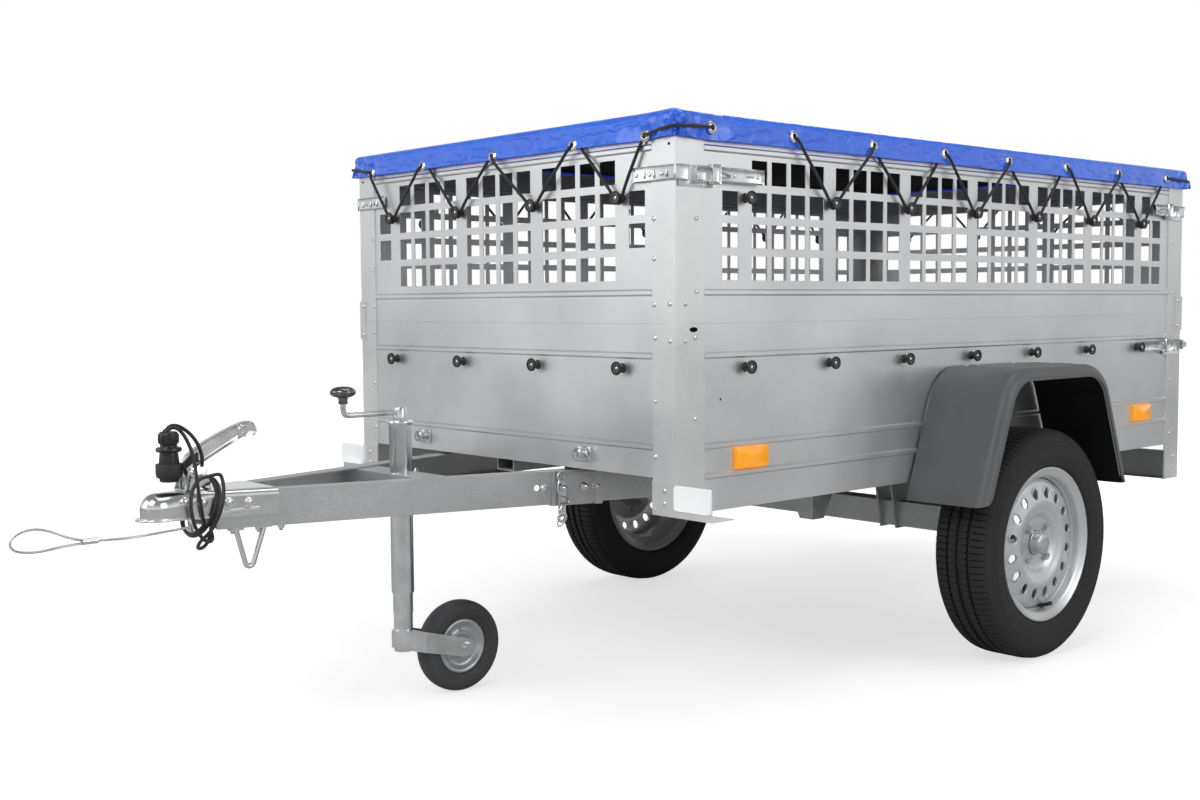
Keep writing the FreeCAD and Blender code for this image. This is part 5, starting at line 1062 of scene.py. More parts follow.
    @classmethod
    def copies(cls, name: str, master: bpy.types.Object, places: Iterable[Matrix],
               keep: bool = False) -> bpy.types.Object:
        """Copy a master, each copy with its own mesh, to several places and join them.

        Args:
            name: Name of the joined piece.
            master: Piece to copy.
            places: Where each copy goes.
            keep: Leave the master for more copies.

        Returns:
            The joined copies.
        """
        made = []
        for place in places:
            cls.hold(master)
            bpy.ops.object.duplicate(linked=False)
            twin = bpy.context.view_layer.objects.active
            twin.matrix_world = place
            made.append(cls.settle(twin))
            if place.determinant() < 0:
                cls.close(twin)
        if not keep:
            cls.drop(master)
        return cls.join(name, made)

    @staticmethod
    def drop(*items: bpy.types.Object) -> None:
        """Delete masters and cutters that have done their work."""
        for item in items:
            bpy.data.objects.remove(item, do_unlink=True)

    @classmethod
    def mirror_y(cls, item: bpy.types.Object) -> bpy.types.Object:
        """Add the same piece on the other side of the centreline."""
        return cls.copies(item.name + "_pair", item, (Matrix.Identity(4), ACROSS))


def finish(item: bpy.types.Object, shade: Shade, body: str, slot: str,
           replaces: Sequence[str] = (), angle: float = 40.0) -> bpy.types.Object:
    """Give a new piece its material and body, and hide the CAD nodes that it stands for.

    Args:
        item: The modelled piece.
        shade: Its finish.
        body: CAD body that it rides on.
        slot: Material slot of the record; not used.
        replaces: CAD nodes that it stands for.
        angle: Edges sharper than this many degrees stay sharp.

    Returns:
        The same piece.
    """
    if item.type == "MESH":
        Bench.smooth(item, angle)
    item.data.materials.clear()
    item.data.materials.append(shade.material)
    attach(item, body)
    if replaces:
        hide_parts(*replaces)
    log.info("%s on %s", item.name, body)
    return item


def turn_to(direction: Point, place: Point) -> Matrix:
    """Return the matrix that stands a piece made along +Z on a direction at a place."""
    quat = Vector(direction).to_track_quat("Z", "Y")
    return Matrix.Translation(place) @ quat.to_matrix().to_4x4()


def around(count: int, axis: str = "Y", start: float = 0.0) -> list[Matrix]:
    """Return even turns of a circle, the first one a share of a step from the top."""
    return [Matrix.Rotation(2 * math.pi * (index + start) / count, 4, axis)
            for index in range(count)]


def touch(node: str, start: Point, way: Point) -> Vector:
    """Find where a ray meets a CAD node.

    Args:
        node: Name of the node.
        start: Where the ray starts.
        way: Its direction.

    Returns:
        The first point met, or start itself where nothing is met.
    """
    item = bpy.data.objects[node]
    hit, place, _, _ = item.ray_cast(Vector(start), Vector(way))
    return place if hit else Vector(start)


# Studio


@dataclass
class Studio:
    """Camera, pale floor and soft lamps."""

    eye: Point = (2.5449669, 2.5062169, 0.8468018)
    turn: Point = (86.209161, 0.394162, 138.274899)
    lens: float = 42.34147
    shift: tuple[float, float] = (-0.0013692, -0.0018131)
    floor_size: float = 60.0
    ambient: float = 0.24
    lit_radius: float = 3.4

    def build(self) -> None:
        """Make the camera, the floor, the lamps and the world."""
        self.camera()
        self.floor()
        self.world()
        self.lamp("key_softbox", (3.9, 1.2, 3.6), (0.1, 0.1, 0.6), 2.2, 62.0)
        self.lamp("side_softbox", (-1.2, 4.6, 2.6), (-0.5, 0.3, 0.5), 2.8, 56.0)
        self.lamp("front_softbox", (4.4, -1.6, 2.2), (0.6, 0.0, 0.5), 2.4, 32.0)
        self.lamp("top_softbox", (-0.4, 0.2, 4.4), (-0.4, 0.0, 0.6), 3.0, 46.0)
        self.lamp("rear_softbox", (-4.6, -2.6, 3.0), (-0.6, 0.0, 0.5), 2.6, 34.0)
        view = bpy.context.scene.view_settings
        view.view_transform = "Standard"

    def camera(self) -> None:
        """Place the camera where the photograph was taken from."""
        bpy.ops.object.camera_add(location=self.eye,
                                  rotation=[math.radians(part) for part in self.turn])
        item = bpy.context.view_layer.objects.active
        item.name = "photo_camera"
        item.data.sensor_width = 36.0
        item.data.lens = self.lens
        item.data.shift_x, item.data.shift_y = self.shift
        item.data.clip_end = 200.0
        bpy.context.scene.camera = item

    def floor(self) -> None:
        """Lay a pale floor that turns white where nothing shades it."""
        Bench.hold()
        bpy.ops.mesh.primitive_plane_add(size=self.floor_size, location=ORIGIN)
        item = Bench.made("studio_floor")
        paper = Finish("floor_paper", (0.60, 0.60, 0.60), 0.9)
        tone = paper.noise(2.0, 2.0)
        paper.set("Base Color", paper.blend(tone, (0.59, 0.59, 0.59), (0.61, 0.61, 0.61)))
        spot = paper.place()
        away = (paper.axis(0, spot) ** 2 + paper.axis(1, spot) ** 2) ** 0.5
        glow = paper.blend(away.band(self.lit_radius * 0.45, self.lit_radius),
                           (0.66, 0.66, 0.66), (1.0, 1.0, 1.0))
        paper.set("Emission Color", self.seen(paper, glow, (0, 0, 0)))
        paper.set("Emission Strength", 1.0)
        item.data.materials.append(paper.material)

    @staticmethod
    def seen(tree: Finish, shown: Value, lit: Value) -> Wire:
        """Mix the colour that the lens sees with the one that lights things.

        Args:
            tree: Finish that the mix is made in.
            shown: Colour that the lens sees.
            lit: Colour that lights things.

        Returns:
            The mixed colour.
        """
        path = tree.nodes.new("ShaderNodeLightPath")
        mask = Wire(tree, path.outputs["Is Camera Ray"]).most(
            Wire(tree, path.outputs["Is Transmission Ray"]))
        return tree.blend(mask, lit, shown)

    def world(self) -> None:
        """Surround the scene with white paper that gives a soft light."""
        world = bpy.data.worlds.new("white_studio")
        bpy.context.scene.world = world
        world.use_nodes = True
        nodes, links = world.node_tree.nodes, world.node_tree.links
        path = nodes.new("ShaderNodeLightPath")
        spot = nodes.new("ShaderNodeTexCoord")
        split = nodes.new("ShaderNodeSeparateXYZ")
        links.new(spot.outputs["Generated"], split.inputs[0])
        rise = nodes.new("ShaderNodeMapRange")
        links.new(split.outputs["Z"], rise.inputs[0])
        for index, value in enumerate((0.02, 0.60, 0.88, 0.24), start=1):
            rise.inputs[index].default_value = value
        soft = nodes.new("ShaderNodeMix")
        links.new(path.outputs["Is Glossy Ray"], soft.inputs[0])
        soft.inputs[2].default_value = self.ambient
        links.new(rise.outputs[0], soft.inputs[3])
        clear = nodes.new("ShaderNodeMath")
        clear.operation = "MAXIMUM"
        links.new(path.outputs["Is Camera Ray"], clear.inputs[0])
        links.new(path.outputs["Is Transmission Ray"], clear.inputs[1])
        level = nodes.new("ShaderNodeMath")
        level.operation = "MAXIMUM"
        links.new(clear.outputs[0], level.inputs[0])
        links.new(soft.outputs[0], level.inputs[1])
        paper = nodes["Background"]
        paper.inputs["Color"].default_value = (1, 1, 1, 1)
        links.new(level.outputs[0], paper.inputs["Strength"])

    @staticmethod
    def lamp(name: str, place: Point, target: Point, size: float, power: float) -> None:
        """Hang a square softbox that faces a target.

        Args:
            name: Object name.
            place: Where it hangs.
            target: Point that it faces.
            size: Side of its square.
            power: Power in watts.
        """
        Bench.hold()
        aim = Vector(target) - Vector(place)
        bpy.ops.object.light_add(type="AREA", location=place,
                                 rotation=aim.to_track_quat("-Z", "Y").to_euler())
        item = bpy.context.view_layer.objects.active
        item.name = name
        item.data.size = size
        item.data.energy = power
        item.visible_camera = False


# Cords


@dataclass
class Leads:
    """The towing lead in its coil, the plug's second lead and the safety rope."""

    cable: float = 0.007
    rope: float = 0.005
    coil_x: float = NOSE - 0.133
    coil_z: float = 0.468
    coil_tilt: tuple[float, float] = (0.941, 0.339)
    coil_half: Flat = (0.0680, 0.0610)
    coil_taper: float = 0.0070
    coil_depth: Flat = (-0.009, 0.010)
    coil_ahead: float = 0.012
    strand_r: float = 0.00084
    strand_step: float = 0.0022
    lay: float = 0.034
    start: tuple[Point, ...] = (
        (-152, 0, 458), (-150, 0, 440), (-146, 2, 415), (-135, 6, 394), (-118, 14, 388),
        (-104, 28, 394), (-103, 45, 408.6), (-106, 64, 420.5))
    loop: tuple[Point, ...] = (
        (-118, 56, 531), (-95, 60, 528), (-79, 65, 508), (-73, 70, 484), (-75, 72, 458),
        (-83, 72, 434), (-96, 72, 415), (-109, 70.5, 409), (-117, 67, 412.5),
        (-119.5, 61.5, 420.5))
    rise: tuple[Point, ...] = (
        (-105.5, 55, 447.5), (-101, 59, 460), (-98, 60, 481), (-97, 54, 506), (-98, 46, 531),
        (-100, 36, 556), (-98, 26, 581), (-92, 18, 602), (-84, 12, 617), (-74, 7, 623),
        (-66, 4, 620), (-62, 3.6, 614.9))
    second: tuple[Point, ...] = (
        (-120, 17.2, 505), (-121, 17, 521), (-123, 17, 540), (-124.5, 17.4, 563),
        (-119, 17, 584), (-110, 12, 602), (-99, 6, 615), (-87, 0, 624), (-75, -3, 626),
        (-66, -4, 621), (-62, -3.6, 614.9))
    tail: tuple[Point, ...] = (
        (-84, 46, 437), (-44, 46, 435.5), (-2, 46, 432), (46, 46, 430.5), (92, 46, 433))
    eye: tuple[Point, ...] = (
        (121, 46, 436.1), (140, 46, 442), (160, 46, 451), (180, 46, 460.5), (206, 46, 466.5),
        (230, 46, 462), (246, 46, 450), (243, 46, 434), (226, 46, 427), (198, 46, 424.5),
        (172, 46, 427.5), (146, 46, 430), (121, 46, 430.9))

    @staticmethod
    def from_nose(points: Iterable[Point]) -> list[Point]:
        """Turn millimetres ahead of the nose, to the left and up into places in the frame."""
        return [(NOSE + x / 1000, y / 1000, z / 1000) for x, y, z in points]

    def coil_point(self, turn: float, wide: float, high: float, shift: float,
                   ahead: float = 0.0) -> Point:
        """Find a point of the coil.

        Args:
            turn: Angle round the coil in degrees.
            wide: Half the loop's width.
            high: Half its height.
            shift: Distance along the coil's axis.
            ahead: Extra distance towards the coupling.

        Returns:
            The point in the frame.
        """
        angle = math.radians(turn)
        nx, nz = self.coil_tilt
        along, up = wide * math.cos(angle), high * math.sin(angle)
        return self.coil_x + ahead - nz * up + nx * shift, along, \
            self.coil_z + nx * up + nz * shift

    @staticmethod
    def line(name: str, points: Sequence[Point], radius: float) -> bpy.types.Object:
        """Draw a smooth line near the route's control points, bare if radius is 0."""
        return Bench.curve(name, points, radius, 4, 3, 8)

    def samples(self, points: Sequence[Point]) -> list[Vector]:
        """Find the points that a bare line of the route runs through.

        Args:
            points: Control points of the route.

        Returns:
            The points in order.
        """
        bare = self.line("bare_route", points, 0.0)
        bpy.context.view_layer.update()
        ready = bare.evaluated_get(bpy.context.evaluated_depsgraph_get())
        mesh = bpy.data.meshes.new_from_object(ready)
        found = [vertex.co.copy() for vertex in mesh.vertices]
        bpy.data.objects.remove(bare, do_unlink=True)
        bpy.data.meshes.remove(mesh)
        return found

    def twist(self, name: str,
              points: Sequence[Point]) -> tuple[bpy.types.Object, list[Vector]]:
        """Lay six strands round a rope's line.

        Args:
            name: Object name.
            points: Control points of the rope.

        Returns:
            The rope's mesh and the points that it follows.
        """
        line = self.even(self.samples(points), self.strand_step)
        across = Vector(LEFT)
        strands = []
        for strand in range(7):
            path, run = [], 0.0
            for index, place in enumerate(line):
                before, after = line[max(index - 1, 0)], line[min(index + 1, len(line) - 1)]
                ahead = (after - before).normalized()
                side = (across - ahead * across.dot(ahead)).normalized()
                if index:
                    run += (place - line[index - 1]).length
                angle = 2 * math.pi * (strand / 6 + run / self.lay)
                reach = 0.0 if strand == 6 else self.rope / 2 - self.strand_r
                path.append(place + (side * math.cos(angle)
                                     + ahead.cross(side) * math.sin(angle)) * reach)
            strands.append(Bench.wire("strand", path, self.strand_r, 1, 0))
        return Bench.join(name, strands), line

    @staticmethod
    def even(points: Sequence[Vector], step: float) -> list[Vector]:
        """Walk along a line in even steps.

        Args:
            points: The line's points.
            step: Distance between two points.

        Returns:
            The points, with the line's own last one.
        """
        result, left = [points[0].copy()], step
        for before, after in zip(points, points[1:]):
            run = (after - before).length
            while left <= run:
                result.append(before.lerp(after, left / run))
                left += step
            left -= run
        if (result[-1] - points[-1]).length > step * 0.3:
            result.append(points[-1].copy())
        else:
            result[-1] = points[-1].copy()
        return result

    def coiled_route(self) -> list[Point]:
        """Lay the lead from under the coupling, through its coil, to the plug's cap.

        Returns:
            Control points in the frame.
        """
        first = [self.coil_point(turn, 0.0895 + 0.0005 * index, 0.0755 + 0.0005 * index,
                                 0.008 + 0.0008 * index)
                 for index, turn in enumerate((-30, -8, 12, 30, 45, 57))]
        rings = [(-36.0 + 24.0 * index) for index in range(31)]
        span = rings[-1] - rings[0]
        coil = []
        for turn in rings:
            part = (turn - rings[0]) / span
            wide, high = (half - self.coil_taper * part for half in self.coil_half)
            shift = self.coil_depth[0] + self.coil_depth[1] * part
            coil.append(self.coil_point(turn, wide, high, shift, self.coil_ahead))
        return self.from_nose(self.start) + first + self.from_nose(self.loop) + coil \
            + self.from_nose(self.rise)

    def build(self) -> None:
        """Make the three cords and the rope's eye."""
        route = self.coiled_route()
        lead = finish(self.line("towing_lead", route, self.cable / 2), Shade.CABLE, "drawbar",
                      "black_rubber", ("cable_front", "cable_coil", "cable_loop"))
        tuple(route[0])
        route = self.from_nose(self.second)
        lead = finish(self.line("second_lead", route, self.cable / 2), Shade.CABLE, "drawbar",
                      "black_rubber", ("cable_rear",))
        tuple(route[0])
        route = self.from_nose(self.tail + self.eye)
        rope, line = self.twist("safety_rope_strands", route)
        finish(rope, Shade.ROPE, "drawbar", "bright_zinc", ("safety_rope", "rope_loop"))
        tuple(route[0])
        [tuple(p) for p in line]


# Cover and lacing


@dataclass
class Cover:
    """The blue cover: one sheet drawn over the extension, with eyelets in its skirt."""

    out: float = 0.011
    top: float = 1.219
    hem: float = 1.1665
    bend: float = 0.011
    thick: float = 0.0012
    hem_fold: float = 0.026
    side_eyes: tuple[float, ...] = (0.092, 0.336, 0.603, 0.871, 1.138, 1.406, 1.673, 1.941)
    end_eyes: tuple[float, ...] = (0.072, 0.290, 0.562, 0.834, 1.052)
    side_eye_z: float = 1.190
    end_eye_z: float = 1.174
    ring: float = 0.0128
    hole: float = 0.0058
    lip: float = 0.0009
    fold: Flat = (0.0016, 0.0064)
    crease: Flat = (0.0007, 0.0024)
    pleat: float = 0.0042
    draw: float = 0.0032
    draw_r: float = 0.024
    hem_swell: float = 0.0007
    hang: float = 0.0016
    ripples: Flat = (0.0034, 0.0022)
    sag: float = 0.0022
    pillow: float = 0.0025
    peak: float = 0.0026
    # Where the near-black sheet of painted shade under the cover's top stops short of the edges,
    # and its gap below the cloth.
    shade_sheet_in: float = 0.030
    shade_sheet_gap: float = 0.0006

    def __post_init__(self) -> None:
        """Work out the sheet's half sizes and its overhang."""
        self.half_long = (BOX_FRONT - BOX_REAR) / 2 + self.out
        self.half_wide = HALF + self.out
        self.arc = self.bend * math.pi / 2
        self.over = self.arc + (self.top - self.bend - self.hem)

    def roll(self, run: float) -> tuple[float, float]:
        """Roll the cloth over its edge.

        Args:
            run: Distance of cloth past the flat top.

        Returns:
            How far out and how far down it is.
        """
        if run <= 0:
            return 0.0, 0.0
        if run < self.arc:
            angle = run / self.bend
            return self.bend * math.sin(angle), self.bend * (1 - math.cos(angle))
        return self.bend, self.bend + run - self.arc

    def creases(self, along: float, down: float, corner: float) -> float:
        """Work out the cloth's relief, stronger near the corners.

        Args:
            along: Distance along the edge.
            down: Distance down the skirt.
            corner: Distance from the nearest corner.

        Returns:
            Height of the relief.
        """
        spot = Vector((along * 9.0 + down * 14.0, down * 11.0 - along * 3.0, corner * 3.0))
        fold = noise.noise(spot) + 0.55 * noise.noise(spot * 2.3)
        slant = Vector((along * 34.0 - down * 26.0, down * 9.0 + along * 4.0, 5.0))
        crease = 1.0 - 2.0 * abs(noise.noise(slant))
        near = math.exp(-corner / 0.16)
        pleat = math.sin(corner * 150.0 - down * 55.0) * math.exp(-corner / 0.055)
        return fold * (self.fold[0] + self.fold[1] * near) + self.pleat * pleat \
            + crease ** 3 * (self.crease[0] + self.crease[1] * near)

    def pull(self, along: float, down: float, eyes: Sequence[float], depth: float) -> float:
        """Work out how far the lacing draws the cloth in round each eyelet.

        Args:
            along: Distance along the edge.
            down: Distance down the skirt.
            eyes: Places of the eyelets along the edge.
            depth: How far down they sit.

        Returns:
            The draw, negative where it goes in.
        """
        total = 0.0
        for place in eyes:
            gap = math.hypot(along - place, (down - depth) * 1.2)
            total += math.exp(-(gap / self.draw_r) ** 2)
        return -self.draw * total

    def roof(self, x: float, y: float, run: float) -> float:
        """Work out how far the flat top sags.

        Args:
            x: Distance ahead of the middle.
            y: Distance to the left of the middle.
            run: Distance past the nearest edge, negative on the flat.

        Returns:
            The sag.
        """
        edge = min(1.0, -run / 0.20)
        sag = self.sag * noise.noise(Vector((x * 2.2, y * 2.2, 1.0)))
        return sag * edge + self.pillow * edge * abs(math.sin(x * 5.2))

    def drape(self, u: float, v: float) -> Point:
        """Turn a place on the flat sheet into its place on the trailer.

        Args:
            u: Place along, from -0.5 at the rear to 0.5 at the front.
            v: Place across, from -0.5 at the right to 0.5 at the left.

        Returns:
            The point.
        """
        long, wide = self.half_long - self.bend, self.half_wide - self.bend
        x, y = 2 * u * (long + self.over), 2 * v * (wide + self.over)
        dx, dy = abs(x) - long, abs(y) - wide
        run, sideways, rounding = max(dx, dy), dy >= dx, dx > 0 and dy > 0
        reach, drop = self.roll(run)
        corner = math.hypot(max(long - abs(x), 0), max(wide - abs(y), 0))
        spread = math.pi / 2 if sideways else 0.0
        if rounding:
            spread = math.pi / 2 * (1 - 0.5 * dx / dy if sideways else 0.5 * dy / dx)
        side = math.copysign(1, x), math.copysign(1, y)
        if run <= 0:
            reach, drop = 0.0, self.roof(x, y, run)
        else:
            along, eyes, eye_z = (long - x, self.side_eyes, self.side_eye_z) if sideways \
                else (wide - y, self.end_eyes, self.end_eye_z)
            along += self.bend - self.out
            bulge = self.creases(along, drop, corner) \
                + self.pull(along, drop, eyes, self.top - eye_z)
            if drop > (self.top - self.hem) - self.hem_fold:
                bulge += self.hem_swell
            if rounding:
                ripple = self.ripples[0] * math.sin(spread * 22.0) \
                    + self.ripples[1] * math.sin(spread * 9.0)
                bulge += ripple * min(1.0, drop / 0.02)
            reach += bulge * min(1.0, drop / 0.012)
            hang = self.hang * noise.noise(Vector((along * 5.0, 7.0, side[1])))
            drop += hang * min(1.0, drop / 0.03)
        lift = self.peak * math.exp(-(corner / 0.05) ** 2) if side == (1, 1) else 0.0
        px = side[0] * (min(abs(x), long) + reach * math.cos(spread) * (dx > 0))
        py = side[1] * (min(abs(y), wide) + reach * math.sin(spread) * (dy > 0))
        return MIDDLE + px, py, self.top - drop + lift

    def build(self) -> None:
        """Make the sheet, a near-black sheet of painted shade under its top, and its eyelets."""
        sheet = Bench.cloth("cover_sheet", 230, 128, self.drape)
        Bench.modify(sheet, "SOLIDIFY", thickness=self.thick, offset=-1.0)
        finish(sheet, Shade.COVER, "box", "blue_cover", ("tarpaulin", "cover_skirt"), 60.0)
        # A near-black sheet under the cloth's top is painted shade.
        underside_shade = Bench.cloth("cover_lining", 60, 34, self.under)
        Bench.modify(underside_shade, "SOLIDIFY", thickness=0.0004, offset=-1.0)
        finish(underside_shade, Shade.LINING, "box", "blue_cover", (), 60.0)
        eyes = self.eyelets()

    def under(self, u: float, v: float) -> Point:
        """Find a place on the near-black sheet of painted shade under the cloth's flat top.

        Args:
            u: Place along, as for drape.
            v: Place across, as for drape.

        Returns:
            The point.
        """
        part, across = ((half - self.shade_sheet_in) / (half - self.bend + self.over)
                        for half in (self.half_long, self.half_wide))
        x, y, z = self.drape(u * part, v * across)
        return x, y, z - self.thick - self.shade_sheet_gap

    def eyelets(self) -> list[bpy.types.Object]:
        """Press a bright ring into the cloth at every eyelet, with painted shade for its hole.

        Returns:
            The rings and the holes.
        """
        lip = self.lip
        outline = [(self.hole, 0.0), (self.hole, 0.0022), (self.hole + lip, 0.0032),
                   (self.ring - 2 * lip, 0.0024), (self.ring, 0.0006), (self.ring, 0.0)]
        outline.append(outline[0])
        ring = Bench.lathe("eyelet_master", outline, 28)
        reach = self.hole + lip
        # A near-black disc stands for the eyelet's hole: painted shade.
        dark = Bench.lathe("hole_master", [(0.0, lip), (reach, lip), (reach, 0.0), (0.0, 0.0)],
                           20)
        spots = []
        skirt = self.half_wide - 0.0010
        for hand in (1, -1):
            spots += [turn_to((0.05, hand, 0.10), (BOX_FRONT - place, hand * skirt,
                                                   self.side_eye_z))
                      for place in self.side_eyes]
        for end, way in ((BOX_FRONT + self.out, 1), (BOX_REAR - self.out, -1)):
            spots += [turn_to((way, 0.05, 0.12), (end - way * 0.0010, HALF - place,
                                                  self.end_eye_z))
                      for place in self.end_eyes]
        rings = finish(Bench.copies("cover_eyelets", ring, spots), Shade.EYELET, "box",
                       "bright_zinc")
        holes = finish(Bench.copies("eyelet_holes", dark, spots), Shade.DARK, "box",
                       "black_rubber")
        return [rings, holes]


@dataclass
class Lacing:
    """Elastic cord between the cover's eyelets and the knobs."""

    radius: float = 0.0035
    low: float = 1.0488

    def strand(self, place: Callable[[float, float, float], Point], left: float,
               knob: float, right: float, eye_z: float, under: bool,
               index: int) -> bpy.types.Object:
        """Run one stretch down from the cover, under a knob and back up.

        Args:
            place: Turns along, outward and height into a point.
            left: First eyelet along the face.
            knob: Knob along the face.
            right: Second eyelet along the face.
            eye_z: Height of the eyelets.
            under: Whether both ends come from under the hem.
            index: Number in the piece's name.

        Returns:
            The cord's mesh.
        """
        out = 0.0165
        turn = [(knob - 0.0105, 0.0080, KNOB_HIGH + 0.004),
                (knob - 0.0095, 0.0068, self.low + 0.002),
                (knob, 0.0062, self.low - 0.0025),
                (knob + 0.0095, 0.0068, self.low + 0.002),
                (knob + 0.0105, 0.0080, KNOB_HIGH + 0.004)]
        if under:
            left, right = left + (knob - left) * 0.10, right - (right - knob) * 0.10
            ends = [(left, 0.0035, eye_z + 0.004), (left + 0.004, 0.0040, 1.170),
                    (left + (knob - left) * 0.22, 0.0070, 1.149)]
            away = [(right, 0.0035, eye_z + 0.004), (right - 0.004, 0.0040, 1.170),
                    (right - (right - knob) * 0.22, 0.0070, 1.149)]
        else:
            ends = [(left, 0.004, eye_z), (left + 0.001, 0.013, eye_z),
                    (left + (knob - left) * 0.04, out + 0.001, eye_z - 0.006),
                    (left + (knob - left) * 0.16, out, eye_z - 0.024)]
            away = [(right, 0.004, eye_z), (right - 0.001, 0.013, eye_z),
                    (right - (right - knob) * 0.04, out + 0.001, eye_z - 0.006),
                    (right - (right - knob) * 0.16, out, eye_z - 0.024)]
        path = [place(*point) for point in ends + turn + away[::-1]]
        return Bench.wire("strand_%d" % index, path, self.radius, 3)

    def lace(self, place: Callable[[float, float, float], Point], eyes: Sequence[float],
             eye_z: float, indices: Iterable[int], knobs: Flat) -> list[bpy.types.Object]:
        """Lace one face; every second stretch comes from under the hem.

        Args:
            place: Turns along, outward and height into a point.
            eyes: Places of the eyelets along the face.
            eye_z: Their height.
            indices: Numbers of the knobs that are laced.
            knobs: Place of the first knob and the pitch.

        Returns:
            The cords' meshes.
        """
        return [self.strand(place, eyes[index], knobs[0] + index * knobs[1],
                            eyes[index + 1], eye_z, index % 2 == 0, index)
                for index in indices]

    def round_corner(self, front: int, hand: int) -> bpy.types.Object:
        """Run a stretch round a corner, from the last end eyelet to the side one.

        Args:
            front: 1 at the front, -1 at the rear.
            hand: 1 on the left, -1 on the right.

        Returns:
            The cord's mesh.
        """
        cover, side = Cover(), HALF
        end, back = (BOX_FRONT, cover.side_eyes[0]) if front > 0 else (
            BOX_REAR, BOX_FRONT - BOX_REAR - cover.side_eyes[-1])
        far, z = cover.end_eyes[0], (cover.end_eye_z, cover.side_eye_z)
        spots = [(end + front * 0.004, side - far, z[0]),
                 (end + front * 0.0135, side - far, z[0]),
                 (end + front * 0.0165, side - far + 0.010, z[0] + 0.001),
                 (end + front * 0.0160, side - 0.020, z[0] + 0.009),
                 (end + front * 0.0150, side + 0.009, z[0] + 0.012),
                 (end + front * 0.0090, side + 0.0150, z[0] + 0.013),
                 (end - front * 0.020, side + 0.0160, z[0] + 0.014),
                 (end - front * (back - 0.010), side + 0.0165, z[1]),
                 (end - front * back, side + 0.0135, z[1]),
                 (end - front * back, side + 0.004, z[1])]
        return Bench.wire("corner_strand", [(x, hand * y, h) for x, y, h in spots],
                          self.radius, 3)

    def build(self) -> None:
        """Lace all four sides and the corners."""
        cover = Cover()
        pieces = []
        for hand in (1, -1):
            def on_side(along: float, outward: float, height: float,
                        hand: int = hand) -> Point:
                """Return a point on a long side."""
                return BOX_FRONT - along, hand * (HALF + outward), height
            pieces += self.lace(on_side, cover.side_eyes, cover.side_eye_z, range(1, 7),
                                (SIDE_FIRST, SIDE_PITCH))
        for end, way in ((BOX_FRONT, 1), (BOX_REAR, -1)):
            def on_end(along: float, outward: float, height: float, end: float = end,
                       way: int = way) -> Point:
                """Return a point on the front or rear."""
                return end + way * outward, HALF - along, height
            pieces += self.lace(on_end, cover.end_eyes, cover.end_eye_z, range(4),
                                (END_FIRST, END_PITCH))
        pieces += [self.round_corner(front, hand) for front in (1, -1) for hand in (1, -1)]
        finish(Bench.join("elastic_cords", pieces), Shade.ELASTIC, "box", "black_elastic",
               ("elastic_lacing",))


# Box fittings


@dataclass
class Knobs:
    """Moulded lacing knobs, each with a painted highlight ring and a bright rivet in its face."""

    reach: float = 0.0185
    head: float = 0.0141
    neck: float = 0.0082

    def rows(self) -> dict[str, list[Matrix]]:
        """Place the knobs on the box and on the tailgate.

        Returns:
            The places by body.
        """
        fixed, gate = [], []
        for index in range(7):
            x = BOX_FRONT - SIDE_FIRST - SIDE_PITCH * index
            for z in (KNOB_LOW, KNOB_HIGH):
                for hand in (1, -1):
                    fixed.append(turn_to((0, hand, 0), (x, hand * PANEL, z)))
        for index in range(4):
            y = HALF - END_FIRST - END_PITCH * index
            for z in (KNOB_LOW, KNOB_HIGH):
                fixed.append(turn_to(AHEAD, (FRONT_FACE, y, z)))
            fixed.append(turn_to((-1, 0, 0), (REAR_FACE, y, KNOB_HIGH)))
            gate.append(turn_to((-1, 0, 0), (REAR_FACE, y, KNOB_LOW)))
        return {"box": fixed, "tailgate": gate}

    def body_outline(self) -> list[tuple[float, float]]:
        """Draw the knob from its foot to the middle of its face.

        Returns:
            Radius and height pairs.
        """
        top = self.reach + 0.003
        return [(0.0, 0.0), (0.0102, 0.0), (0.0102, 0.0015), (self.neck + 0.0004, 0.0030),
                (self.neck, 0.006), (self.neck, top - 0.0125), (self.neck + 0.0018, top - 0.0085),
                (self.head - 0.001, top - 0.0062), (self.head, top - 0.0048),
                (self.head, top - 0.0018), (self.head - 0.0008, top - 0.0004),
                (self.head - 0.0024, top), (self.head - 0.0040, top - 0.0004),
                (self.head - 0.0046, top - 0.0022), (0.0062, top - 0.0026),
                (0.0056, top - 0.0036), (0.0, top - 0.0036)]

    def build(self) -> None:
        """Make the knobs, their painted highlight rings and their rivets on both bodies."""
        top = self.reach
        rivet = [(0.0, top - 0.0008), (0.0040, top - 0.0008), (0.0039, top + 0.0006),
                 (0.0031, top + 0.0014), (0.0017, top + 0.0016), (0.0014, top + 0.0006),
                 (0.0, top + 0.0006)]
        # A thin grey annulus on the face is a painted highlight of the knob's rim.
        ring = [(0.0066, top - 0.0004), (0.0088, top - 0.0004), (0.0088, top + 0.0010),
                (0.0066, top + 0.0010), (0.0066, top - 0.0004)]
        for body, spots in self.rows().items():
            node = "tailgate_knobs" if body == "tailgate" else "lace_knobs"
            for name, outline, sides, shade, slot, nodes in (
                    ("knobs_", self.body_outline(), 22, Shade.KNOB, "black_plastic", (node,)),
                    ("knob_rings_", ring, 20, Shade.GREY_RING, "black_plastic", ()),
                    ("knob_rivets_", rivet, 14, Shade.BOLT, "bright_zinc", ())):
                master = Bench.lathe("knob_master", outline, sides)
                finish(Bench.copies(name + body, master, spots), shade, body, slot, nodes)


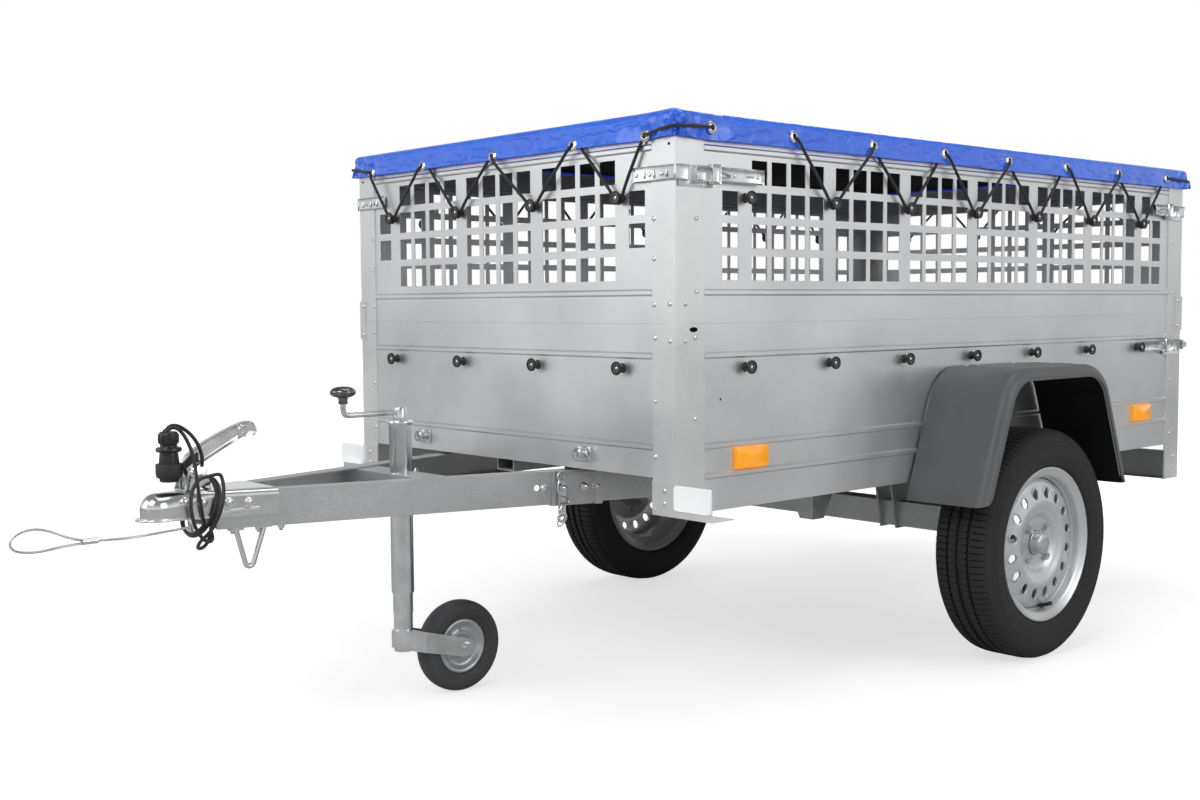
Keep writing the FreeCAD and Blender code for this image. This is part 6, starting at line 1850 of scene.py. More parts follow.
@dataclass
class Latches:
    """Over-centre latches of pressed zinc sheet at the box's corners."""

    high_z: float = 1.083
    gate_z: float = 0.702
    plate_low: float = -0.011
    plate_high: float = 0.035

    def dished(self, name: str, low: Point, high: Point, face: Point, rim: float,
               depth: float, soft: float = 0.0012) -> bpy.types.Object:
        """Press a tray: a block with its face sunk inside a rim.

        Args:
            name: Object name.
            low: Lowest corner.
            high: Highest corner.
            face: Direction of the sunk face.
            rim: Width that is left round it.
            depth: How far it is sunk.
            soft: Rounding of the edges.

        Returns:
            The tray.
        """
        item = Bench.box(name, low, high)
        way = Vector(face)
        Bench.inset(item, lambda spot, normal: normal.dot(way) > 0.9, rim, depth)
        return Bench.soften(item, soft, 2)

    def rivet(self, place: Point, face: Point, radius: float = 0.0042) -> bpy.types.Object:
        """Set one round rivet head.

        Args:
            place: Foot of the head.
            face: Direction that it stands out in.
            radius: Its radius.

        Returns:
            The head.
        """
        return Bench.lathe("rivet", [(0.0, 0.0), (radius, 0.0), (radius, radius * 0.3),
                                     (radius * 0.75, radius * 0.62), (0.0, radius * 0.75)],
                           14, place, face)

    def side(self, z: float, length: float) -> list[bpy.types.Object]:
        """Make the base plate, its window, the lever and their rivets at the left front.

        Args:
            z: Underside of the lever.
            length: Latch length from the corner.

        Returns:
            The pieces, still separate.
        """
        def x(back: float) -> float:
            """Return the place that far behind the corner."""
            return BOX_FRONT - back
        y, reach = HALF, length - 0.243
        plate = self.dished("latch_plate", (x(0.105), y, z + self.plate_low + 0.002),
                            (x(0.007), y + 0.0045, z + self.plate_high - 0.002), LEFT,
                            0.004, 0.0022)
        window = self.dished("latch_window", (x(0.092), y + 0.002, z + 0.001),
                             (x(0.046), y + 0.0150, z + 0.029), LEFT, 0.0028, 0.011)
        lever = self.dished("latch_lever", (x(0.243 + reach), y + 0.0025, z + 0.002),
                            (x(0.104), y + 0.0135, z + 0.032), LEFT, 0.0030, 0.0075)
        nose = self.dished("latch_nose", (x(0.112), y + 0.004, z - 0.003),
                           (x(0.088), y + 0.0175, z + 0.036), LEFT, 0.005, 0.004)
        pieces = [plate, window, lever, nose]
        deep = y + 0.0062
        for back in (0.163, 0.230 + reach):
            pieces.append(self.rivet((x(back), deep, z + 0.017), LEFT))
        pieces.append(self.rivet((x(0.058), y + 0.0042, z + 0.014), LEFT, 0.0034))
        pieces.append(Bench.wire("latch_wire", [
            (x(0.118), deep + 0.003, z + 0.021), (x(0.128), deep + 0.003, z + 0.022),
            (x(0.142), deep + 0.003, z + 0.017), (x(0.152), deep + 0.003, z + 0.016),
            (x(0.144), deep + 0.003, z + 0.011), (x(0.126), deep + 0.003, z + 0.012)],
            0.0017))
        for back in (0.196, 0.208):
            rib = Bench.rod("latch_rib", 0.0024, (x(back + 0.010 + reach), deep, z + 0.017),
                            (x(back + reach), deep, z + 0.017), 10)
            pieces.append(rib)
        return pieces

    def strap(self, z: float) -> list[bpy.types.Object]:
        """Make the strap that holds the latch round the corner.

        Args:
            z: Underside of the latch's lever.

        Returns:
            The pieces, still separate.
        """
        x, low, high = BOX_FRONT, z + 0.002, z + 0.032
        front = self.dished("strap_front", (x, HALF - 0.116, low),
                            (x + 0.0050, HALF + 0.004, high), AHEAD, 0.0026, 0.0028, 0.0008)
        side = self.dished("strap_side", (x - 0.034, HALF, low),
                           (x + 0.004, HALF + 0.0060, high), LEFT, 0.0026, 0.0028, 0.0008)
        pieces = [front, side]
        face = x + 0.0024
        for along in (0.106, 0.068, 0.034):
            pieces.append(self.rivet((face, HALF - along, z + 0.016), AHEAD, 0.0046))
        oval = Bench.lathe("strap_oval", mm((0, 0), (5.2, 0), (4.6, 1.6), (2.4, 2.4), (0, 2.6)),
                           14)
        pieces.append(Bench.copies("strap_ovals", oval, [
            turn_to(AHEAD, (face, HALF - along, z + 0.016))
            @ Matrix.Diagonal((0.55, 1.7, 1.0, 1.0)) for along in (0.082, 0.055, 0.020)]))
        return pieces

    def build(self) -> None:
        """Make the front, rear and tailgate latches on both sides."""
        flip = Matrix.Translation((MIDDLE, 0, 0)) @ Matrix.Scale(-1, 4, AHEAD) \
            @ Matrix.Translation((-MIDDLE, 0, 0))
        front = Bench.join("latch_front", self.side(self.high_z, 0.243)
                           + self.strap(self.high_z))
        rear = Bench.join("latch_rear", self.side(self.high_z, 0.180)
                          + self.strap(self.high_z))
        gate = Bench.join("latch_gate", self.side(self.gate_z, 0.243))
        for name, master, place, nodes in (
                ("latches_front", front, Matrix.Identity(4), ("corner_latches",)),
                ("latches_rear", rear, flip, ()), ("latches_gate", gate, flip, ())):
            finish(Bench.copies(name, master, (place, place @ ACROSS)), Shade.ZINC, "box",
                   "bright_zinc", nodes)


@dataclass
class BoxTrim:
    """Rivets, slots and reflectors of the box."""

    rivet_r: float = 0.0050
    amber: tuple[float, float, float] = (0.097, 0.008, 0.043)

    def head(self) -> bpy.types.Object:
        """Turn one blind rivet head along +Z.

        Returns:
            The head, at the origin.
        """
        r = self.rivet_r
        return Bench.lathe("rivet_master", [(0.0, 0.0), (r, 0.0), (r * 0.98, r * 0.22),
                                            (r * 0.72, r * 0.46), (r * 0.34, r * 0.52),
                                            (r * 0.28, r * 0.34), (0.0, r * 0.34)], 14)

    def rivets(self) -> None:
        """Set the rivets of the posts and joiners on all four corners."""
        spots = []
        for hand in (1, -1):
            front = [(0.057, z) for z in (0.780, 0.655, 0.545, 0.440)]
            front += [(0.0585, z) for z in (1.013, 0.935, 0.845)]
            side = [(0.054, z) for z in (0.780, 0.620, 0.465)]
            side += [(0.058, z) for z in (1.013, 0.870)]
            for inset, z in front:
                spots.append(turn_to(AHEAD, (BOX_FRONT, hand * (HALF - inset), z)))
                if z > 0.83:
                    spots.append(turn_to((-1, 0, 0), (BOX_REAR, hand * (HALF - inset), z)))
            for inset, z in side:
                for end, way in ((BOX_FRONT, -1), (BOX_REAR, 1)):
                    spots.append(turn_to((0, hand, 0), (end + way * inset, hand * HALF, z)))
            for z in (0.774, 0.846):
                spots += [turn_to((0, hand, 0), (x, hand * (HALF + 0.003), z))
                          for x in (BOX_FRONT - 0.024, BOX_REAR + 0.024)]
                spots.append(turn_to(AHEAD, (BOX_FRONT + 0.003, hand * (HALF - 0.012), z)))
            spots += [turn_to((0, hand, 0), (BOX_REAR + 0.030, hand * HALF, z))
                      for z in (0.395, 0.365)]
            spots += [turn_to(AHEAD, (BOX_FRONT + 0.002, hand * (HALF - 0.030), z))
                      for z in (0.455, 0.480)]
        finish(Bench.copies("post_rivets", self.head(), spots), Shade.BOLT, "box",
               "bright_zinc")

    def slots(self) -> None:
        """Mark the slots and the small holes in the posts with near-black discs of painted shade.
        """
        spots = []
        for hand in (1, -1):
            for x, z, wide, high in ((BOX_FRONT - 0.050, 0.796, 0.011, 0.005),
                                     (BOX_FRONT - 0.024, 0.452, 0.006, 0.006),
                                     (BOX_FRONT - 0.060, 0.443, 0.003, 0.003),
                                     (BOX_FRONT - 0.129, 0.655, 0.0022, 0.0022)):
                face = HALF if x > BOX_FRONT - 0.08 else PANEL
                spots.append(turn_to((0, hand, 0), (x, hand * face, z))
                             @ Matrix.Diagonal((wide, high, 1.0, 1.0)))
            spots.append(turn_to(AHEAD, (BOX_FRONT, hand * (HALF - 0.016), 1.155))
                         @ Matrix.Diagonal((0.003, 0.003, 1.0, 1.0)))
        disc = Bench.lathe("slot", [(0.0, 0.0), (1.0, 0.0), (1.0, 0.0004), (0.0, 0.0004)], 18)
        finish(Bench.copies("post_slots", disc, spots), Shade.DARK, "box", "black_rubber")

    def reflectors(self) -> None:
        """Make the front lenses and the amber side lenses."""
        lens = Bench.box("front_lens", (BOX_FRONT + 0.002, HALF + 0.001, 0.445),
                         (BOX_FRONT + 0.008, HALF + 0.098, 0.494))
        Bench.pick(lens, "EDGE", lambda a, b: abs(a.x - b.x) > 0.003)
        bpy.ops.mesh.bevel(offset=0.007, segments=5)
        Bench.inset(lens, lambda spot, normal: normal.x > 0.9, 0.0022, 0.0008)
        Bench.soften(lens, 0.0005, 2)
        finish(Bench.mirror_y(lens), Shade.WHITE, "box", "white_reflector",
               ("white_reflectors",))
        long, thick, high = self.amber
        pieces = []
        for back in (0.217, 1.838):
            x = BOX_FRONT - back
            lens = Bench.box("side_lens", (x - long / 2, PANEL, 0.512),
                             (x + long / 2, PANEL + thick, 0.512 + high))
            Bench.pick(lens, "EDGE", lambda a, b: abs(a.y - b.y) > 0.004)
            bpy.ops.mesh.bevel(offset=0.003, segments=3)
            Bench.inset(lens, lambda spot, normal: normal.y > 0.9, 0.0030, -0.0012)
            Bench.soften(lens, 0.0008, 2)
            pieces.append(lens)
        finish(Bench.mirror_y(Bench.join("side_lenses", pieces)), Shade.AMBER, "box",
               "amber_reflector", ("side_reflectors",))

    def build(self) -> None:
        """Make all trim of the box."""
        self.rivets()
        self.slots()
        self.reflectors()


# Wheels


@dataclass
class Wheel:
    """Road wheel about +Y at the origin: treaded tyre, pressed rim, bolts and cap."""

    sectors: int = 112
    groove: float = 0.2660
    crown: float = 0.2735
    vents: int = 16
    vent_circle: float = 0.121
    face: float = 0.034

    def carcass(self) -> bpy.types.Object:
        """Turn the tyre's body: beads, ringed sidewalls and the floor of the tread.

        Returns:
            The tyre's body.
        """
        half = [(0.1665, 0.0535), (0.1840, 0.0600), (0.1860, 0.0632), (0.1905, 0.0690),
                (0.1935, 0.0712), (0.1945, 0.0722), (0.1965, 0.0722), (0.1975, 0.0728),
                (0.2060, 0.0752), (0.2066, 0.0760), (0.2080, 0.0762), (0.2086, 0.0756),
                (0.2180, 0.0768), (0.2330, 0.0760), (0.2336, 0.0767), (0.2352, 0.0765),
                (0.2358, 0.0755), (0.2450, 0.0726), (0.2455, 0.0731), (0.2470, 0.0727),
                (0.2474, 0.0718), (0.2560, 0.0675), (0.2600, 0.0640), (0.2618, 0.0590),
                (0.2635, 0.0480), (self.groove, 0.0300), (self.groove, 0.0)]
        outline = [(r, -y) for r, y in half] + [(r, y) for r, y in half[-2::-1]]
        outline += [(0.1665, 0.0), outline[0]]
        return Bench.lathe("carcass", outline, 112, along=LEFT)

    def lugs(self) -> bpy.types.Object:
        """Cut one pitch of the tread and repeat it round the tyre.

        Returns:
            The tread.
        """
        step = 2 * math.pi * self.crown / self.sectors
        near, far = -step / 2, step / 2
        low, top = self.groove - 0.0015, self.crown
        pieces = []
        for side in (1, -1):
            shape = [(near + 0.0013, side * y, z) for y, z in (
                (0.0300, low), (0.0303, top), (0.0400, top - 0.0004), (0.0520, top - 0.0022),
                (0.0600, top - 0.0060), (0.0650, top - 0.0115), (0.0640, top - 0.0175))]
            pieces.append(Bench.prism("shoulder", shape, (step - 0.0026, 0, 0)))
            plan = [(near + 0.0004, side * 0.0045), (-0.0005, side * 0.0070),
                    (far - 0.0010, side * 0.0045), (far - 0.0010, side * 0.0215),
                    (0.0000, side * 0.0245), (near + 0.0004, side * 0.0215)]
            pieces.append(Bench.prism("rib", [(a, y, low) for a, y in plan],
                                      (0, 0, top - low)))
        pitch = Bench.join("pitch", pieces)
        return Bench.copies("tread", pitch, around(self.sectors))

    def barrel(self) -> bpy.types.Object:
        """Turn the stepped rim barrel with its rolled flanges.

        Returns:
            The barrel.
        """
        outline = mm((179, -66), (183, -65), (183.8, -63), (182.6, -61), (166, -56), (164, -53),
                     (164, -40), (147, -29), (146, -26), (146, 4), (147, 8), (164, 22),
                     (164, 53), (166, 56), (182.6, 61), (183.8, 63.5), (182.6, 65.6),
                     (179.6, 66), (177, 64), (170, 60), (164, 57.5), (161, 54.5), (160.2, 52),
                     (160, 40), (158, 38.5), (156.6, 35), (156.6, 24), (143, 10), (142, 6),
                     (142, -27), (144, -33), (160, -43), (160, -55), (177, -64), (179, -66))
        return Bench.lathe("rim_barrel", outline, 96, along=LEFT)

    def disc(self) -> bpy.types.Object:
        """Press the dished disc and punch its oval vents.

        Returns:
            The disc.
        """
        front = mm((31, 0), (48, 0), (60, 0.6), (64, 2.2), (69, 6.8), (74, 9.8), (79, 11),
                   (83, 12.4), (90, 16.2), (96, 17.6), (104, 17), (116, 12.8), (128, 10),
                   (138, 8.6), (145, 7), (150, 3.6), (155, -3), (158, -11))
        outline = [(r, self.face + y) for r, y in front]
        outline += [(r, self.face + y - 0.0036) for r, y in reversed(front)]
        outline.append(outline[0])
        disc = Bench.lathe("rim_disc", outline, 128, along=LEFT)
        punch = Bench.rod("punch", 1.0, (0, 0.0, 0), (0, 0.07, 0), 24)
        oval = Matrix.Translation((0, 0, self.vent_circle)) \
            @ Matrix.Diagonal((0.0100, 1.0, 0.0135, 1.0))
        cutter = Bench.copies("punches", punch, [
            spin @ oval for spin in around(self.vents, start=0.5)])
        Bench.modify(disc, "BOOLEAN", operation="DIFFERENCE", object=cutter, solver="EXACT")
        Bench.drop(cutter)
        Bench.soften(disc, 0.0009, 2, 50.0)
        return disc

    def vent_lips(self) -> bpy.types.Object:
        """Raise a thin rolled lip round each vent.

        Returns:
            The lips.
        """
        path = []
        for index in range(24):
            angle = 2 * math.pi * index / 24
            path.append((0.0110 * math.cos(angle), self.face + 0.0118,
                         self.vent_circle + 0.0145 * math.sin(angle)))
        lip = Bench.wire("lip", path + path[:1], 0.0012, 1, 0)
        return Bench.copies("vent_lips", lip, around(self.vents, start=0.5))

    def hub(self) -> bpy.types.Object:
        """Turn the hub, its dust cap and four bolts with seats.

        Returns:
            The hub with its cap and bolts.
        """
        flange = Bench.lathe("hub_flange", mm(
            (15.1, -58), (30, -58), (36, 0), (58, 21), (58, 29.8), (15.1, 29.8),
            (15.1, -58)), 48, along=LEFT)
        cap = Bench.lathe("dust_cap", mm(
            (0, 32), (28.5, 32), (29, 34.5), (28.5, 37.2), (26.2, 37.6), (25.6, 39.5),
            (25.4, 52), (23.6, 56), (19, 58.4), (10, 59.6), (0, 59.8)), 40, along=LEFT)
        bolt = Bench.lathe("bolt_seat", mm(
            (0, 32), (12.5, 34), (12.5, 35.6), (11.2, 37.2), (0, 37.2)), 24, along=LEFT)
        head = Bench.rod("bolt_head", 0.0094, (0, 0.0365, 0), (0, 0.0470, 0), 6)
        Bench.inset(head, lambda spot, normal: normal.y > 0.9, 0.0028, 0.0016)
        Bench.soften(head, 0.0007, 2)
        bolt = Bench.join("bolt", [bolt, head])
        spots = [spin @ Matrix.Translation((0, 0, 0.050)) for spin in around(4, start=0.5)]
        return Bench.join("hub_set", [flange, cap, Bench.copies("bolts", bolt, spots)])

    def valve(self) -> bpy.types.Object:
        """Set the rubber valve through the rim, low on the left of its face.

        Returns:
            The valve.
        """
        angle = math.radians(-8)
        way = Vector((math.sin(angle), 0, -math.cos(angle)))
        foot = way * 0.1565 + Vector((0, 0.034, 0))
        lean = Vector(LEFT) - way * 0.35
        return Bench.lathe("valve", mm(
            (0, -6), (7, -6), (6.6, 1), (4.6, 8), (4.4, 22), (5.2, 24), (5, 34),
            (0, 35)), 16, foot, lean)

    def build(self) -> None:
        """Make the left wheel and its mirror image."""
        tyre = Bench.join("tyre_set", [self.carcass(), self.lugs()])
        rim = Bench.join("rim_set", [self.barrel(), self.disc(), self.vent_lips()])
        hub, valve = self.hub(), self.valve()
        for side, hand in (("left", 1), ("right", -1)):
            place = Matrix.Translation((AXLE_X, hand * WHEEL_Y, TYRE_R)) \
                @ Matrix.Scale(hand, 4, LEFT)
            body = side + "_wheel"
            for part, item, shade, slot, node in (
                    ("tyre", tyre, Shade.TYRE, "tyre_rubber", "tyre_"),
                    ("rim", rim, Shade.RIM, "silver_paint", "rim_"),
                    ("hub", hub, Shade.HUB, "black_paint", "hub_"),
                    ("valve", valve, Shade.PLASTIC, "tyre_rubber", None)):
                piece = Bench.copies("%s_%s_road" % (part, side), item, (place,),
                                     keep=True)
                finish(piece, shade, body, slot, (node + side,) if node else (), 34)
        Bench.drop(tyre, rim, hub, valve)


@dataclass
class Mudguard:
    """Thermoformed mudguard: one arched shell with a rounded edge and an inner lip."""

    foot: float = 0.317
    crown: float = 0.200
    low: float = 0.392
    top: float = 0.692
    bend: float = 0.104
    wide: float = 0.2037
    edge: float = 0.019
    lip: float = 0.024
    sheet: float = 0.0035
    corner: float = 0.042
    beads: Flat = (0.070, 0.125)
    bead_half: Flat = (0.150, 0.024)
    bead_deep: float = 0.0015

    def run(self, part: float) -> tuple[float, float, float, float]:
        """Return the arch's place and outward direction at a part of its length.

        Args:
            part: -0.5 at the rear foot to 0.5 at the front foot.

        Returns:
            Distance from the axle line and height, then the outward direction.
        """
        rise, slope = self.top - self.low, self.foot - self.crown
        angle = math.atan2(rise, slope)
        cut = self.bend * math.tan(angle / 2)
        leg = math.hypot(rise, slope) - cut
        flat, arc = self.crown - cut, self.bend * angle
        total = 2 * (leg + flat + arc)
        way = 1.0 if part >= 0 else -1.0
        go = abs(part) * total
        if go <= flat:
            return way * go, self.top, 0.0, 1.0
        if go <= flat + arc:
            turn = (go - flat) / self.bend
            return way * (flat + self.bend * math.sin(turn)), \
                self.top - self.bend * (1 - math.cos(turn)), way * math.sin(turn), \
                math.cos(turn)
        down = go - flat - arc
        start = flat + self.bend * math.sin(angle)
        high = self.top - self.bend * (1 - math.cos(angle))
        return way * (start + down * math.cos(angle)), high - down * math.sin(angle), \
            way * math.sin(angle), math.cos(angle)

    def drape(self, u: float, v: float) -> Point:
        """Turn a place on the flat blank into its place on the left mudguard.

        Args:
            u: Place along, from -0.5 at the rear foot to 0.5 at the front foot.
            v: Place across, from -0.5 at the box to 0.5 at the mouth's lip.

        Returns:
            The point.
        """
        flat, arc = self.wide - self.edge, self.edge * math.pi / 2
        whole = flat + arc + self.lip - self.edge
        go = (v + 0.5) * whole
        past = max(0.0, go - (whole - self.corner)) / self.corner
        x, z, out_x, out_z = self.run(u * (1 - self.corner * 1.6 * (
            1 - math.sqrt(1 - min(past, 1.0) ** 2))))
        if go <= flat:
            y, drop = go, 0.0
            if abs(x) < self.bead_half[0] and z > self.top - 0.02 \
                    and min(abs(y - bead) for bead in self.beads) < self.bead_half[1]:
                drop = -self.bead_deep
        elif go <= flat + arc:
            turn = (go - flat) / self.edge
            y, drop = flat + self.edge * math.sin(turn), self.edge * (1 - math.cos(turn))
        else:
            y, drop = self.wide, self.edge + go - flat - arc
        return AXLE_X + x - out_x * drop, HALF + 0.0013 + y, z - out_z * drop

    def shaded_inner_face(self, u: float, v: float) -> Point:
        """Find a place on the near-black sheet of painted shade inside the shell.

        Args:
            u: Place along, as for drape.
            v: Place across, as for drape.

        Returns:
            The point.
        """
        x, y, z = self.drape(u * 0.995, v * 0.985 - 0.005)
        deep = self.sheet + 0.0012
        _, _, out_x, out_z = self.run(u)
        side = max(0.0, min(1.0, (y - HALF - self.wide + self.edge) / self.edge))
        inward = math.cos(side * math.pi / 2)
        return x - out_x * deep * inward, y - deep * math.sin(side * math.pi / 2), \
            z - out_z * deep * inward

    def build(self) -> None:
        """Make both mudguards with painted shade inside, the rolled rims of their mouths and
        bolts.
        """
        shell = Bench.cloth("mudguard", 120, 64, self.drape)
        Bench.modify(shell, "SOLIDIFY", thickness=self.sheet, offset=1.0)
        # A near-black sheet inside the shell is painted shade on the grey plastic.
        inner = Bench.cloth("guard_lining", 60, 32, self.shaded_inner_face)
        Bench.modify(inner, "SOLIDIFY", thickness=0.0008, offset=1.0)
        finish(Bench.mirror_y(inner), Shade.LINING, "box", "grey_plastic", (), 60)
        rim = [self.drape(step / 60 - 0.5, 0.5) for step in range(61)]
        rolled = Bench.wire("guard_rim", [(x, y - 0.0016, z) for x, y, z in rim], 0.0019, 2)
        for node, place in (("mudguard_left", Matrix.Identity(4)),
                            ("mudguard_right", ACROSS)):
            copy = Bench.copies(node + "_shell", shell, (place,), keep=True)
            finish(copy, Shade.GUARD, "box", "grey_plastic", (node,), 50)
        # The rolled rim is lighter than the shell: a painted highlight along the lip.
        finish(Bench.mirror_y(rolled), Shade.GUARD_EDGE, "box", "grey_plastic")
        pieces = [Coupling.head((AXLE_X + along, HALF + 0.026, self.top - 0.0002), UP,
                                0.0062) for along in (-0.085, 0.070, 0.118)]
        finish(Bench.mirror_y(Bench.join("guard_bolts", pieces)), Shade.BOLT, "box",
               "bright_zinc")
        Bench.drop(shell)


@dataclass
class JockeyWheel:
    """Small solid wheel with a ribbed disc between the prongs of its fork."""

    centre: Point = (JOCKEY_X, 0, JOCKEY_R)

    def build(self) -> None:
        """Make the tyre and the disc with its studs."""
        place = self.centre
        half = mm((60, 17), (62.5, 20.5), (70, 22.8), (70.4, 23.6), (71.8, 23.8), (72.3, 23),
                  (86, 25), (91.5, 23.8), (95.5, 20.5), (98, 15), (99.5, 8), (100, 0))
        outline = [(r, -y) for r, y in half] + [(r, y) for r, y in half[-2::-1]]
        outline += [(0.0600, 0.0), outline[0]]
        tyre = Bench.lathe("jockey_tyre_body", outline, 72, place, LEFT)
        finish(tyre, Shade.SMALL_TYRE, "caster_wheel", "black_rubber", ("jockey_tyre",))
        front = mm((7.2, 29), (15, 29), (16, 27.8), (16.5, 11), (18, 9.5), (24, 10), (26.2, 12),
                   (30, 12), (32.2, 9.5), (40, 8), (45, 9.8), (50, 15), (54, 18), (57, 18.2),
                   (59.4, 16.5), (59.7, 0))
        outline = [(r, -y) for r, y in front] + [(r, y) for r, y in front[-2::-1]]
        outline.append(outline[0])
        disc = Bench.lathe("jockey_disc", outline, 64, place, LEFT)
        stud = Bench.rod("stud", 0.0030, (0, 0.0090, 0), (0, 0.0118, 0), 10)
        studs = Bench.copies("studs", stud, [
            Matrix.Translation(place) @ Matrix.Scale(hand, 4, LEFT) @ turn
            @ Matrix.Translation((0, 0, 0.0365)) for turn in around(8) for hand in (1, -1)])
        finish(Bench.join("jockey_disc_set", [disc, studs]), Shade.SMALL_RIM, "caster_wheel",
               "black_plastic", ("jockey_rim",))


# Drawbar fittings


@dataclass
class Housing:
    """Pressed coupling shell: a dome over the ball that widens into a channel."""

    ball: float = NOSE - 0.038
    radius: float = 0.0293
    tip: float = ARM_TIP + 0.006
    gap: float = 0.0043
    flange: float = 0.0065
    sheet: float = 0.0030
    flange_end: float = 1.338
    crown: float = 0.7

    def __post_init__(self) -> None:
        """Read the shell's ends and heights from the CAD node."""
        low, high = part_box("coupling_housing")
        self.tail, self.top = low[0], high[2]
        self.lip = high[0] - self.ball
        self.eye = self.top - self.radius
        self.low = self.top - 0.051
        self.arc = self.radius * math.pi / 2

    def half(self, x: float) -> float:
        """Work out the shell's width behind the ball.

        Args:
            x: Place along the trailer.

        Returns:
            Half the width.
        """
        if x <= self.tip:
            return arm_face(x) + self.gap
        wide = arm_face(self.tip) + self.gap
        part = (self.ball - x) / (self.ball - self.tip)
        return self.radius + (wide - self.radius) * part * part * (2.2 - 1.2 * part)

    def drape(self, u: float, v: float) -> Point:
        """Turn a place on the flat blank into its place on the pressed shell.

        Args:
            u: Place along, from -0.5 at the nose to 0.5 at the tail.
            v: Place across, 0 on the crest and 0.5 at the lower edge.

        Returns:
            The point.
        """
        run = (u + 0.5) * (self.arc + self.ball - self.tail)
        if run < self.arc:
            turn = run / self.radius
            x = self.ball + self.radius * math.cos(turn)
            half = tall = self.radius * math.sin(turn)
            square = 2.0
        else:
            x = self.ball - (run - self.arc)
            half, tall = self.half(x), self.radius
            part = min(1.0, (self.ball - x) / 0.085)
            square = 2.0 + 6.0 * part * part
        share, side = min(1.0, abs(v) * 2), math.copysign(1.0, v)
        if share < self.crown:
            angle = share / self.crown * math.pi / 2
            return x, side * half * math.sin(angle) ** (2 / square), \
                self.eye + tall * math.cos(angle) ** (2 / square)
        down = (share - self.crown) / (1 - self.crown)
        return x, side * half, self.eye - down * (self.eye - self.low)

    def rim(self) -> list[Point]:
        """Draw the flange at the shell's lower edge.

        Returns:
            Its corners in order.
        """
        near = []
        for step in range(13):
            turn = math.pi / 2 * step / 12
            near.append((self.ball + self.lip * math.cos(turn), self.lip * math.sin(turn)))
        for step in range(1, 15):
            x = self.ball - (self.ball - self.flange_end) * step / 14
            wide = max(self.half(x) + self.flange, self.lip - 0.0010 * step)
            near.append((x, wide))
        near.append((self.flange_end - 0.004, near[-1][1] - 0.0040))
        far = [(x, self.half(min(x, self.ball)) - 0.0035) for x, _ in near if x < self.ball]
        inner = [(self.ball + (self.radius - 0.0035) * math.cos(math.pi / 2 * step / 8),
                  (self.radius - 0.0035) * math.sin(math.pi / 2 * step / 8))
                 for step in range(9)]
        return [(x, y, self.low) for x, y in near + far[::-1] + inner[::-1]]

    def build(self) -> None:
        """Make the shell, its flange and the rope's lug."""
        shell = Bench.cloth("housing_shell", 90, 72, self.drape)
        Bench.modify(shell, "SOLIDIFY", thickness=self.sheet, offset=1.0)
        flange = Bench.prism("housing_flange", self.rim(), (0, 0, 0.0038))
        Bench.soften(flange, 0.0010, 2)
        flange = Bench.mirror_y(flange)
        lug = Bench.box("rope_lug", (NOSE - 0.088, 0.0400, 0.4285),
                        (NOSE - 0.080, 0.0520, self.low + 0.002))
        Bench.soften(lug, 0.0015, 2)
        bead = [(x, self.half(x) + 0.0015, 0.4600 + (1.340 - x) * 0.05)
                for x in (1.340, 1.310, 1.280, 1.256)]
        beads = Bench.mirror_y(Bench.wire("housing_bead", bead, 0.0042, 3))
        finish(Bench.join("housing", [shell, flange, lug, beads]), Shade.CHROME, "drawbar",
               "bright_zinc", ("coupling_housing",), 50.0)


@dataclass
class Coupling:
    """Bolts of the ball coupling."""

    bolts: tuple[Flat, ...] = ((0.0775, 0.4840), (0.1095, 0.4805), (0.154, 0.4783),
                               (0.190, 0.4765))

    @staticmethod
    def head(place: Point, along: Point, radius: float,
             nut: bool = False) -> bpy.types.Object:
        """Make a bolt's washer with a round head or a hex nut and its thread end.

        Args:
            place: Foot of the washer.
            along: Direction that the head stands out in.
            radius: Head radius.
            nut: Make a hex nut with a stub of thread.

        Returns:
            The piece.
        """
        washer = Bench.lathe("washer", [
            (0.0, 0.0), (radius * 1.2, 0.0), (radius * 1.2, 0.0012), (radius * 1.1, 0.0018),
            (0.0, 0.0018)], 24, place, along)
        way = Vector(along).normalized()
        foot = Vector(place) + way * 0.0016
        if not nut:
            top = Bench.lathe("round_head", [
                (0.0, 0.0), (radius, 0.0), (radius, radius * 0.30), (radius * 0.80, radius * 0.55),
                (radius * 0.40, radius * 0.68), (0.0, radius * 0.70)], 24, foot, along)
            return Bench.join("bolt", [washer, top])
        body = Bench.rod("nut", radius, foot, foot + way * radius * 0.85, 6)
        Bench.soften(body, radius * 0.10, 2)
        thread = Bench.lathe("thread", [(0.0, 0.0)] + [
            (radius * (0.52 if step % 2 else 0.58), radius * (0.85 + 0.10 * step))
            for step in range(8)] + [(0.0, radius * 1.65)], 14, foot, along)
        return Bench.join("nut_set", [washer, body, thread])

    def build(self) -> None:
        """Make the coupling's small pieces."""
        pieces = []
        for back, z in self.bolts:
            for hand in (1, -1):
                foot = touch("coupling_housing", (NOSE - back, hand * 0.2, z),
                             (0, -hand, 0))
                pieces.append(self.head(foot, (0, hand, 0), 0.0082))
        finish(Bench.join("coupling_bolts", pieces), Shade.BOLT, "drawbar", "bright_zinc")


@dataclass
class Jack:
    """Collar at the top of the jack's tube."""

    tube_r: float = 0.0240

    def build(self) -> None:
        """Turn the collar to the CAD tube's size."""
        low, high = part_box("jack_tube")
        radius, top = min((high[1] - low[1]) / 2, self.tube_r), high[2]
        collar = Bench.lathe("jack_collar", [
            (radius - 0.001, top - 0.0100), (radius + 0.0022, top - 0.0094),
            (radius + 0.0034, top - 0.0070), (radius + 0.0034, top - 0.0030),
            (radius + 0.0020, top - 0.0008), (radius - 0.004, top + 0.0004),
            (radius - 0.006, top + 0.0002), (radius - 0.006, top - 0.0100),
            (radius - 0.001, top - 0.0100)], 40, (JACK_X, 0, 0))
        finish(collar, Shade.TUBE, "drawbar", "bright_zinc")


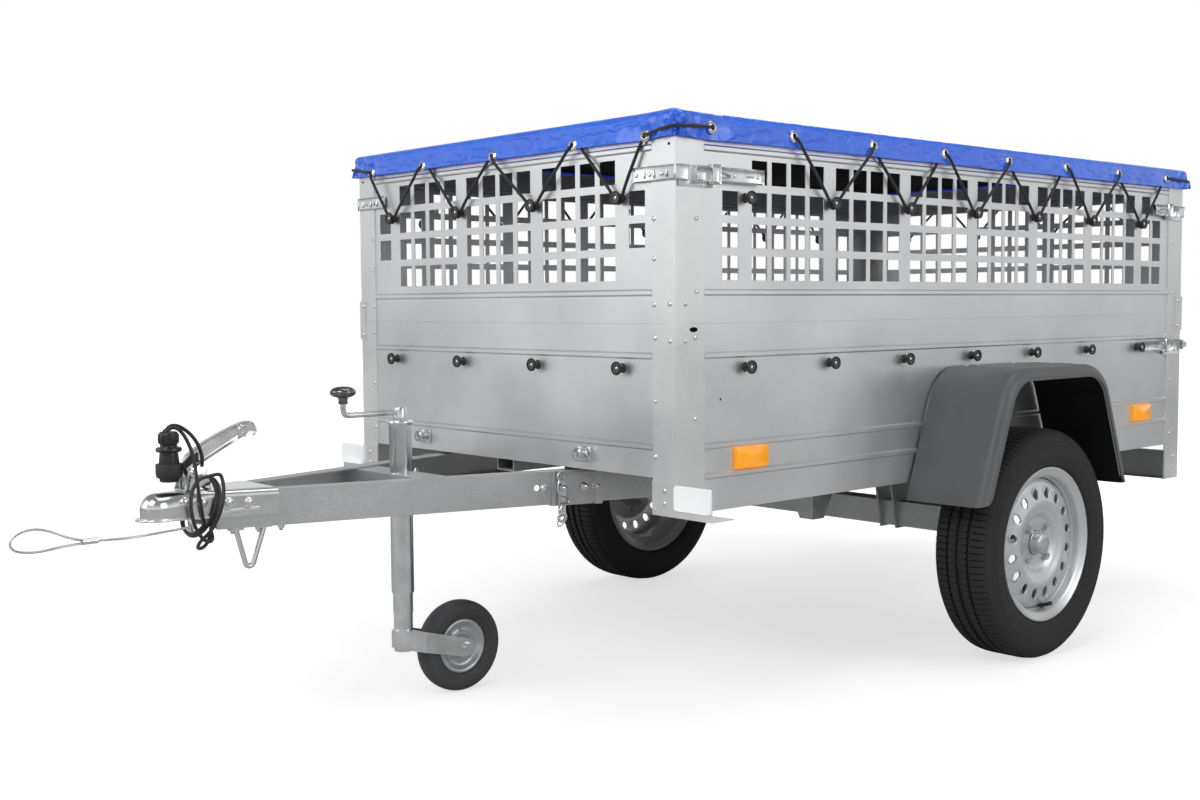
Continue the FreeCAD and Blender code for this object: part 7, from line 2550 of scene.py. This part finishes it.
@dataclass
class Lever:
    """Chrome lever of the coupling between its two cheeks."""

    back: float = 0.100
    base: float = 0.5016
    half: float = 0.013
    cheek: float = 0.021
    sheet: float = 0.003

    def side_view(self, points: Sequence[tuple[float, float]], y: float) -> list[Point]:
        """Place an outline of millimetres from the lever's pivot line in the model."""
        return [(NOSE - self.back + x / 1000, y, self.base + z / 1000) for x, z in points]

    def build(self) -> None:
        """Make the cheeks, the pressed arm with its eye and the pin."""
        cheek = [(-38, 0), (16, 0), (13, 12), (9, 22), (7, 40), (2, 44), (-25, 44), (-30, 40),
                 (-31, 26), (-37, 12)]
        pieces = []
        for y in (self.cheek, -self.cheek - self.sheet):
            plate = Bench.prism("lever_cheek", self.side_view(cheek, y), (0, self.sheet, 0))
            pieces.append(Bench.soften(plate, 0.0008, 2))
        pivot, side = NOSE - self.back, self.cheek + self.sheet
        foot = Bench.box("lever_foot", (pivot - 0.038, -side, self.base),
                         (pivot + 0.016, side, self.base + 0.003))
        pieces.append(Bench.soften(foot, 0.0010, 2))
        x, z = pivot - 0.002, self.base + 0.034
        pieces.append(Bench.rod("lever_pin", 0.0045, (x, -side, z), (x, side, z), 20))
        for hand in (1, -1):
            pieces.append(Coupling.head((x, hand * side, z), (0, hand, 0), 0.0062))
        latch = Bench.box("lever_catch", (x - 0.010, -0.009, self.base),
                          (x + 0.006, 0.009, self.base + 0.034))
        pieces.append(Bench.soften(latch, 0.003, 3))
        arm = [(6, 24), (6, 44), (4, 54), (-2, 66), (-20, 78), (-40, 90), (-70, 104),
               (-100, 116), (-118, 122), (-128, 124), (-136, 120), (-140, 113), (-142, 105),
               (-141, 99), (-136, 95), (-124, 94), (-112, 94), (-80, 78), (-46, 60),
               (-12, 42), (-8, 34), (-8, 24)]
        handle = Bench.prism("lever_arm", self.side_view(arm, -self.half),
                             (0, 2 * self.half, 0))
        for hand in (1, -1):
            Bench.inset(handle, lambda spot, normal, hand=hand: normal.y * hand > 0.9,
                        0.0042, 0.0050)
        pieces.append(Bench.soften(handle, 0.0011, 2, 28.0))
        eye = mm((5.2, -15), (9.8, -15), (10.8, -14), (10.8, 14), (9.8, 15), (5.2, 15),
                 (5.2, -15))
        pieces.append(Bench.lathe("lever_eye", eye, 28, (pivot - 0.112, 0, self.base + 0.106),
                                  LEFT))
        finish(Bench.join("lever_set", pieces), Shade.CHROME, "drawbar", "bright_zinc",
               ("coupling_handle",))


@dataclass
class Plug:
    """Seven-pin plug parked upside down in its holder on the coupling."""

    back: float = 0.066
    low: float = 0.520

    def build(self) -> None:
        """Make the ribbed plug and the holder with its arm."""
        spot = (NOSE - self.back, 0, self.low)
        body = Bench.lathe("plug_body", mm(
            (0, 0), (16, 0), (17.8, 1.2), (18.8, 12), (18.8, 36), (17.2, 52), (16.8, 55.6),
            (22.2, 56.8), (23.8, 58.2), (23.8, 63.2), (22.4, 65), (16.4, 66), (15.6, 67.6),
            (15.6, 70.4), (16.4, 71.4), (17.4, 71.6), (18.2, 73), (18.2, 89.6), (16.8, 92.6),
            (15, 94.4), (10, 95), (0, 95)), 48, spot)
        rib = Bench.soften(Bench.box("rib", (0.0170, -0.0017, 0.0738),
                                     (0.0192, 0.0017, 0.0900)), 0.0006, 2)
        ribs = Bench.copies("plug_ribs", rib, [
            Matrix.Translation(spot) @ turn for turn in around(12, "Z")])
        ear = Bench.soften(Bench.box("ear", (0.0200, -0.0050, 0.0586),
                                     (0.0252, 0.0050, 0.0628)), 0.0012, 2)
        ears = Bench.copies("plug_ears", ear, [
            Matrix.Translation(spot) @ Matrix.Rotation(math.radians(turn), 4, "Z")
            for turn in (40, 220)])
        sleeves = [Bench.lathe("plug_sleeve", mm(
            (0, 0), (5, 0), (5.2, 1), (4.4, 4), (3.6, 4.8),
            (0, 4.8)), 20, (spot[0] + 0.004, hand * 0.0036, self.low + 0.0945))
            for hand in (1, -1)]
        finish(Bench.join("plug_set", [body, ribs, ears] + sleeves), Shade.PLASTIC,
               "drawbar", "black_plastic", ("connector_plug",))
        cup = Bench.lathe("holder_cup", mm(
            (19.3, 8), (22.2, 8), (23.6, 9.2), (25, 16), (25, 33), (24.2, 34.2), (19.3, 34.2),
            (19.3, 8)), 48, spot)
        outline = [(-18, 20), (-48, 40), (-50, 52), (-34, 48), (-18, 34)]
        arm = Bench.prism("holder_arm", [(spot[0] + x / 1000, 0.0133, self.low + z / 1000)
                                         for x, z in outline], (0, 0.0074, 0))
        Bench.soften(arm, 0.0012, 2)
        finish(Bench.join("holder_set", [cup, arm]), Shade.BUFFER, "drawbar",
               "black_plastic", ("plug_holder",))


@dataclass
class TiltLocks:
    """Hooks on the box and the straps, rings and clips that tie the drawbar to them."""

    y: float = 0.290
    z: float = 0.536
    thick: float = 0.0045

    def hooks(self) -> None:
        """Make the hooks' plates, stems and washers with a sprung clip."""
        x, y, z = BOX_FRONT - 0.003, self.y, self.z
        plate = Bench.box("hook_plate", (x, y - 0.022, 0.518), (x + 0.005, y + 0.022, 0.552))
        Bench.soften(plate, 0.0022, 3)
        stem = Bench.lathe("hook_stem", mm(
            (0, 0), (9, 0), (9, 8), (6, 8.6), (6, 20), (12.8, 20.2), (13, 21.2), (13, 25),
            (12, 26), (6.6, 26), (6, 24.5), (0, 24.5)), 32, (x, y, z), AHEAD)
        ring = Bench.wire("hook_ring", [
            (x + 0.013 + 0.004 * math.sin(turn), y + 0.013 * math.cos(turn) - 0.004,
             z + 0.012 * math.sin(turn) + 0.004)
            for turn in [math.pi * step / 8 for step in range(17)]], 0.0014)
        clip = Bench.wire("hook_clip", [
            (x + 0.017, y + 0.010, z + 0.006), (x + 0.016, y + 0.022, z + 0.004),
            (x + 0.015, y + 0.030, z - 0.004), (x + 0.014, y + 0.026, z - 0.012),
            (x + 0.014, y + 0.016, z - 0.010), (x + 0.013, y + 0.006, z - 0.014)], 0.0014)
        pieces = Bench.join("hook_set", [plate, stem, ring, clip])
        finish(Bench.mirror_y(pieces), Shade.ZINC, "box", "bright_zinc",
               ("tilt_lock_hooks",))

    def straps(self) -> None:
        """Make the straps with their eyes, bolts, spring clips and hanging rings."""
        low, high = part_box("tilt_lock_straps")
        middle, face, thick = (low[0] + high[0]) / 2, high[1] - 0.006, self.thick
        strap = Bench.box("strap", (middle - 0.0095, face - 0.0085, 0.402),
                          (middle + 0.0095, face - 0.0085 + thick, 0.480))
        Bench.inset(strap, lambda spot, normal: normal.y > 0.9, 0.0030, 0.0012)
        Bench.soften(strap, 0.0012, 2)
        eye = [(0.0070, -thick / 2), (0.0118, -thick / 2), (0.0128, 0.0),
               (0.0118, thick / 2), (0.0070, thick / 2), (0.0062, 0.0), (0.0070, -thick / 2)]
        side = face - 0.0085 + thick / 2
        pieces = [strap]
        for place in (0.486, 0.400):
            pieces.append(Bench.lathe("strap_eye", eye, 28, (middle, side, place), LEFT))
        pieces.append(Coupling.head((middle, side + thick / 2, 0.462), LEFT, 0.0070,
                                      True))
        out = side + thick / 2 + 0.0025
        clip = [(middle + 0.012, out, 0.446), (middle + 0.001, out + 0.002, 0.444),
                (middle - 0.012, out + 0.002, 0.441), (middle - 0.017, out, 0.434),
                (middle - 0.012, out, 0.427), (middle - 0.002, out + 0.001, 0.431),
                (middle + 0.006, out + 0.001, 0.424), (middle + 0.010, out, 0.416)]
        pieces.append(Bench.wire("strap_clip", clip, 0.0014))
        ring = [(middle + 0.002 + 0.010 * math.sin(turn), side + 0.005 * math.cos(turn),
                 0.392 + 0.012 * math.cos(turn))
                for turn in [math.pi * step / 8 for step in range(17)]]
        pieces.append(Bench.wire("strap_ring", ring, 0.0013))
        hook = [(middle + 0.011, out, 0.478), (middle + 0.016, out + 0.001, 0.470),
                (middle + 0.017, out, 0.456), (middle + 0.012, out, 0.450),
                (middle + 0.008, out, 0.456)]
        pieces.append(Bench.wire("strap_hook", hook, 0.0013))
        finish(Bench.mirror_y(Bench.join("strap_set", pieces)), Shade.ZINC, "drawbar",
               "bright_zinc", ("tilt_lock_straps",))

    def build(self) -> None:
        """Make the hooks and the straps."""
        self.hooks()
        self.straps()


@dataclass
class Crank:
    """Jack crank: head, bent rod and turned dark chrome knob."""

    foot: float = 0.6063
    reach: float = 0.138

    def build(self) -> None:
        """Make the crank that stands for its plain solid."""
        x, z = JACK_X, self.foot
        head = Bench.lathe("crank_head", mm(
            (0, 0), (12.8, 0), (14, 1.4), (14, 24), (12.6, 26.2), (8.4, 27),
            (0, 27)), 32, (x, 0, z))
        arm_z = z + 0.016
        end = x + self.reach
        rod = Bench.wire("crank_rod", [
            (x, 0, arm_z), (x + 0.03, 0, arm_z), (end - 0.030, 0, arm_z),
            (end - 0.012, 0, arm_z), (end - 0.0015, 0, arm_z + 0.0015),
            (end, 0, arm_z + 0.012), (end, 0, arm_z + 0.020), (end, 0, arm_z + 0.030)],
            0.0058, 4)
        finish(Bench.join("crank_set", [head, rod]), Shade.ZINC, "drawbar", "bright_zinc",
               ("jack_crank",))
        low = arm_z + 0.024
        knob = Bench.lathe("crank_knob", mm(
            (0, 0), (9.4, 0), (9.8, 3), (9, 9), (11, 13), (19, 15.5), (25, 19), (27, 23.5),
            (26.2, 28), (21.5, 32.5), (13, 35.8), (0, 36.8)), 40, (end, 0, low))
        finish(knob, Shade.KNOB_STEEL, "drawbar", "bright_zinc")


@dataclass
class RearEnd:
    """Rear lamps with their three lenses, triangular reflectors and buffers."""

    lamp_y: float = 0.402
    lamp_wide: float = 0.190
    middle: float = 0.374

    def build(self) -> None:
        """Make the rear lamps, the triangular reflectors and the buffers."""
        face = BOX_REAR + 0.055
        half, high = self.lamp_wide / 2, 0.037
        base = Bench.box("lamp_base", (face - 0.012, self.lamp_y - half, self.middle - high),
                         (face, self.lamp_y + half, self.middle + high))
        finish(Bench.mirror_y(Bench.soften(base, 0.003, 3)), Shade.PLASTIC, "box",
               "black_plastic")
        splits = ((-half + 0.002, -0.012, Shade.RED, "red_lens"),
                  (-0.011, half - 0.052, Shade.WHITE, "white_reflector"),
                  (half - 0.051, half - 0.002, Shade.AMBER, "amber_reflector"))
        for index, (left, right, shade, slot) in enumerate(splits):
            lens = Bench.box("lamp_lens_%d" % index,
                             (face - 0.030, self.lamp_y + left, self.middle - high + 0.002),
                             (face - 0.011, self.lamp_y + right, self.middle + high - 0.002))
            Bench.inset(lens, lambda spot, normal: normal.x < -0.9, 0.0040, -0.0008)
            Bench.soften(lens, 0.0030, 3)
            finish(Bench.mirror_y(lens), shade, "box", slot,
                   ("rear_lamps",) if index == 0 else ())
        rise = 0.150 * math.sqrt(3) / 2
        outline = [(face, 0.210 - 0.075, self.middle - rise / 2),
                   (face, 0.210 + 0.075, self.middle - rise / 2),
                   (face, 0.210, self.middle + rise / 2)]
        tri = Bench.prism("triangle", outline, (-0.006, 0, 0))
        Bench.inset(tri, lambda spot, normal: normal.x < -0.9, 0.024, 0.0)
        Bench.inset(tri, lambda spot, normal: normal.x < -0.9
                    and abs(spot.z - self.middle) < rise and spot.x < face - 0.0059, 0.003,
                    0.0015)
        finish(Bench.mirror_y(Bench.soften(tri, 0.0015, 2)), Shade.RED, "box", "red_lens")
        buffer = Bench.lathe("buffer", mm(
            (0, 0), (14, 0), (14, 8), (12.8, 11.2), (10, 12.8), (5, 13), (4.4, 10),
            (0, 10)), 32,
            (BOX_REAR, HALF - 0.021, 0.347), (-1, 0, 0))
        finish(Bench.mirror_y(buffer), Shade.BUFFER, "box", "black_rubber",
               ("rear_buffers",))


@dataclass
class FrameBolts:
    """Bolts and nuts of the drawbar's arms."""

    stand: float = 0.0003
    plate: float = 0.0036
    foot_z: float = 0.4268
    rows: tuple[float, ...] = (0.676, 0.628, 0.586)

    def spots(self) -> list[tuple[Point, Point, float, bool]]:
        """List the bolts.

        Returns:
            Foot, direction, head radius and whether it is a nut, for each bolt.
        """
        found = []
        for hand in (1, -1):
            for x in (BOX_FRONT + ahead for ahead in self.rows):
                found.append(((x, hand * (arm_face(x) - 0.016), self.foot_z), (0, 0, -1),
                              0.0065, True))
            x = BOX_FRONT + 0.060
            found.append(((x, hand * (arm_face(x) + self.stand), 0.463), (0, hand, 0), 0.0085,
                          False))
            for x in (BOX_FRONT - back for back in (0.028, 0.052)):
                found.append(((x, hand * (arm_face(x) + self.plate), 0.462), (0, hand, 0),
                              0.0075, True))
        return found

    def build(self) -> None:
        """Make the bolts."""
        pieces = [Coupling.head(*bolt) for bolt in self.spots()]
        finish(Bench.join("bolts_drawbar", pieces), Shade.BOLT, "drawbar", "bright_zinc")


def main() -> None:
    """Build the studio and each sub-assembly in order."""
    logging.basicConfig(level=logging.INFO, format="%(message)s")
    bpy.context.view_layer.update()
    Studio().build()
    dress_frame()
    for assembly in (Leads(), Cover(), Lacing(), Knobs(), Latches(), BoxTrim(), Wheel(),
                     JockeyWheel(), Coupling(), Jack(), Lever(), Plug(), TiltLocks(),
                     Crank(), RearEnd(), FrameBolts(), Mudguard(), Housing()):
        assembly.build()


if __name__ == "__main__":
    main()
